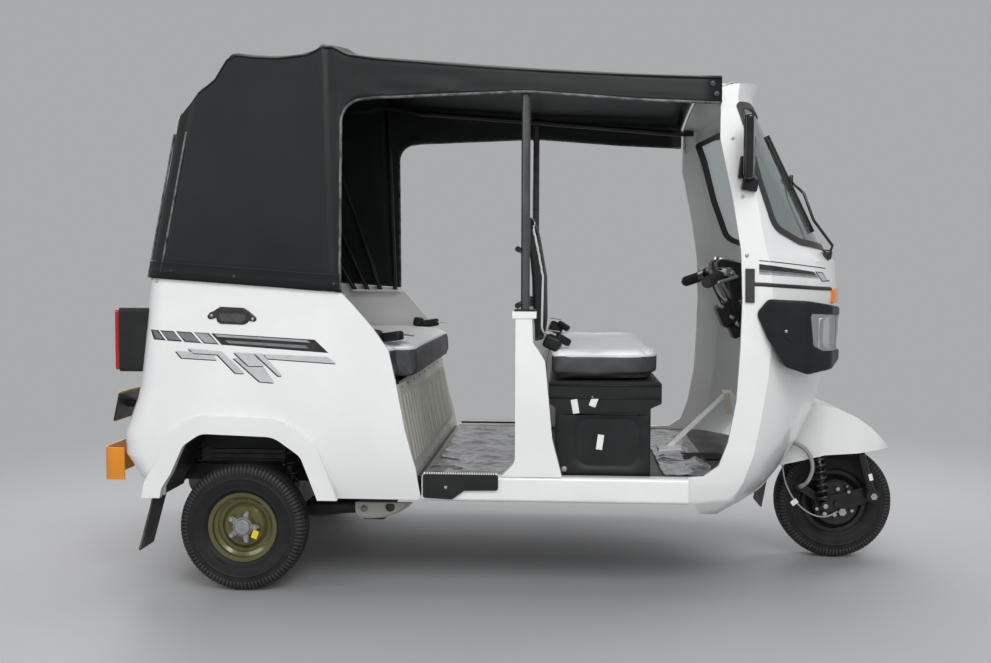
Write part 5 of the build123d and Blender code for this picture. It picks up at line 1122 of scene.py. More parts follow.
# ---------------------------------------------------------------- belts
# The seats have lap belts of black webbing. Their buckles lie on the cushions near the sides, and
# the ends of the straps come up behind the cushions.
BELT_BLACK = (0.014, 0.014, 0.015, 1)
BELT_WIDE, BELT_THICK = 0.044, 0.0016
belt_web = finish(
    "belt_web", BELT_BLACK, (0.022, 0.022, 0.023), 0.62, 0.1, 40.0, 1400.0, 0.35, Specular_IOR_Level=0.3,
)


def strap(name, lines, across, material, wide=BELT_WIDE, thick=BELT_THICK):
    """Flat webbing along lines of points, its width laid along a direction."""
    work = bmesh.new()
    for line in lines:
        line = [Vector(p) for p in line]
        rings = []
        for i, p in enumerate(line):
            ahead_way = (line[min(i + 1, len(line) - 1)] - line[max(i - 1, 0)]).normalized()
            width = (Vector(across) - ahead_way * ahead_way.dot(Vector(across))).normalized() * wide / 2
            depth = ahead_way.cross(width).normalized() * thick / 2
            rings.append([work.verts.new(p + width * a + depth * b) for a, b in ((-1, -1), (1, -1), (1, 1), (-1, 1))])
        skin(work, rings)
    return mesh_piece(name, work, material, smooth=False)


def bar_shape(work, place, size, turn=(0, 0, 0), round_by=0.003, segments=2):
    """A block with rounded edges added to a bmesh; turn is in degrees."""
    part = bmesh.new()
    bmesh.ops.create_cube(part, size=1)
    for v in part.verts:
        v.co = Vector((v.co.x * size[0], v.co.y * size[1], v.co.z * size[2]))
    bmesh.ops.bevel(
        part, geom=part.edges[:], offset=min(round_by, 0.45 * min(size)), segments=segments, affect="EDGES",
        profile=0.6,
    )
    spin = Euler([math.radians(t) for t in turn]).to_matrix()
    moved = {v: work.verts.new(spin @ v.co + Vector(place)) for v in part.verts}
    for f in part.faces:
        work.faces.new([moved[v] for v in f.verts])
    part.free()


def blocks(name, rows, material, body="body", sides=(-1, 1), smooth=False):
    """One piece of rounded blocks on both sides; a row is place, size, turn, rounding and its steps."""
    work = bmesh.new()
    for side in sides:
        for (x, y, z), size, (roll, pitch, yaw), round_by, segments in rows:
            bar_shape(work, (x, side * y, z), size, (roll, pitch, side * yaw), round_by, segments)
    return mesh_piece(name, work, material, body, smooth)


BUCKLES = [
    ((0.118, 0.505, 0.792), (0.056, 0.050, 0.046), (0, 24, 10), 0.014, 3),
    ((0.150, 0.478, 0.800), (0.052, 0.030, 0.024), (0, 30, -25), 0.008, 2),
    ((-0.400, 0.500, 0.808), (0.070, 0.036, 0.030), (0, -8, 20), 0.008, 2),
    ((-0.450, 0.520, 0.812), (0.040, 0.050, 0.036), (0, 10, 0), 0.010, 2),
]
TONGUES = [
    ((0.118, 0.490, 0.829), (0.044, 0.040, 0.003), (0, 8, 0), 0.001, 1),
    ((-0.352, 0.485, 0.812), (0.044, 0.022, 0.003), (0, 6, 20), 0.001, 1),
]
blocks("buckles", BUCKLES, black_plastic, smooth=True)
blocks("buckle_tongues", TONGUES, nickel)
straps = []
for side in (-1, 1):
    straps.append([
        (0.098, side * 0.500, 0.700), (0.100, side * 0.500, 0.745), (0.110, side * 0.500, 0.775),
        (0.124, side * 0.500, 0.786),
    ])
    straps.append([(-0.802, side * 0.530, 0.796), (-0.785, side * 0.530, 0.800), (-0.768, side * 0.530, 0.803)])
strap("belt_ends", straps, (0, 1, 0), belt_web, 0.040)

# ---------------------------------------------------------------- bulkhead under the bench
# Pressed beige sheet with upright ribs, and a row of screws along its upper and lower edges.
BEIGE = (0.43, 0.425, 0.37, 1)
RIB_PITCH, RIB_COUNT, RIB_WIDE, RIB_HIGH, RIB_LONG = 0.062, 19, 0.030, 0.0065, 0.225
beige = finish("beige_paint", BEIGE, (0.37, 0.365, 0.32), 0.36, 0.12, 5.0, 500.0, 0.08, Coat_Weight=0.2)
dress(beige, "seat_bulkhead")
row_tree, given, gives = geometry_tree(
    "a_row", [("Count", "Int", 4), ("Offset", "Vector", (0, 0.1, 0)), ("Finish", "Material", None)],
)
places = add(row_tree, "GeometryNodeMeshLine", Count=given["Count"], Offset=given["Offset"])
copies = add(row_tree, "GeometryNodeInstanceOnPoints", Points=places.outputs[0], Instance=given["Geometry"])
real = add(row_tree, "GeometryNodeRealizeInstances", Geometry=copies.outputs[0])
done = add(row_tree, "GeometryNodeSetMaterial", Geometry=real.outputs[0], Material=given["Finish"])
row_tree.links.new(done.outputs[0], gives["Geometry"])


def keep(name, mesh, place, body, mirror=1):
    """A copy of a mesh as a piece at its place, mirrored across XZ for a left-hand one."""
    mesh = mesh.copy()
    mesh.name = name
    mesh.transform(Matrix.Translation(place) @ Matrix.Diagonal((1, mirror, 1, 1)))
    if mirror < 0:
        mesh.flip_normals()
    return piece_of(name, mesh, body)


def block_rows(name, size, round_by, start, count, offset, material):
    """The mesh of a row of thin blocks, from the place of the first one."""
    block = bmesh.new()
    bar_shape(block, start, size, (0, 0, 0), round_by, 1)
    return made_by(row_tree, name, mesh_of(name + "_one", block, [], False), material, Count=count, Offset=offset)


bulkhead_ground = surface_of("seat_bulkhead")


def bulkhead_at(y, z):
    """A point on the bulkhead's front and its way out."""
    return first_on(bulkhead_ground, (0, y, z), (-1, 0, 0))


low_point, out_way = bulkhead_at(0.02, 0.42)
high_point, _ = bulkhead_at(0.02, 0.62)
up_way = (high_point - low_point).normalized()
first_rib = low_point.lerp(high_point, 0.5) - Vector((0, 0.02 + RIB_PITCH * (RIB_COUNT - 1) / 2, 0))
rib = bmesh.new()
rings = []
for k in range(9):
    reach = max(0.02, 1 - 0.14 * k) if k < 7 else (0.06 if k == 7 else 0.02)
    width, length = RIB_WIDE / 2 * reach, RIB_LONG / 2 - RIB_WIDE / 2 * (1 - reach)
    proud = RIB_HIGH * math.sin(math.pi / 2 * min(1, k / 6)) - 0.0015
    ring = []
    for c, s in round_steps(28):
        along_rib = (length - width) * (1 if s > 0 else -1) + width * s
        ring.append(rib.verts.new(first_rib + Vector((0, width * c, 0)) + up_way * along_rib + out_way * proud))
    rings.append(ring)
skin(rib, rings)
rib_mesh = mesh_of("bulkhead_rib", rib, [])
ribs_mesh = made_by(row_tree, "bulkhead_ribs", rib_mesh, beige, Count=RIB_COUNT, Offset=(0, RIB_PITCH, 0))
keep("bulkhead_ribs", ribs_mesh, Vector((0, 0, 0)), "body")
screw_rows = [(*bulkhead_at(-0.56 + 0.14 * k, z), 0.8) for k in range(9) for z in (0.652, 0.385)]
screws("bulkhead_screws", screw_rows)

# ---------------------------------------------------------------- floor under its film
# The steel floor is painted dark and still covered by loose clear film, creased and shiny, on the
# passengers' side and beside the driver's feet.
FILM_FLOORS = [("passenger_film", (-0.292, 0.088), (-0.560, 0.560)), ("driver_film", (0.470, 0.640), (-0.520, 0.520))]
FLOOR_Z, FLOOR_CELL, CREASE_SEED = 0.372, 0.007, 11
floor_paint_dark = finish("floor_paint", (0.018, 0.018, 0.019), (0.03, 0.03, 0.03), 0.3, 0.15, 12.0)
dress(floor_paint_dark, "floor_pan")
film_shine = finish(
    "film_shine", (0.075, 0.075, 0.085), (0.34, 0.34, 0.37), 0.16, 0.1, 11.0, 300.0, 0.08, Metallic=0.5,
    Coat_Weight=1.0,
)


def creased(x, y):
    """How high the loose film stands at a place."""
    p = Vector((x, y, 0.37))
    folds = 0
    for size, high, seed in ((7.0, 0.0060, 3.1), (16.0, 0.0034, 8.7), (38.0, 0.0016, 5.5)):
        warp = noise.noise_vector(p * size * 0.6 + Vector((seed, 0, 0))) * 0.35
        folds += high * (1 - abs(noise.noise(p * size + warp * 2 + Vector((0, seed, seed))))) ** 5
    return folds


def closed_sheet(work, *faces):
    """Faces over both sides of a sheet, each a grid of points in rows, and round its edge."""
    for grid in faces:
        for one, two in zip(grid, grid[1:]):
            for a, b, c, d in zip(one, one[1:], two[1:], two):
                work.faces.new((a, b, c, d))
    skin(
        work, [g[0] + [r[-1] for r in g[1:-1]] + g[-1][::-1] + [r[0] for r in g[-2:0:-1]] for g in faces],
        ends=False,
    )


noise.seed_set(CREASE_SEED)  # without it the noise vectors would be drawn anew on every run
for name, (x0, x1), (y0, y1) in FILM_FLOORS:
    work = bmesh.new()
    nx, ny = round((x1 - x0) / FLOOR_CELL), round((y1 - y0) / FLOOR_CELL)
    upper, lower = [], []
    for i in range(nx + 1):
        for grid, drop in ((upper, 0), (lower, 0.0006)):
            row = []
            for j in range(ny + 1):
                x, y = x0 + (x1 - x0) * i / nx, y0 + (y1 - y0) * j / ny
                edge = min(1, min(i, nx - i) / 4, min(j, ny - j) / 4)
                stray = 0.004 * noise.noise(Vector((y * 9, 0, 2)))
                z = FLOOR_Z + 0.0012 + creased(x, y) * (0.4 + 0.6 * edge) - drop
                row.append(work.verts.new((x + stray, y, z)))
            grid.append(row)
    closed_sheet(work, upper, lower)
    film_piece = mesh_piece(name, work, film_shine)

# ---------------------------------------------------------------- tyres
# Cross-ply tyres with four grooves round the tread and short bars over each shoulder, moulded in
# one piece. Two rings stand on each side wall.
TYRE_RUBBER = (0.010, 0.0105, 0.011, 1)
TYRE_SIDES = 150
TYRE_BARS = 96
# the shoulder bars are the tyre's own rubber; their lighter colour is a painted highlight on their tops
BAR_RUBBER_PAINTED_HIGHLIGHT = (0.026, 0.027, 0.028, 1)
# half of the section: radius and distance from the middle, from the bead to the middle of the tread
TYRE_SECTION = [
    (0.1024, 0.0300), (0.1110, 0.0322), (0.1118, 0.0385), (0.1160, 0.0425), (0.1205, 0.0445), (0.1212, 0.0458),
    (0.1228, 0.0462), (0.1240, 0.0455),
    (0.1320, 0.0482), (0.1420, 0.0500), (0.1520, 0.0512), (0.1550, 0.0514), (0.1558, 0.0524), (0.1580, 0.0526),
    (0.1588, 0.0516),
    (0.1680, 0.0513), (0.1770, 0.0502), (0.1840, 0.0484), (0.1895, 0.0460), (0.1935, 0.0430), (0.1962, 0.0390),
    (0.1980, 0.0340), (0.1990, 0.0300),
    (0.2015, 0.0294), (0.2018, 0.0240), (0.1975, 0.0234), (0.1970, 0.0204), (0.2020, 0.0198), (0.2023, 0.0110),
    (0.1980, 0.0104), (0.1975, 0.0076), (0.2024, 0.0070), (0.2025, 0.0020),
]
# a shoulder bar's outer line: radius and distance from the middle
BAR_LINE = [
    (0.1740, 0.0500), (0.1775, 0.0520), (0.1850, 0.0510), (0.1908, 0.0486), (0.1955, 0.0452), (0.1988, 0.0404),
    (0.2008, 0.0350), (0.2016, 0.0300),
]
BAR_WIDTH, BAR_DEEP = 0.0066, 0.005
WHEELS = [
    ("front", "front_wheel", Vector((1.121, 0, 0.2025)), 1), (
        "rear_right", "rear_wheel_right", Vector((-0.864, -0.575, 0.2025)), 1,
    ),
    ("rear_left", "rear_wheel_left", Vector((-0.864, 0.575, 0.2025)), -1),
]
tyre_rubber = finish(
    "tyre_rubber", TYRE_RUBBER, (0.015, 0.015, 0.015), 0.52, 0.14, 18.0, 1100.0, 0.25, 0.3, 0.05,
    Specular_IOR_Level=0.25,
)


def turned_work(section, sides):
    """A closed ring turned about Y from a closed section of (radius, y)."""
    work = bmesh.new()
    skin(work, [[work.verts.new((r * c, y, r * s)) for r, y in section] for c, s in round_steps(sides)], loop=True)
    return work


round_tree, given, gives = geometry_tree("round_an_axle", [("Count", "Int", 12), ("Finish", "Material", None)])
places = add(round_tree, "GeometryNodeMeshLine", Count=given["Count"], Offset=(0, 0, 0))
number = add(round_tree, "GeometryNodeInputIndex")
step = add(round_tree, "ShaderNodeMath", {"operation": "DIVIDE"}, i0=2 * math.pi, i1=given["Count"])
turn = add(round_tree, "ShaderNodeMath", {"operation": "MULTIPLY"}, i0=number.outputs[0], i1=step.outputs[0])
spin = add(round_tree, "ShaderNodeCombineXYZ", Y=turn.outputs[0])
facing = add(round_tree, "FunctionNodeEulerToRotation", Euler=spin.outputs[0])
copies = add(
    round_tree, "GeometryNodeInstanceOnPoints", Points=places.outputs[0], Instance=given["Geometry"],
    Rotation=facing.outputs[0],
)
real = add(round_tree, "GeometryNodeRealizeInstances", Geometry=copies.outputs[0])
done = add(round_tree, "GeometryNodeSetMaterial", Geometry=real.outputs[0], Material=given["Finish"])
round_tree.links.new(done.outputs[0], gives["Geometry"])


carcass = turned_work(TYRE_SECTION + [(r, -y) for r, y in reversed(TYRE_SECTION)], TYRE_SIDES)
carcass_mesh = mesh_of("tyre_carcass", carcass, tyre_rubber)
bar = bmesh.new()
for side in (-1, 1):
    rings = []
    for r, y in BAR_LINE:
        inward = Vector((-1, -0.35 * side)) if r > 0.19 else Vector((-0.25, -1 * side))
        inward = inward.normalized() * BAR_DEEP
        ring = []
        for wide, deep in ((-0.5, 1), (-0.5, 0.15), (-0.36, 0), (0.36, 0), (0.5, 0.15), (0.5, 1)):
            ring.append(bar.verts.new((r + inward.x * deep, side * y + inward.y * deep, wide * BAR_WIDTH * r / 0.2)))
        rings.append(ring)
    skin(bar, rings)
# painted highlight: the bars get a lighter colour than the carcass they are moulded with
bar_rubber_painted_highlight = finish(
    "bar_rubber_painted_highlight", BAR_RUBBER_PAINTED_HIGHLIGHT, (0.034, 0.034, 0.034), 0.42, 0.14, 18.0, 1100.0, 0.2, 0.3, 0.05,
    Specular_IOR_Level=0.4,
)
bars_mesh = made_by(round_tree, "tyre_bars", mesh_of("tyre_bar", bar, [], False), bar_rubber_painted_highlight, Count=TYRE_BARS)
for hand, body, place, mirror in WHEELS:
    tyre = keep(f"tyre_rubber_{hand}", carcass_mesh, place, body, mirror)
    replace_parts(tyre, f"tyre_{hand}")
    keep(f"tyre_bars_{hand}", bars_mesh, place, body, mirror)

# ---------------------------------------------------------------- rims and hubs
# Pressed steel rims in two halves, khaki at the rear and black at the front, on cast hubs whose
# five arms end under the wheel nuts. A paper tag hangs at the rear hub.
HUB_GREY = (0.36, 0.37, 0.38, 1)
HUB_REACH, HUB_ROOT, HUB_FACES = 0.053, 0.031, (-0.0375, -0.026)
NUT_RING, NUT_RADIUS = 0.043, 0.0075
VALVE_LINE = ((0.062, 0.014), (0.067, 0.026), (0.068, 0.036))
khaki = finish(
    "khaki_paint", (0.122, 0.110, 0.038), (0.088, 0.080, 0.028), 0.22, 0.12, 10.0, 400.0, 0.08, 0.3, 0.1,
    Metallic=0.35, Coat_Weight=0.5,
)
frame_black = finish(
    "frame_black", (0.011, 0.011, 0.012), (0.018, 0.018, 0.018), 0.3, 0.15, 12.0, 500.0, 0.12, 0.4, 0.06,
    Specular_IOR_Level=0.3, Coat_Weight=0.15,
)
hub_grey = finish("hub_grey", HUB_GREY, (0.27, 0.27, 0.28), 0.42, 0.15, 40.0, 500.0, 0.35, 0.4, 0.3, Metallic=0.6)
tag_yellow = finish("tag_yellow", (0.80, 0.62, 0.03), (0.7, 0.5, 0.03), 0.5, 0.1, 60.0)
dress(khaki, "rim_rear_right", "rim_rear_left")
dress(frame_black, "rim_front")
star = bmesh.new()
outline = []
for k, (c, s) in enumerate(round_steps(100)):
    r = HUB_ROOT + (HUB_REACH - HUB_ROOT) * max(0, math.cos(5 * 2 * math.pi * k / 100))
    outline.append((r * c, r * s))
rings = []
for y, draw in (
    (HUB_FACES[1], 1.0), (HUB_FACES[0] + 0.003, 1.0), (HUB_FACES[0], 0.93), (HUB_FACES[0] - 0.0005, 0.86),
    (HUB_FACES[0] + 0.002, 0.80), (HUB_FACES[0] + 0.002, 0.77),
):
    rings.append([star.verts.new((x * draw, y, z * draw)) for x, z in outline])
cap_ring = [
    (0.0240, HUB_FACES[0] + 0.002), (0.0240, HUB_FACES[0] - 0.004), (0.0215, HUB_FACES[0] - 0.006),
    (0.004, HUB_FACES[0] - 0.0065),
]
for r, y in cap_ring:
    rings.append([star.verts.new((r * c, y, r * s)) for c, s in round_steps(100)])
skin(star, rings)
star_mesh = mesh_of("hub_star", star, hub_grey, False)
nut = bmesh.new()
for r, low, high in (
    (NUT_RADIUS, HUB_FACES[1] - 0.006, HUB_FACES[0] - 0.006), (0.0042, HUB_FACES[0] - 0.006, HUB_FACES[0] - 0.010),
):
    corners = round_steps(6 if r == NUT_RADIUS else 10)
    skin(nut, [[nut.verts.new((NUT_RING + r * c, y, r * s)) for c, s in corners] for y in (low, high)])
nuts_mesh = made_by(round_tree, "wheel_nuts", mesh_of("wheel_nut", nut, [], False), nickel, Count=5)
tag = bmesh.new()
bmesh.ops.create_cube(tag, size=1)
for v in tag.verts:
    v.co = Vector((v.co.x * 0.019, v.co.y * 0.0012 - 0.0455, v.co.z * 0.026))
    v.co = Matrix.Rotation(math.radians(20), 3, "Y") @ v.co + Vector((0.043, 0, -0.020))
bmesh.ops.bevel(tag, geom=tag.edges[:], offset=0.0005, segments=1)
tag_mesh = mesh_of("hub_tag", tag, tag_yellow, False)
for hand, body, place, mirror in WHEELS:
    # the front wheel's open face is on the left, away from its one-sided fork
    face = -1 if hand == "front" else mirror
    keep(f"hub_star_{hand}", star_mesh, place, body, face)
    keep(f"wheel_nuts_{hand}", nuts_mesh, place, body, face)
    if hand != "front":
        keep(f"hub_tag_{hand}", tag_mesh, place, body, mirror)
    stem = [place + Vector((r, -face * y, r)) for r, y in VALVE_LINE]
    tube_piece(f"valve_{hand}", [stem], 0.0035, black_rubber, body)

# ---------------------------------------------------------------- windscreen, its seal and wiper
# Curved laminated glass is held by a black rubber seal. One wiper is pivoted under it, its arm
# bent over the glass, and a washer nozzle stands beside it.
WIPER_Y = -0.29
WIPER_BLADE = (1.150, 1.470)
screen_tint = finish(
    "screen_glass", (0.66, 0.71, 0.70), (0.64, 0.69, 0.68), 0.03, 0.02, 4.0, 60.0, 0.02, Transmission_Weight=1.0,
    IOR=1.3, Specular_IOR_Level=0.3,
)
seal_rubber = finish("seal_rubber", (0.015, 0.015, 0.016), (0.024, 0.024, 0.024), 0.36, 0.12, 14.0, 1200.0, 0.15)
satin_black = finish(
    "satin_black", (0.012, 0.012, 0.013), (0.018, 0.018, 0.019), 0.22, 0.1, 20.0, 900.0, 0.1, Coat_Weight=0.2,
)
dress(screen_tint, "windscreen_glass")
dress(seal_rubber, "windscreen_seal")
screen_ground = surface_of("windscreen_glass")


def from_front(ground, y, z):
    """The point of a surface that is seen at y and z from the front, and its way out."""
    return first_on(ground, (1.6, y, z), (-1, 0, 0))


def on_screen(y, z, proud):
    """A point over the windscreen at a height over its face."""
    hit, out = from_front(screen_ground, y, z)
    return hit + out * proud


low, high = WIPER_BLADE
blade, spine = (
    [on_screen(WIPER_Y + 0.02 * k / 14, low + (high - low) * k / 14, proud) for k in range(15)]
    for proud in (0.004, 0.011)
)
pivot = from_front(cowl_ground, WIPER_Y - 0.02, 1.074)[0] + Vector((0.004, 0, 0.004))
arm = [pivot + Vector((0.012, 0, 0)), pivot + Vector((0.022, 0, 0.030))]
arm += [
    on_screen(WIPER_Y + y, z, proud)
    for y, z, proud in ((-0.02, 1.18, 0.030), (0, 1.265, 0.036), (0.01, 1.312, 0.016))
]
tube_piece("wiper_blade", [blade], 0.0042, black_rubber, sides=6)
tube_piece("wiper_spine", [spine], 0.0035, satin_black, sides=6)
tube_piece("wiper_arm", [arm], 0.0050, satin_black, sides=8)
wiper_parts = bmesh.new()
bar_shape(wiper_parts, pivot + Vector((0.004, 0, 0)), (0.030, 0.034, 0.034), (0, 10, 0), 0.010, 3)
bar_shape(wiper_parts, on_screen(WIPER_Y + 0.01, 1.312, 0.013), (0.012, 0.012, 0.050), (0, 0, 0), 0.003)
nozzle, _ = from_front(cowl_ground, 0.12, 1.066)
bar_shape(wiper_parts, nozzle + Vector((0.004, 0, 0.002)), (0.018, 0.014, 0.012), (0, 20, 0), 0.004)
mesh_piece("wiper_mounts", wiper_parts, satin_black)

# ---------------------------------------------------------------- headlamps and indicators
# Each headlamp is a silvered dish with two bulbs behind clear plastic, in a moulded black housing
# with a hooked line and a screw on its side. An amber indicator sits over its front end.
DISH_DEEP, DISH_BEHIND, DISH_STEP = 0.020, 0.0145, 24
HOOK_LINE = [(0.822, 0.832), (0.826, 0.820), (0.840, 0.812), (0.858, 0.809), (0.876, 0.808)]
housing_black = finish(
    "housing_black", (0.0095, 0.0102, 0.0108), (0.014, 0.0145, 0.015), 0.34, 0.1, 9.0, 1500.0, 0.16,
    Specular_IOR_Level=0.25,
)
# the dish is silvered, but its pale, mostly matt colour is a painted reflection that keeps it bright whatever it
# would mirror
reflector = finish("reflector", (0.86, 0.87, 0.88), (0.80, 0.81, 0.82), 0.2, 0.06, 16.0, 300.0, 0.03, Metallic=0.25)
bulb_glass = finish("bulb", (0.92, 0.92, 0.88), (0.9, 0.9, 0.85), 0.12, 0.04, 20.0, Coat_Weight=0.5)
amber = finish("amber_lens", (0.78, 0.22, 0.01), (0.68, 0.17, 0.008), 0.12, 0.04, 20.0, Coat_Weight=0.6)
lens_glass = finish(
    "lens_glass", (0.95, 0.96, 0.96), (0.93, 0.94, 0.94), 0.04, 0.02, 4.0, 60.0, 0.02, Alpha=0.24, IOR=1.4,
)


def rounded_copy(name, node, material, voxel, passes):
    """A copy of a moulded solid with its edges worn round, shown in its place."""
    work = bmesh.new()
    work.from_mesh(nodes[node].data)
    piece = mesh_piece(name, work, material)
    skin = piece.modifiers.new("skin", "REMESH")
    skin.mode, skin.voxel_size = "VOXEL", voxel
    ease = piece.modifiers.new("ease", "SMOOTH")
    ease.factor, ease.iterations = 0.5, passes
    mesh = bpy.data.meshes.new_from_object(piece.evaluated_get(bpy.context.evaluated_depsgraph_get()))
    piece.modifiers.clear()
    piece.data = mesh
    mesh.name = name
    mesh.materials.clear()
    mesh.materials.append(material)
    mesh.polygons.foreach_set("use_smooth", [True] * len(mesh.polygons))
    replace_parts(piece, node)
    return piece


rounded_copy("headlamp_shells", "headlamp_housings", housing_black, 0.004, 9)
dress(lens_glass, "headlamp_lenses")
lamp_ground = surface_of("headlamp_lenses")
dishes, bulbs = bmesh.new(), bmesh.new()
for side in (-1, 1):
    # rows run from the rear edge of the opening round its front corner to the inner end of the lens
    rows = []
    for i in range(DISH_STEP + 1):
        t = i / DISH_STEP
        a = math.radians(-88 + 84 * t)
        row = []
        for j in range(13):
            z = 0.784 + 0.094 * j / 12
            y = 0.46 - 0.5 * math.sin(a) if t < 1 else 0.42
            start = Vector((0.90 + 0.5 * math.cos(a) + 0.03 * (1 - t), side * y, z))
            aim = (Vector((0.935 + 0.035 * t, side * (0.53 - 0.12 * t), z)) - start).normalized()
            hit, _ = first_on(lamp_ground, start, aim)
            row.append((hit, aim) if hit else None)
        if all(row):
            rows.append(row)
    front_side, back_side = [], []
    for i, row in enumerate(rows):
        s = i / (len(rows) - 1)
        deep = DISH_DEEP * math.sin(math.pi * s) ** 0.6
        flutes = 1 + 0.12 * math.cos(s * 40)
        for layer, extra in ((front_side, 0), (back_side, 0.003)):
            behind = (DISH_BEHIND + deep * math.sin(math.pi * j / 12) ** 0.6 * flutes + extra for j in range(13))
            layer.append([dishes.verts.new(hit + way * far) for (hit, way), far in zip(row, behind)])
    closed_sheet(dishes, front_side, back_side)
    middle = rows[len(rows) // 2][6]
    bar_shape(
        bulbs, middle[0] + middle[1] * (DISH_BEHIND + DISH_DEEP * 0.75), (0.022, 0.022, 0.022), (0, 0, side * 40),
        0.010, 3,
    )
    quarter = rows[len(rows) // 5][6]
    bar_shape(
        bulbs, quarter[0] + quarter[1] * (DISH_BEHIND + DISH_DEEP * 0.7), (0.014, 0.014, 0.016), (0, 0, side * 20),
        0.006, 3,
    )
mesh_piece("headlamp_dishes", dishes, reflector)
mesh_piece("headlamp_bulbs", bulbs, bulb_glass)
housing_ground = surface_of("headlamp_housings")
pod_screws, hooks = [], []
for side in (-1, 1):
    pod_screws.append((on_side(housing_ground, 0.83, 0.839, side)[0], Vector((0, side, 0)), 0.9))
    hooks.append([on_side(housing_ground, x, z, side)[0] for x, z in smooth_line(HOOK_LINE, 3)])
screws("housing_screws", pod_screws)
tube_piece("housing_lines", hooks, 0.0022, housing_black, sides=6)
signals = bmesh.new()
for side in (-1, 1):
    hit, out = from_front(cowl_ground, side * 0.268, 0.942)
    bar_shape(signals, hit, (0.016, 0.086, 0.050), (0, 0, math.degrees(math.atan2(out.y, out.x))), 0.006, 3)
mesh_piece("indicators", signals, amber)

# ---------------------------------------------------------------- mirrors
# Gloss black shells on short stalks with a clamp block on the cowl, a mirror glass in the face
# that looks back.
MIRROR_PLACE, MIRROR_SIZE, MIRROR_TURN = (0.704, 0.672, 1.390), (0.028, 0.114, 0.190), 13
mirror_gloss = finish(
    "mirror_gloss", (0.010, 0.010, 0.011), (0.014, 0.014, 0.015), 0.10, 0.05, 20.0, 900.0, 0.03,
    Specular_IOR_Level=0.4,
)
mirror_glass = finish(
    "mirror_glass", (0.75, 0.77, 0.78), (0.73, 0.75, 0.76), 0.03, 0.02, 4.0, 60.0, 0.01, Metallic=1.0,
)
shells, glasses, necks = bmesh.new(), bmesh.new(), []
for side in (-1, 1):
    turned = math.radians(side * MIRROR_TURN)
    place = Vector((MIRROR_PLACE[0], side * MIRROR_PLACE[1], MIRROR_PLACE[2]))
    bar_shape(shells, place, MIRROR_SIZE, (0, 0, side * MIRROR_TURN), 0.0115, 4)
    bar_shape(
        glasses, place - Vector((math.cos(turned), math.sin(turned), 0)) * (MIRROR_SIZE[0] / 2),
        (0.003, MIRROR_SIZE[1] - 0.022, MIRROR_SIZE[2] - 0.022), (0, 0, side * MIRROR_TURN), 0.0012, 1,
    )
    hit, _ = on_side(cowl_ground, 0.712, 1.29, side)
    bar_shape(shells, hit + Vector((0.006, side * 0.014, -0.002)), (0.048, 0.036, 0.044), (0, 10, 0), 0.006, 3)
    hit, _ = on_side(cowl_ground, 0.696, 1.34, side)
    bar_shape(shells, hit + Vector((0, side * 0.008, 0)), (0.020, 0.022, 0.068), (0, 6, 0), 0.005, 3)
    necks.append([hit + Vector((0.022, side * 0.020, -0.040)), place + Vector((0, side * -0.010, -0.078))])
mirror_shells = mesh_piece("mirror_shells", shells, mirror_gloss)
mirror_shells.data.set_sharp_from_angle(angle=math.radians(50))
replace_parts(mirror_shells, "mirrors")
mesh_piece("mirror_glasses", glasses, mirror_glass, smooth=False)
tube_piece("mirror_necks", necks, 0.008, satin_black, sides=10)

# ---------------------------------------------------------------- brackets inside the cowl's roof
# A light grey pressed bracket ties each door edge of the cowl to the hood's front bow, and is held
# by three screws.
grey_paint = finish("grey_paint", (0.46, 0.47, 0.47), (0.4, 0.4, 0.4), 0.32, 0.1, 8.0, 600.0, 0.08, Coat_Weight=0.2)
ROOF_BRACKET = [
    ((0.636, 0.545, 1.548), (0.003, 0.030, 0.092), (0, -6, 0), 0.001, 1),
    ((0.654, 0.547, 1.598), (0.040, 0.028, 0.003), (0, -20, 0), 0.001, 1),
]
blocks("roof_brackets", ROOF_BRACKET, grey_paint)
holes = []
for side in (-1, 1):
    holes += [((0.6335 + 0.003 * k, side * 0.545, 1.522 + 0.026 * k), (-1, 0, 0), 0.75) for k in range(3)]
screws("bracket_screws", holes)

# ---------------------------------------------------------------- handlebar, levers and dial
# A bent steel bar carries ribbed rubber grips and cast levers in clamps. The dial sits in the top
# of the moulded pod, a lock box hangs under it, and the cables drop from the levers into the cowl.
GRIP_RINGS, GRIP_RADIUS = 13, 0.0182
BAR_END, BAR_BEND = Vector((0.624, 0.332, 0.984)), Vector((0.700, 0.190, 1.016))
GRIP_LONG, SWITCH_LONG = 0.118, 0.034
cast_bright = finish(
    "cast_bright", (0.55, 0.555, 0.56), (0.42, 0.425, 0.43), 0.3, 0.14, 40.0, 700.0, 0.2, Metallic=0.9,
)
dress(satin_black, "handlebar")
dress(black_plastic, "instrument_pod")
rings, levers, clutch, wires = [], [], bmesh.new(), []


def rounded_line(line, times=3):
    """A line with its corners cut round, from the same first point to the same last."""
    line = [Vector(p) for p in line]
    for _ in range(times):
        line = [line[0]] + [
            q for a, b in zip(line, line[1:]) for q in (a.lerp(b, 0.25), a.lerp(b, 0.75))
        ] + [line[-1]]
    return line


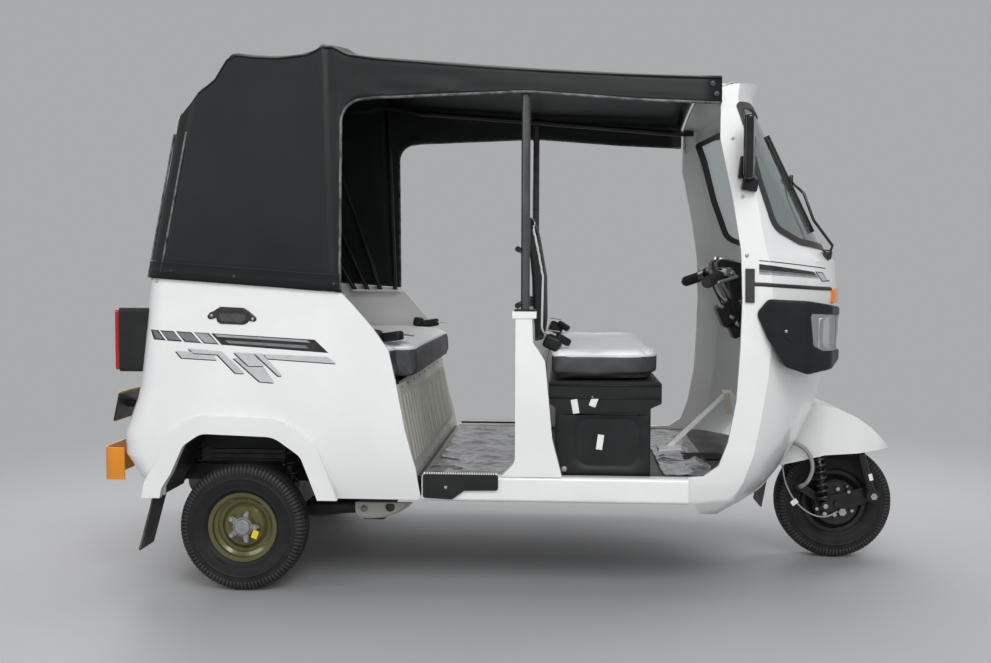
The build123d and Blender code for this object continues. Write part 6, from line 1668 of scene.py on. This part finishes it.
for side in (-1, 1):
    end, bend = (Vector((p.x, side * p.y, p.z)) for p in (BAR_END, BAR_BEND))
    run = (end - bend).normalized()
    across = run.orthogonal().normalized()
    over = run.cross(across)
    for k in range(GRIP_RINGS):
        centre = end - run * (0.006 + (GRIP_LONG - 0.012) * k / (GRIP_RINGS - 1))
        rings.append([centre + (across * c + over * s) * GRIP_RADIUS for c, s in round_steps(20)])
    levers.append([
        (0.708, side * 0.216, 1.012), (0.730, side * 0.228, 1.008), (0.736, side * 0.250, 1.003),
        (0.668, side * 0.330, 0.987), (0.660, side * 0.340, 0.985),
    ])
    block_at = end - run * (GRIP_LONG + SWITCH_LONG / 2)
    bar_shape(clutch, block_at + Vector((0.010, 0, 0.010)), (0.050, 0.040, 0.030), (0, 0, side * -62), 0.006)
    bar_shape(
        clutch, block_at + Vector((0.034, side * -0.006, 0.002)), (0.030, 0.024, 0.026), (0, 20, side * -62), 0.006,
    )
    for k in range(2):
        start = block_at + Vector((0.020, side * 0.008 * (k * 2 - 1), -0.014))
        wires.append([
            start, start + Vector((0.020, side * -0.010, -0.060)),
            (0.745 + 0.02 * k, side * (0.130 - 0.02 * k), 0.890),
            (0.775 + 0.01 * k, side * (0.085 - 0.02 * k), 0.825), (0.812, side * (0.050 - 0.01 * k), 0.778),
        ])
tube_piece("grip_rings", rings, 0.0016, black_rubber, "steering", 6, closed=True)
tube_piece("hand_levers", levers, 0.0058, cast_bright, "steering", 8)
mesh_piece("lever_clamps", clutch, cast_bright, "steering")
tube_piece("bar_cables", [rounded_line(line) for line in wires], 0.0034, black_rubber, "steering", 6)
LOCK_BOX = [
    ((0.744, 0, 0.872), (0.078, 0.110, 0.082), (0, -24, 0), 0.012, 3),
    ((0.777, 0, 0.814), (0.058, 0.086, 0.050), (0, -24, 0), 0.010, 3),
]
# place and length of each small fitting on the box
FITTINGS = [
    ((0.712, -0.050, 0.900), 0.020), ((0.748, -0.062, 0.862), 0.018), ((0.770, -0.058, 0.838), 0.022),
    ((0.790, -0.048, 0.806), 0.015), ((0.716, 0.030, 0.858), 0.018),
]
blocks("lock_box", LOCK_BOX, black_plastic, "steering", (1,), True)
rows = [(place, (long, 0.022, long * 0.8), (20, 30, 0), 0.004, 2) for place, long in FITTINGS]
blocks("lock_fittings", rows, cast_bright, "steering", (1,), True)
dial = bmesh.new()
dial_rings = []
for r, up in ((0.038, -0.004), (0.038, 0.006), (0.034, 0.008), (0.033, 0.004), (0.002, 0.0035)):
    dial_rings.append([dial.verts.new((r * c, r * s, up)) for c, s in round_steps(40)])
made = skin(dial, dial_rings)
for part in made[-42:-2] + made[-1:]:
    part.material_index = 1  # the dial's own face, inside the bright ring
dial_turn = Matrix.Translation((0.727, 0, 1.0625)) @ Matrix.Rotation(math.radians(11), 4, "Y")
bmesh.ops.transform(dial, matrix=dial_turn, verts=dial.verts)
dial_face = finish("dial_face", (0.05, 0.05, 0.052), (0.06, 0.06, 0.06), 0.1, 0.02, 30.0, Coat_Weight=1.0)
mesh_piece("dial", dial, [nickel, dial_face], "steering", smooth=False)

# ---------------------------------------------------------------- fork, springs and front brake parts
# The one-sided fork and its trailing link are painted black. A coil spring stands round the damper,
# the brake's backplate carries a bright bolt, and paper tags hang from the cable and the fork.
SPRING_TURNS, SPRING_WIRE, SPRING_MEAN = 8.5, 0.0047, 0.0188
# the brake hose and the speedometer cable, from behind the mudguard to the link and the hub
HOSE_LINE = [
    (0.931, -0.098, 0.429), (0.938, -0.148, 0.429), (0.961, -0.154, 0.427), (1.003, -0.156, 0.401),
    (1.023, -0.156, 0.345), (1.009, -0.146, 0.294), (0.988, -0.120, 0.266), (0.988, -0.0965, 0.266),
]
CABLE_LINE = [
    (0.922, -0.098, 0.372), (0.926, -0.103, 0.332), (0.933, -0.110, 0.280), (0.968, -0.112, 0.212),
    (1.025, -0.110, 0.166), (1.080, -0.104, 0.156), (1.121, -0.093, 0.176),
]
# x, z, y, radius and length of each nut or bolt end on the fork's outer side
FORK_NUTS = [
    (1.235, 0.240, -0.1275, 0.012, 0.012), (1.069, 0.204, -0.133, 0.009, 0.010), (1.137, 0.176, -0.093, 0.014, 0.010),
    (1.048, 0.186, -0.093, 0.006, 0.008), (1.076, 0.168, -0.093, 0.008, 0.008), (1.111, 0.165, -0.093, 0.007, 0.008),
    (1.170, 0.181, -0.093, 0.006, 0.008), (1.120, 0.258, -0.093, 0.007, 0.009), (1.158, 0.248, -0.093, 0.006, 0.008),
]
spring_gloss = finish(
    "spring_gloss", (0.014, 0.014, 0.015), (0.022, 0.022, 0.023), 0.16, 0.08, 40.0, 700.0, 0.05, Coat_Weight=0.5,
)
brass = finish("brass", (0.55, 0.38, 0.12), (0.45, 0.3, 0.1), 0.25, 0.1, 60.0, Metallic=1.0)
hose_grey = finish("hose_grey", (0.34, 0.34, 0.33), (0.28, 0.28, 0.27), 0.45, 0.1, 30.0)
dress(frame_black, "steering_column", "trailing_link")
dress(black_rubber, "front_mudflap")
dress(white_paint, "front_mudguard")


def coil_spring(name, low, high, mean, wire, turns, body, node=None):
    """A closed coil between two points with its damper inside and a cup at each end."""
    low, high = Vector(low), Vector(high)
    up = (high - low).normalized()
    across = up.orthogonal().normalized()
    over = up.cross(across)
    steps = round(turns * 18)
    helix = []
    for k in range(steps + 1):
        a = 2 * math.pi * turns * k / steps
        climb = min(1, max(0, (k / steps * turns - 0.5) / (turns - 1)))
        helix.append(low.lerp(high, 0.03 + 0.94 * climb) + (across * math.cos(a) + over * math.sin(a)) * mean)
    spring = tube_piece(name + "_coil", [helix], wire, spring_gloss, body, 8)
    if node:
        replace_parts(spring, node)
    tube_piece(name + "_damper", [[low, low.lerp(high, 0.55)]], mean * 0.66, frame_black, body, 16)
    tube_piece(name + "_rod", [[low.lerp(high, 0.5), high]], mean * 0.34, nickel, body, 12)
    tube_piece(
        name + "_cups", [[low, low.lerp(high, 0.02)], [low.lerp(high, 0.98), high]], mean + wire, frame_black, body,
        20,
    )


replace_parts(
    tube_piece("front_brake_hose", [rounded_line(HOSE_LINE)], 0.0070, hose_grey, "steering", 10),
    "brake_hose",
)
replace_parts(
    tube_piece("hub_cable", [rounded_line(CABLE_LINE)], 0.0030, hose_grey, "steering", 8),
    "speedometer_cable",
)
coil_spring(
    "front_spring", (1.0664, -0.112, 0.2245), (1.0455, -0.112, 0.4035), SPRING_MEAN, SPRING_WIRE, SPRING_TURNS,
    "steering", "front_damper",
)
bolts = bmesh.new()
for x, z, y, r, long in FORK_NUTS:
    skin(
        bolts,
        [[bolts.verts.new((x + r * c, end, z + r * s)) for c, s in round_steps(6)] for end in (y + 0.004, y - long)],
    )
mesh_piece("fork_nuts", bolts, nickel, "steering", smooth=False)
tube_piece(
    "bleed_bolt", [[(1.150, -0.078, 0.262), (1.153, -0.100, 0.268)]], 0.0055, brass, "steering", 8,
)
tube_piece("adjuster", [[(0.992, -0.098, 0.262), (0.992, -0.098, 0.276)]], 0.009, nickel, "steering", 8)
TAGS = [
    ((0.966, -0.1170, 0.212), (0.024, 0.0012, 0.018), (0, -38, 0), 0.0004, 1),
    ((1.2255, -0.1275, 0.306), (0.013, 0.0012, 0.024), (0, -14, 0), 0.0004, 1),
]
blocks("paper_tags", TAGS, paper, "steering", (1,))

# ---------------------------------------------------------------- brake pedal and its mat
# The long lever is zinc-grey with a white foot plate, and a ribbed rubber mat lies under it. A tag
# is tied to the lever.
pedal_grey = finish("pedal_grey", (0.86, 0.865, 0.87), (0.74, 0.74, 0.74), 0.3, 0.12, 20.0, 600.0, 0.1, Metallic=0.3)
plate_white = finish("plate_white", (0.78, 0.78, 0.77), (0.68, 0.68, 0.66), 0.3, 0.1, 30.0)
tag_card = finish("tag_card", (0.52, 0.48, 0.38), (0.46, 0.42, 0.33), 0.6, 0.1, 40.0)
dress(pedal_grey, "brake_pedal")
PLATE = ((0.523, -0.150, 0.4095), (0.080, 0.079, 0.003), (0, -5, 0), 0.0012, 1)
CARD = ((0.722, -0.165, 0.563), (0.020, 0.0014, 0.075), (0, -8, 0), 0.0005, 1)
MAT = ((0.640, -0.150, 0.3765), (0.140, 0.100, 0.006), (0, 0, 0), 0.002, 1)
blocks("foot_plate", [PLATE], plate_white, sides=(1,))
blocks("lever_tag", [CARD], tag_card, sides=(1,))
blocks("floor_mat", [MAT], black_rubber, sides=(1,))
chevron = bmesh.new()
for side in (-1, 1):
    bar_shape(chevron, (0.582, -0.150 + side * 0.022, 0.3805), (0.005, 0.050, 0.004), (0, 0, side * 32), 0.0012, 1)
rib_mesh = mesh_of("mat_rib", chevron, [], False)
piece_of(
    "mat_ribs", made_by(row_tree, "mat_ribs", rib_mesh, black_rubber, Count=11, Offset=(0.0115, 0, 0)), "body",
)
# control cables gathered inside the cowl
cab_wires = [
    [(0.842, -0.060, 0.70), (0.815, -0.080, 0.62), (0.790, -0.110, 0.53), (0.800, -0.130, 0.44), (0.820, -0.120, 0.385)],
    [(0.842, -0.030, 0.70), (0.805, -0.060, 0.61), (0.770, -0.080, 0.52), (0.775, -0.090, 0.43), (0.800, -0.080, 0.385)],
]
tube_piece("cab_wires", cab_wires, 0.0035, black_rubber, sides=6)

# ---------------------------------------------------------------- thresholds of the passenger doors
# A white painted strip with a row of short black rubber teeth edges each step.
THRESHOLD_X, THRESHOLD_Z, TOOTH_PITCH, TOOTH_COUNT = (-0.281, -0.051), 0.386, 0.0074, 30
for side, hand in HANDS:
    name, first = f"threshold_teeth_{hand}", (THRESHOLD_X[0] + 0.008, side * 0.6335, THRESHOLD_Z + 0.0035)
    teeth = block_rows(name, (0.0032, 0.006, 0.0085), 0.0006, first, TOOTH_COUNT, (TOOTH_PITCH, 0, 0), black_rubber)
    piece_of(name, teeth, "body")
strip_middle, strip_long = sum(THRESHOLD_X) / 2, THRESHOLD_X[1] - THRESHOLD_X[0]
STRIP = ((strip_middle, 0.629, THRESHOLD_Z + 0.003), (strip_long, 0.014, 0.006), (0, 0, 0), 0.0015, 1)
blocks("threshold_strips", [STRIP], white_paint)

# ---------------------------------------------------------------- moulded linings
# The wheel arches' liners, the front wheel's well, the shelf behind the screen and the panels of
# the steps are moulded from grained black plastic.
dress(black_plastic, "wheel_liners", "wheel_well", "dashboard", "step_panels")

# ---------------------------------------------------------------- chassis, hood frame and rails
# Pressed and tubular steel is welded and painted black; each pole stands in a small foot plate
# that is screwed to the pillar.
dress(
    frame_black, "chassis", "hood_bows", "hood_legs", "roof_rails", "partition_rails", "bumper_stays",
    "plate_bracket", "seat_deck",
)
pole_paint = finish(
    "pole_paint", (0.045, 0.046, 0.048), (0.06, 0.06, 0.062), 0.24, 0.1, 12.0, 500.0, 0.08, Coat_Weight=0.4,
)
dress(pole_paint, "hood_poles")
POLE_FOOT = ((0.032, 0.591, 0.8985), (0.066, 0.044, 0.005), (0, 0, 0), 0.0015, 1)
blocks("pole_feet", [POLE_FOOT], frame_black)
foot_screws = [((0.032 + dx, side * 0.591, 0.9010), (0, 0, 1), 0.8) for side in (-1, 1) for dx in (-0.025, 0.025)]
screws("pole_foot_screws", foot_screws)

# ---------------------------------------------------------------- rear springs, arms and half shafts
# Painted trailing arms carry coil springs round telescopic dampers. Bare steel half shafts run
# from the gearbox to the hubs in ribbed rubber boots.
REAR_SPRING = (-0.760, 0.398, 0.258, 0.540)
plain_steel = finish(
    "plain_steel", (0.42, 0.42, 0.43), (0.3, 0.29, 0.28), 0.32, 0.2, 20.0, 700.0, 0.15, 0.4, 0.5, Metallic=1.0,
)
dress(plain_steel, "half_shafts")
dress(frame_black, "suspension_arms")
for side, hand in HANDS:
    x, y, low, high = REAR_SPRING
    coil_spring(
        f"rear_spring_{hand}", (x, side * y, low), (x, side * y, high), 0.0248, 0.0050, 8.5, "body",
        "rear_springs" if side < 0 else None,
    )
    boot = [(-0.864, side * (0.176 + 0.074 * k / 40), 0.2025) for k in range(41)]
    pleats = [0.036 + 0.0035 * math.cos(k * math.pi / 4) for k in range(41)]
    tube_piece(f"shaft_boot_{hand}", [boot], pleats, black_rubber, sides=24)

# ---------------------------------------------------------------- engine and silencer
# The cast engine has cooling fins down its sides and rear, with a screwed plastic cover over the
# fan. The pressed silencer has a rolled seam at each end.
FIN_PITCH, FIN_COUNT = 0.0165, 13
# hand, middle x and y, and length and width of each row's lowest fin
FINS = [
    ("right", -0.945, -0.276, (0.260, 0.018)), ("left", -0.945, 0.276, (0.260, 0.018)),
    ("rear", -1.124, 0, (0.016, 0.440)),
]
FAN_Z, FAN_BOLT_RING = 0.400, 0.072
cast_metal = finish(
    "cast_metal", (0.30, 0.30, 0.30), (0.20, 0.19, 0.18), 0.55, 0.2, 16.0, 420.0, 0.5, 0.6, 0.7, Metallic=0.7,
)
heat_black = finish("heat_black", (0.022, 0.021, 0.020), (0.045, 0.036, 0.030), 0.55, 0.2, 12.0, 500.0, 0.4, 0.5, 0.6)
dress(cast_metal, "engine")
dress(heat_black, "muffler")
for hand, x, y, size in FINS:
    name = f"engine_fins_{hand}"
    fins = block_rows(name, (*size, 0.0035), 0.001, (x, y, 0.300), FIN_COUNT, (0, 0, FIN_PITCH), cast_metal)
    piece_of(name, fins, "body")
fan = bmesh.new()
rings = []
for r, x in ((0.085, -1.120), (0.085, -1.138), (0.060, -1.142), (0.020, -1.138)):
    rings.append([fan.verts.new((x, r * c, FAN_Z + r * s)) for c, s in round_steps(32)])
skin(fan, rings)
mesh_piece("fan_cover", fan, black_plastic, smooth=False)
fan_bolts = [((-1.140, FAN_BOLT_RING * c, FAN_Z + FAN_BOLT_RING * s), (-1, 0, 0), 0.9) for c, s in round_steps(6)]
screws("fan_cover_screws", fan_bolts, material=plain_steel)
seams = [[(-1.176 + 0.0465 * c, y, 0.244 + 0.0465 * s) for c, s in round_steps(28)] for y in (-0.066, 0.316)]
tube_piece("silencer_seams", seams, 0.0028, heat_black, sides=6, closed=True)

# ---------------------------------------------------------------- engine lid
# The lid is a pressed steel panel with two rows of louvres and a round lock between them. Two
# bolts show at each of the hinges at its top edge.
LOUVRE_WIDE, LOUVRE_PITCH = 0.175, 0.030
lid_ground = surface_of("engine_lid")


def from_rear(ground, y, z):
    """The point of a surface that is seen at y and z from the rear, and its way out."""
    return first_on(ground, (-1.7, y, z), (1, 0, 0))


dress(white_paint, "engine_lid")
low_hit, _ = from_rear(lid_ground, 0.12, 0.600)
high_hit, _ = from_rear(lid_ground, 0.12, 0.600 + LOUVRE_PITCH)
louvre = bmesh.new()
bar_shape(louvre, low_hit, (0.011, LOUVRE_WIDE, 0.013), (0, 28, 0), 0.0045, 3)
louvre_mesh = mesh_of("louvre", louvre, [], False)
louvres = made_by(row_tree, "louvres", louvre_mesh, white_paint, Count=8, Offset=high_hit - low_hit)
for side, hand in HANDS:
    keep(f"lid_louvres_{hand}", louvres, Vector((0, 0, 0)), "engine_lid", side)
lock_hit, lock_way = from_rear(lid_ground, 0, 0.615)
caps("lid_lock", [(lock_hit + lock_way * 0.002, lock_way, 1.0)], 0.013, 0.006, nickel, "engine_lid")
hinge_bolts = [
    (hit + way * 0.001, way, 0.85) for y in (-0.216, -0.204, 0.204, 0.216)
    for hit, way in (from_rear(lid_ground, y, 0.922),)
]
screws("lid_hinge_bolts", hinge_bolts, "engine_lid")

# ---------------------------------------------------------------- tail lamps
# Each lamp is a ribbed red lens with an amber and a clear field, held on its black housing by two
# screws.
LENS_FACE_X, LENS_Y, RIB_STEP = -1.276, 0.535, 0.0085
red_lens = finish(
    "red_lens", (0.42, 0.008, 0.010), (0.32, 0.005, 0.008), 0.12, 0.03, 6.0, 300.0, 0.05, Coat_Weight=0.6,
)
clear_lens = finish(
    "clear_lens", (0.72, 0.72, 0.71), (0.62, 0.62, 0.61), 0.12, 0.03, 6.0, 300.0, 0.05, Coat_Weight=0.6,
)
dress(black_plastic, "tail_lamp_housings")
dress(red_lens, "tail_lamp_lenses")
lens_screws = []
for side, hand in HANDS:
    for colour, material, z, high in (("amber", amber, 0.862, 0.046), ("clear", clear_lens, 0.728, 0.040)):
        field = bmesh.new()
        bar_shape(field, (LENS_FACE_X - 0.001, side * LENS_Y, z), (0.005, 0.104, high), (0, 0, 0), 0.002)
        mesh_piece(f"tail_{colour}_{hand}", field, material, smooth=False)
    name, first = f"tail_ribs_{hand}", (LENS_FACE_X, side * LENS_Y, 0.758)
    ribs = block_rows(name, (0.004, 0.108, 0.0034), 0.0012, first, 10, (0, 0, RIB_STEP), red_lens)
    piece_of(name, ribs, "body")
    lens_screws += [((LENS_FACE_X, side * y, z), (-1, 0, 0), 0.7) for y, z in ((0.486, 0.886), (0.584, 0.704))]
screws("lens_screws", lens_screws)

# ---------------------------------------------------------------- pivot plates of the trailing arms
# A pressed plate, painted beige, is bolted over the outer face of each arm's bracket. A rubber bush
# shows in its round hole.
PIVOT_PLATE = [
    (-0.527, 0.262), (-0.529, 0.236), (-0.523, 0.220), (-0.508, 0.210), (-0.482, 0.207), (-0.434, 0.211),
    (-0.385, 0.226), (-0.352, 0.246), (-0.338, 0.262),
]
PIVOT_FACES = (0.466, 0.4705, 0.474)
PIVOT_BOLT, PIVOT_BUSH = (-0.498, 0.240), (-0.412, 0.246)
plates = bmesh.new()
for side in (-1, 1):
    rings = []
    for face, draw in ((0, 1.0), (1, 1.0), (2, 0.96), (2, 0.86), (1, 0.82)):
        rings.append([plates.verts.new((x, side * PIVOT_FACES[face], z)) for x, z in drawn_in(PIVOT_PLATE, draw)])
    skin(plates, rings)
mesh_piece("pivot_plates", plates, beige, smooth=False)
for name, (x, z), radius, height, material, slot in (
    ("pivot_bolts", PIVOT_BOLT, 0.0125, 0.007, plain_steel, "steel"),
    ("pivot_bushes", PIVOT_BUSH, 0.0155, 0.004, black_rubber, "black_rubber"),
):
    rows = [((x, side * PIVOT_FACES[1], z), (0, side, 0), 1.0) for side in (-1, 1)]
    caps(name, rows, radius, height, material)

# ---------------------------------------------------------------- bumper, plate and mudflaps
# The bumper is a painted steel channel bolted to two stays, with a red reflector at each end. The
# plate is left blank behind two bolts, and a clamp strip holds each mudflap.
yellow = finish(
    "yellow_paint", (0.78, 0.27, 0.010), (0.66, 0.225, 0.009), 0.28, 0.1, 8.0, 500.0, 0.08, 0.5, 0.1,
    Coat_Weight=0.25,
)
plate_paint = finish("plate_paint", (0.78, 0.52, 0.03), (0.70, 0.45, 0.03), 0.35, 0.1, 10.0, 600.0, 0.1)
dress(yellow, "rear_bumper")
dress(plate_paint, "number_plate")
dress(black_rubber, "rear_mudflaps")
bumper_ground, plate_ground, flap_ground = (
    surface_of(node) for node in ("rear_bumper", "number_plate", "rear_mudflaps")
)
bumper_bolts = [
    (from_rear(bumper_ground, y, z)[0], (-1, 0, 0), 1.3) for y in (-0.316, -0.284, 0.284, 0.316)
    for z in (0.385, 0.415)
]
plate_bolts = [(from_rear(plate_ground, y, 0.612)[0], (-1, 0, 0.2), 1.0) for y in (-0.505, -0.385)]
screws("bumper_bolts", bumper_bolts)
screws("plate_bolts", plate_bolts)
reflectors = [(from_rear(bumper_ground, y, 0.40)[0], (-1, 0, 0), 1.0) for y in (-0.52, 0.52)]
caps("bumper_reflectors", reflectors, 0.026, 0.005, red_lens)
PLATE_CORNERS = ((-0.541, 0.531), (-0.349, 0.531), (-0.349, 0.621), (-0.541, 0.621))
plate_rim = [from_rear(plate_ground, y, z)[0] + Vector((0.0005, 0, 0)) for y, z in PLATE_CORNERS]
tube_piece("plate_rim", [plate_rim], 0.0016, plate_paint, sides=6, closed=True)
flap_clamps, flap_bolts = bmesh.new(), []
for side in (-1, 1):
    hit, _ = from_rear(flap_ground, side * 0.56, 0.283)
    bar_shape(flap_clamps, hit + Vector((-0.001, 0, 0)), (0.004, 0.108, 0.014), (0, 0, 0), 0.001, 1)
    flap_bolts += [(hit + Vector((-0.003, dy, 0)), (-1, 0, 0), 0.8) for dy in (-0.04, 0, 0.04)]
mesh_piece("flap_clamps", flap_clamps, plain_steel, smooth=False)
screws("flap_bolts", flap_bolts)
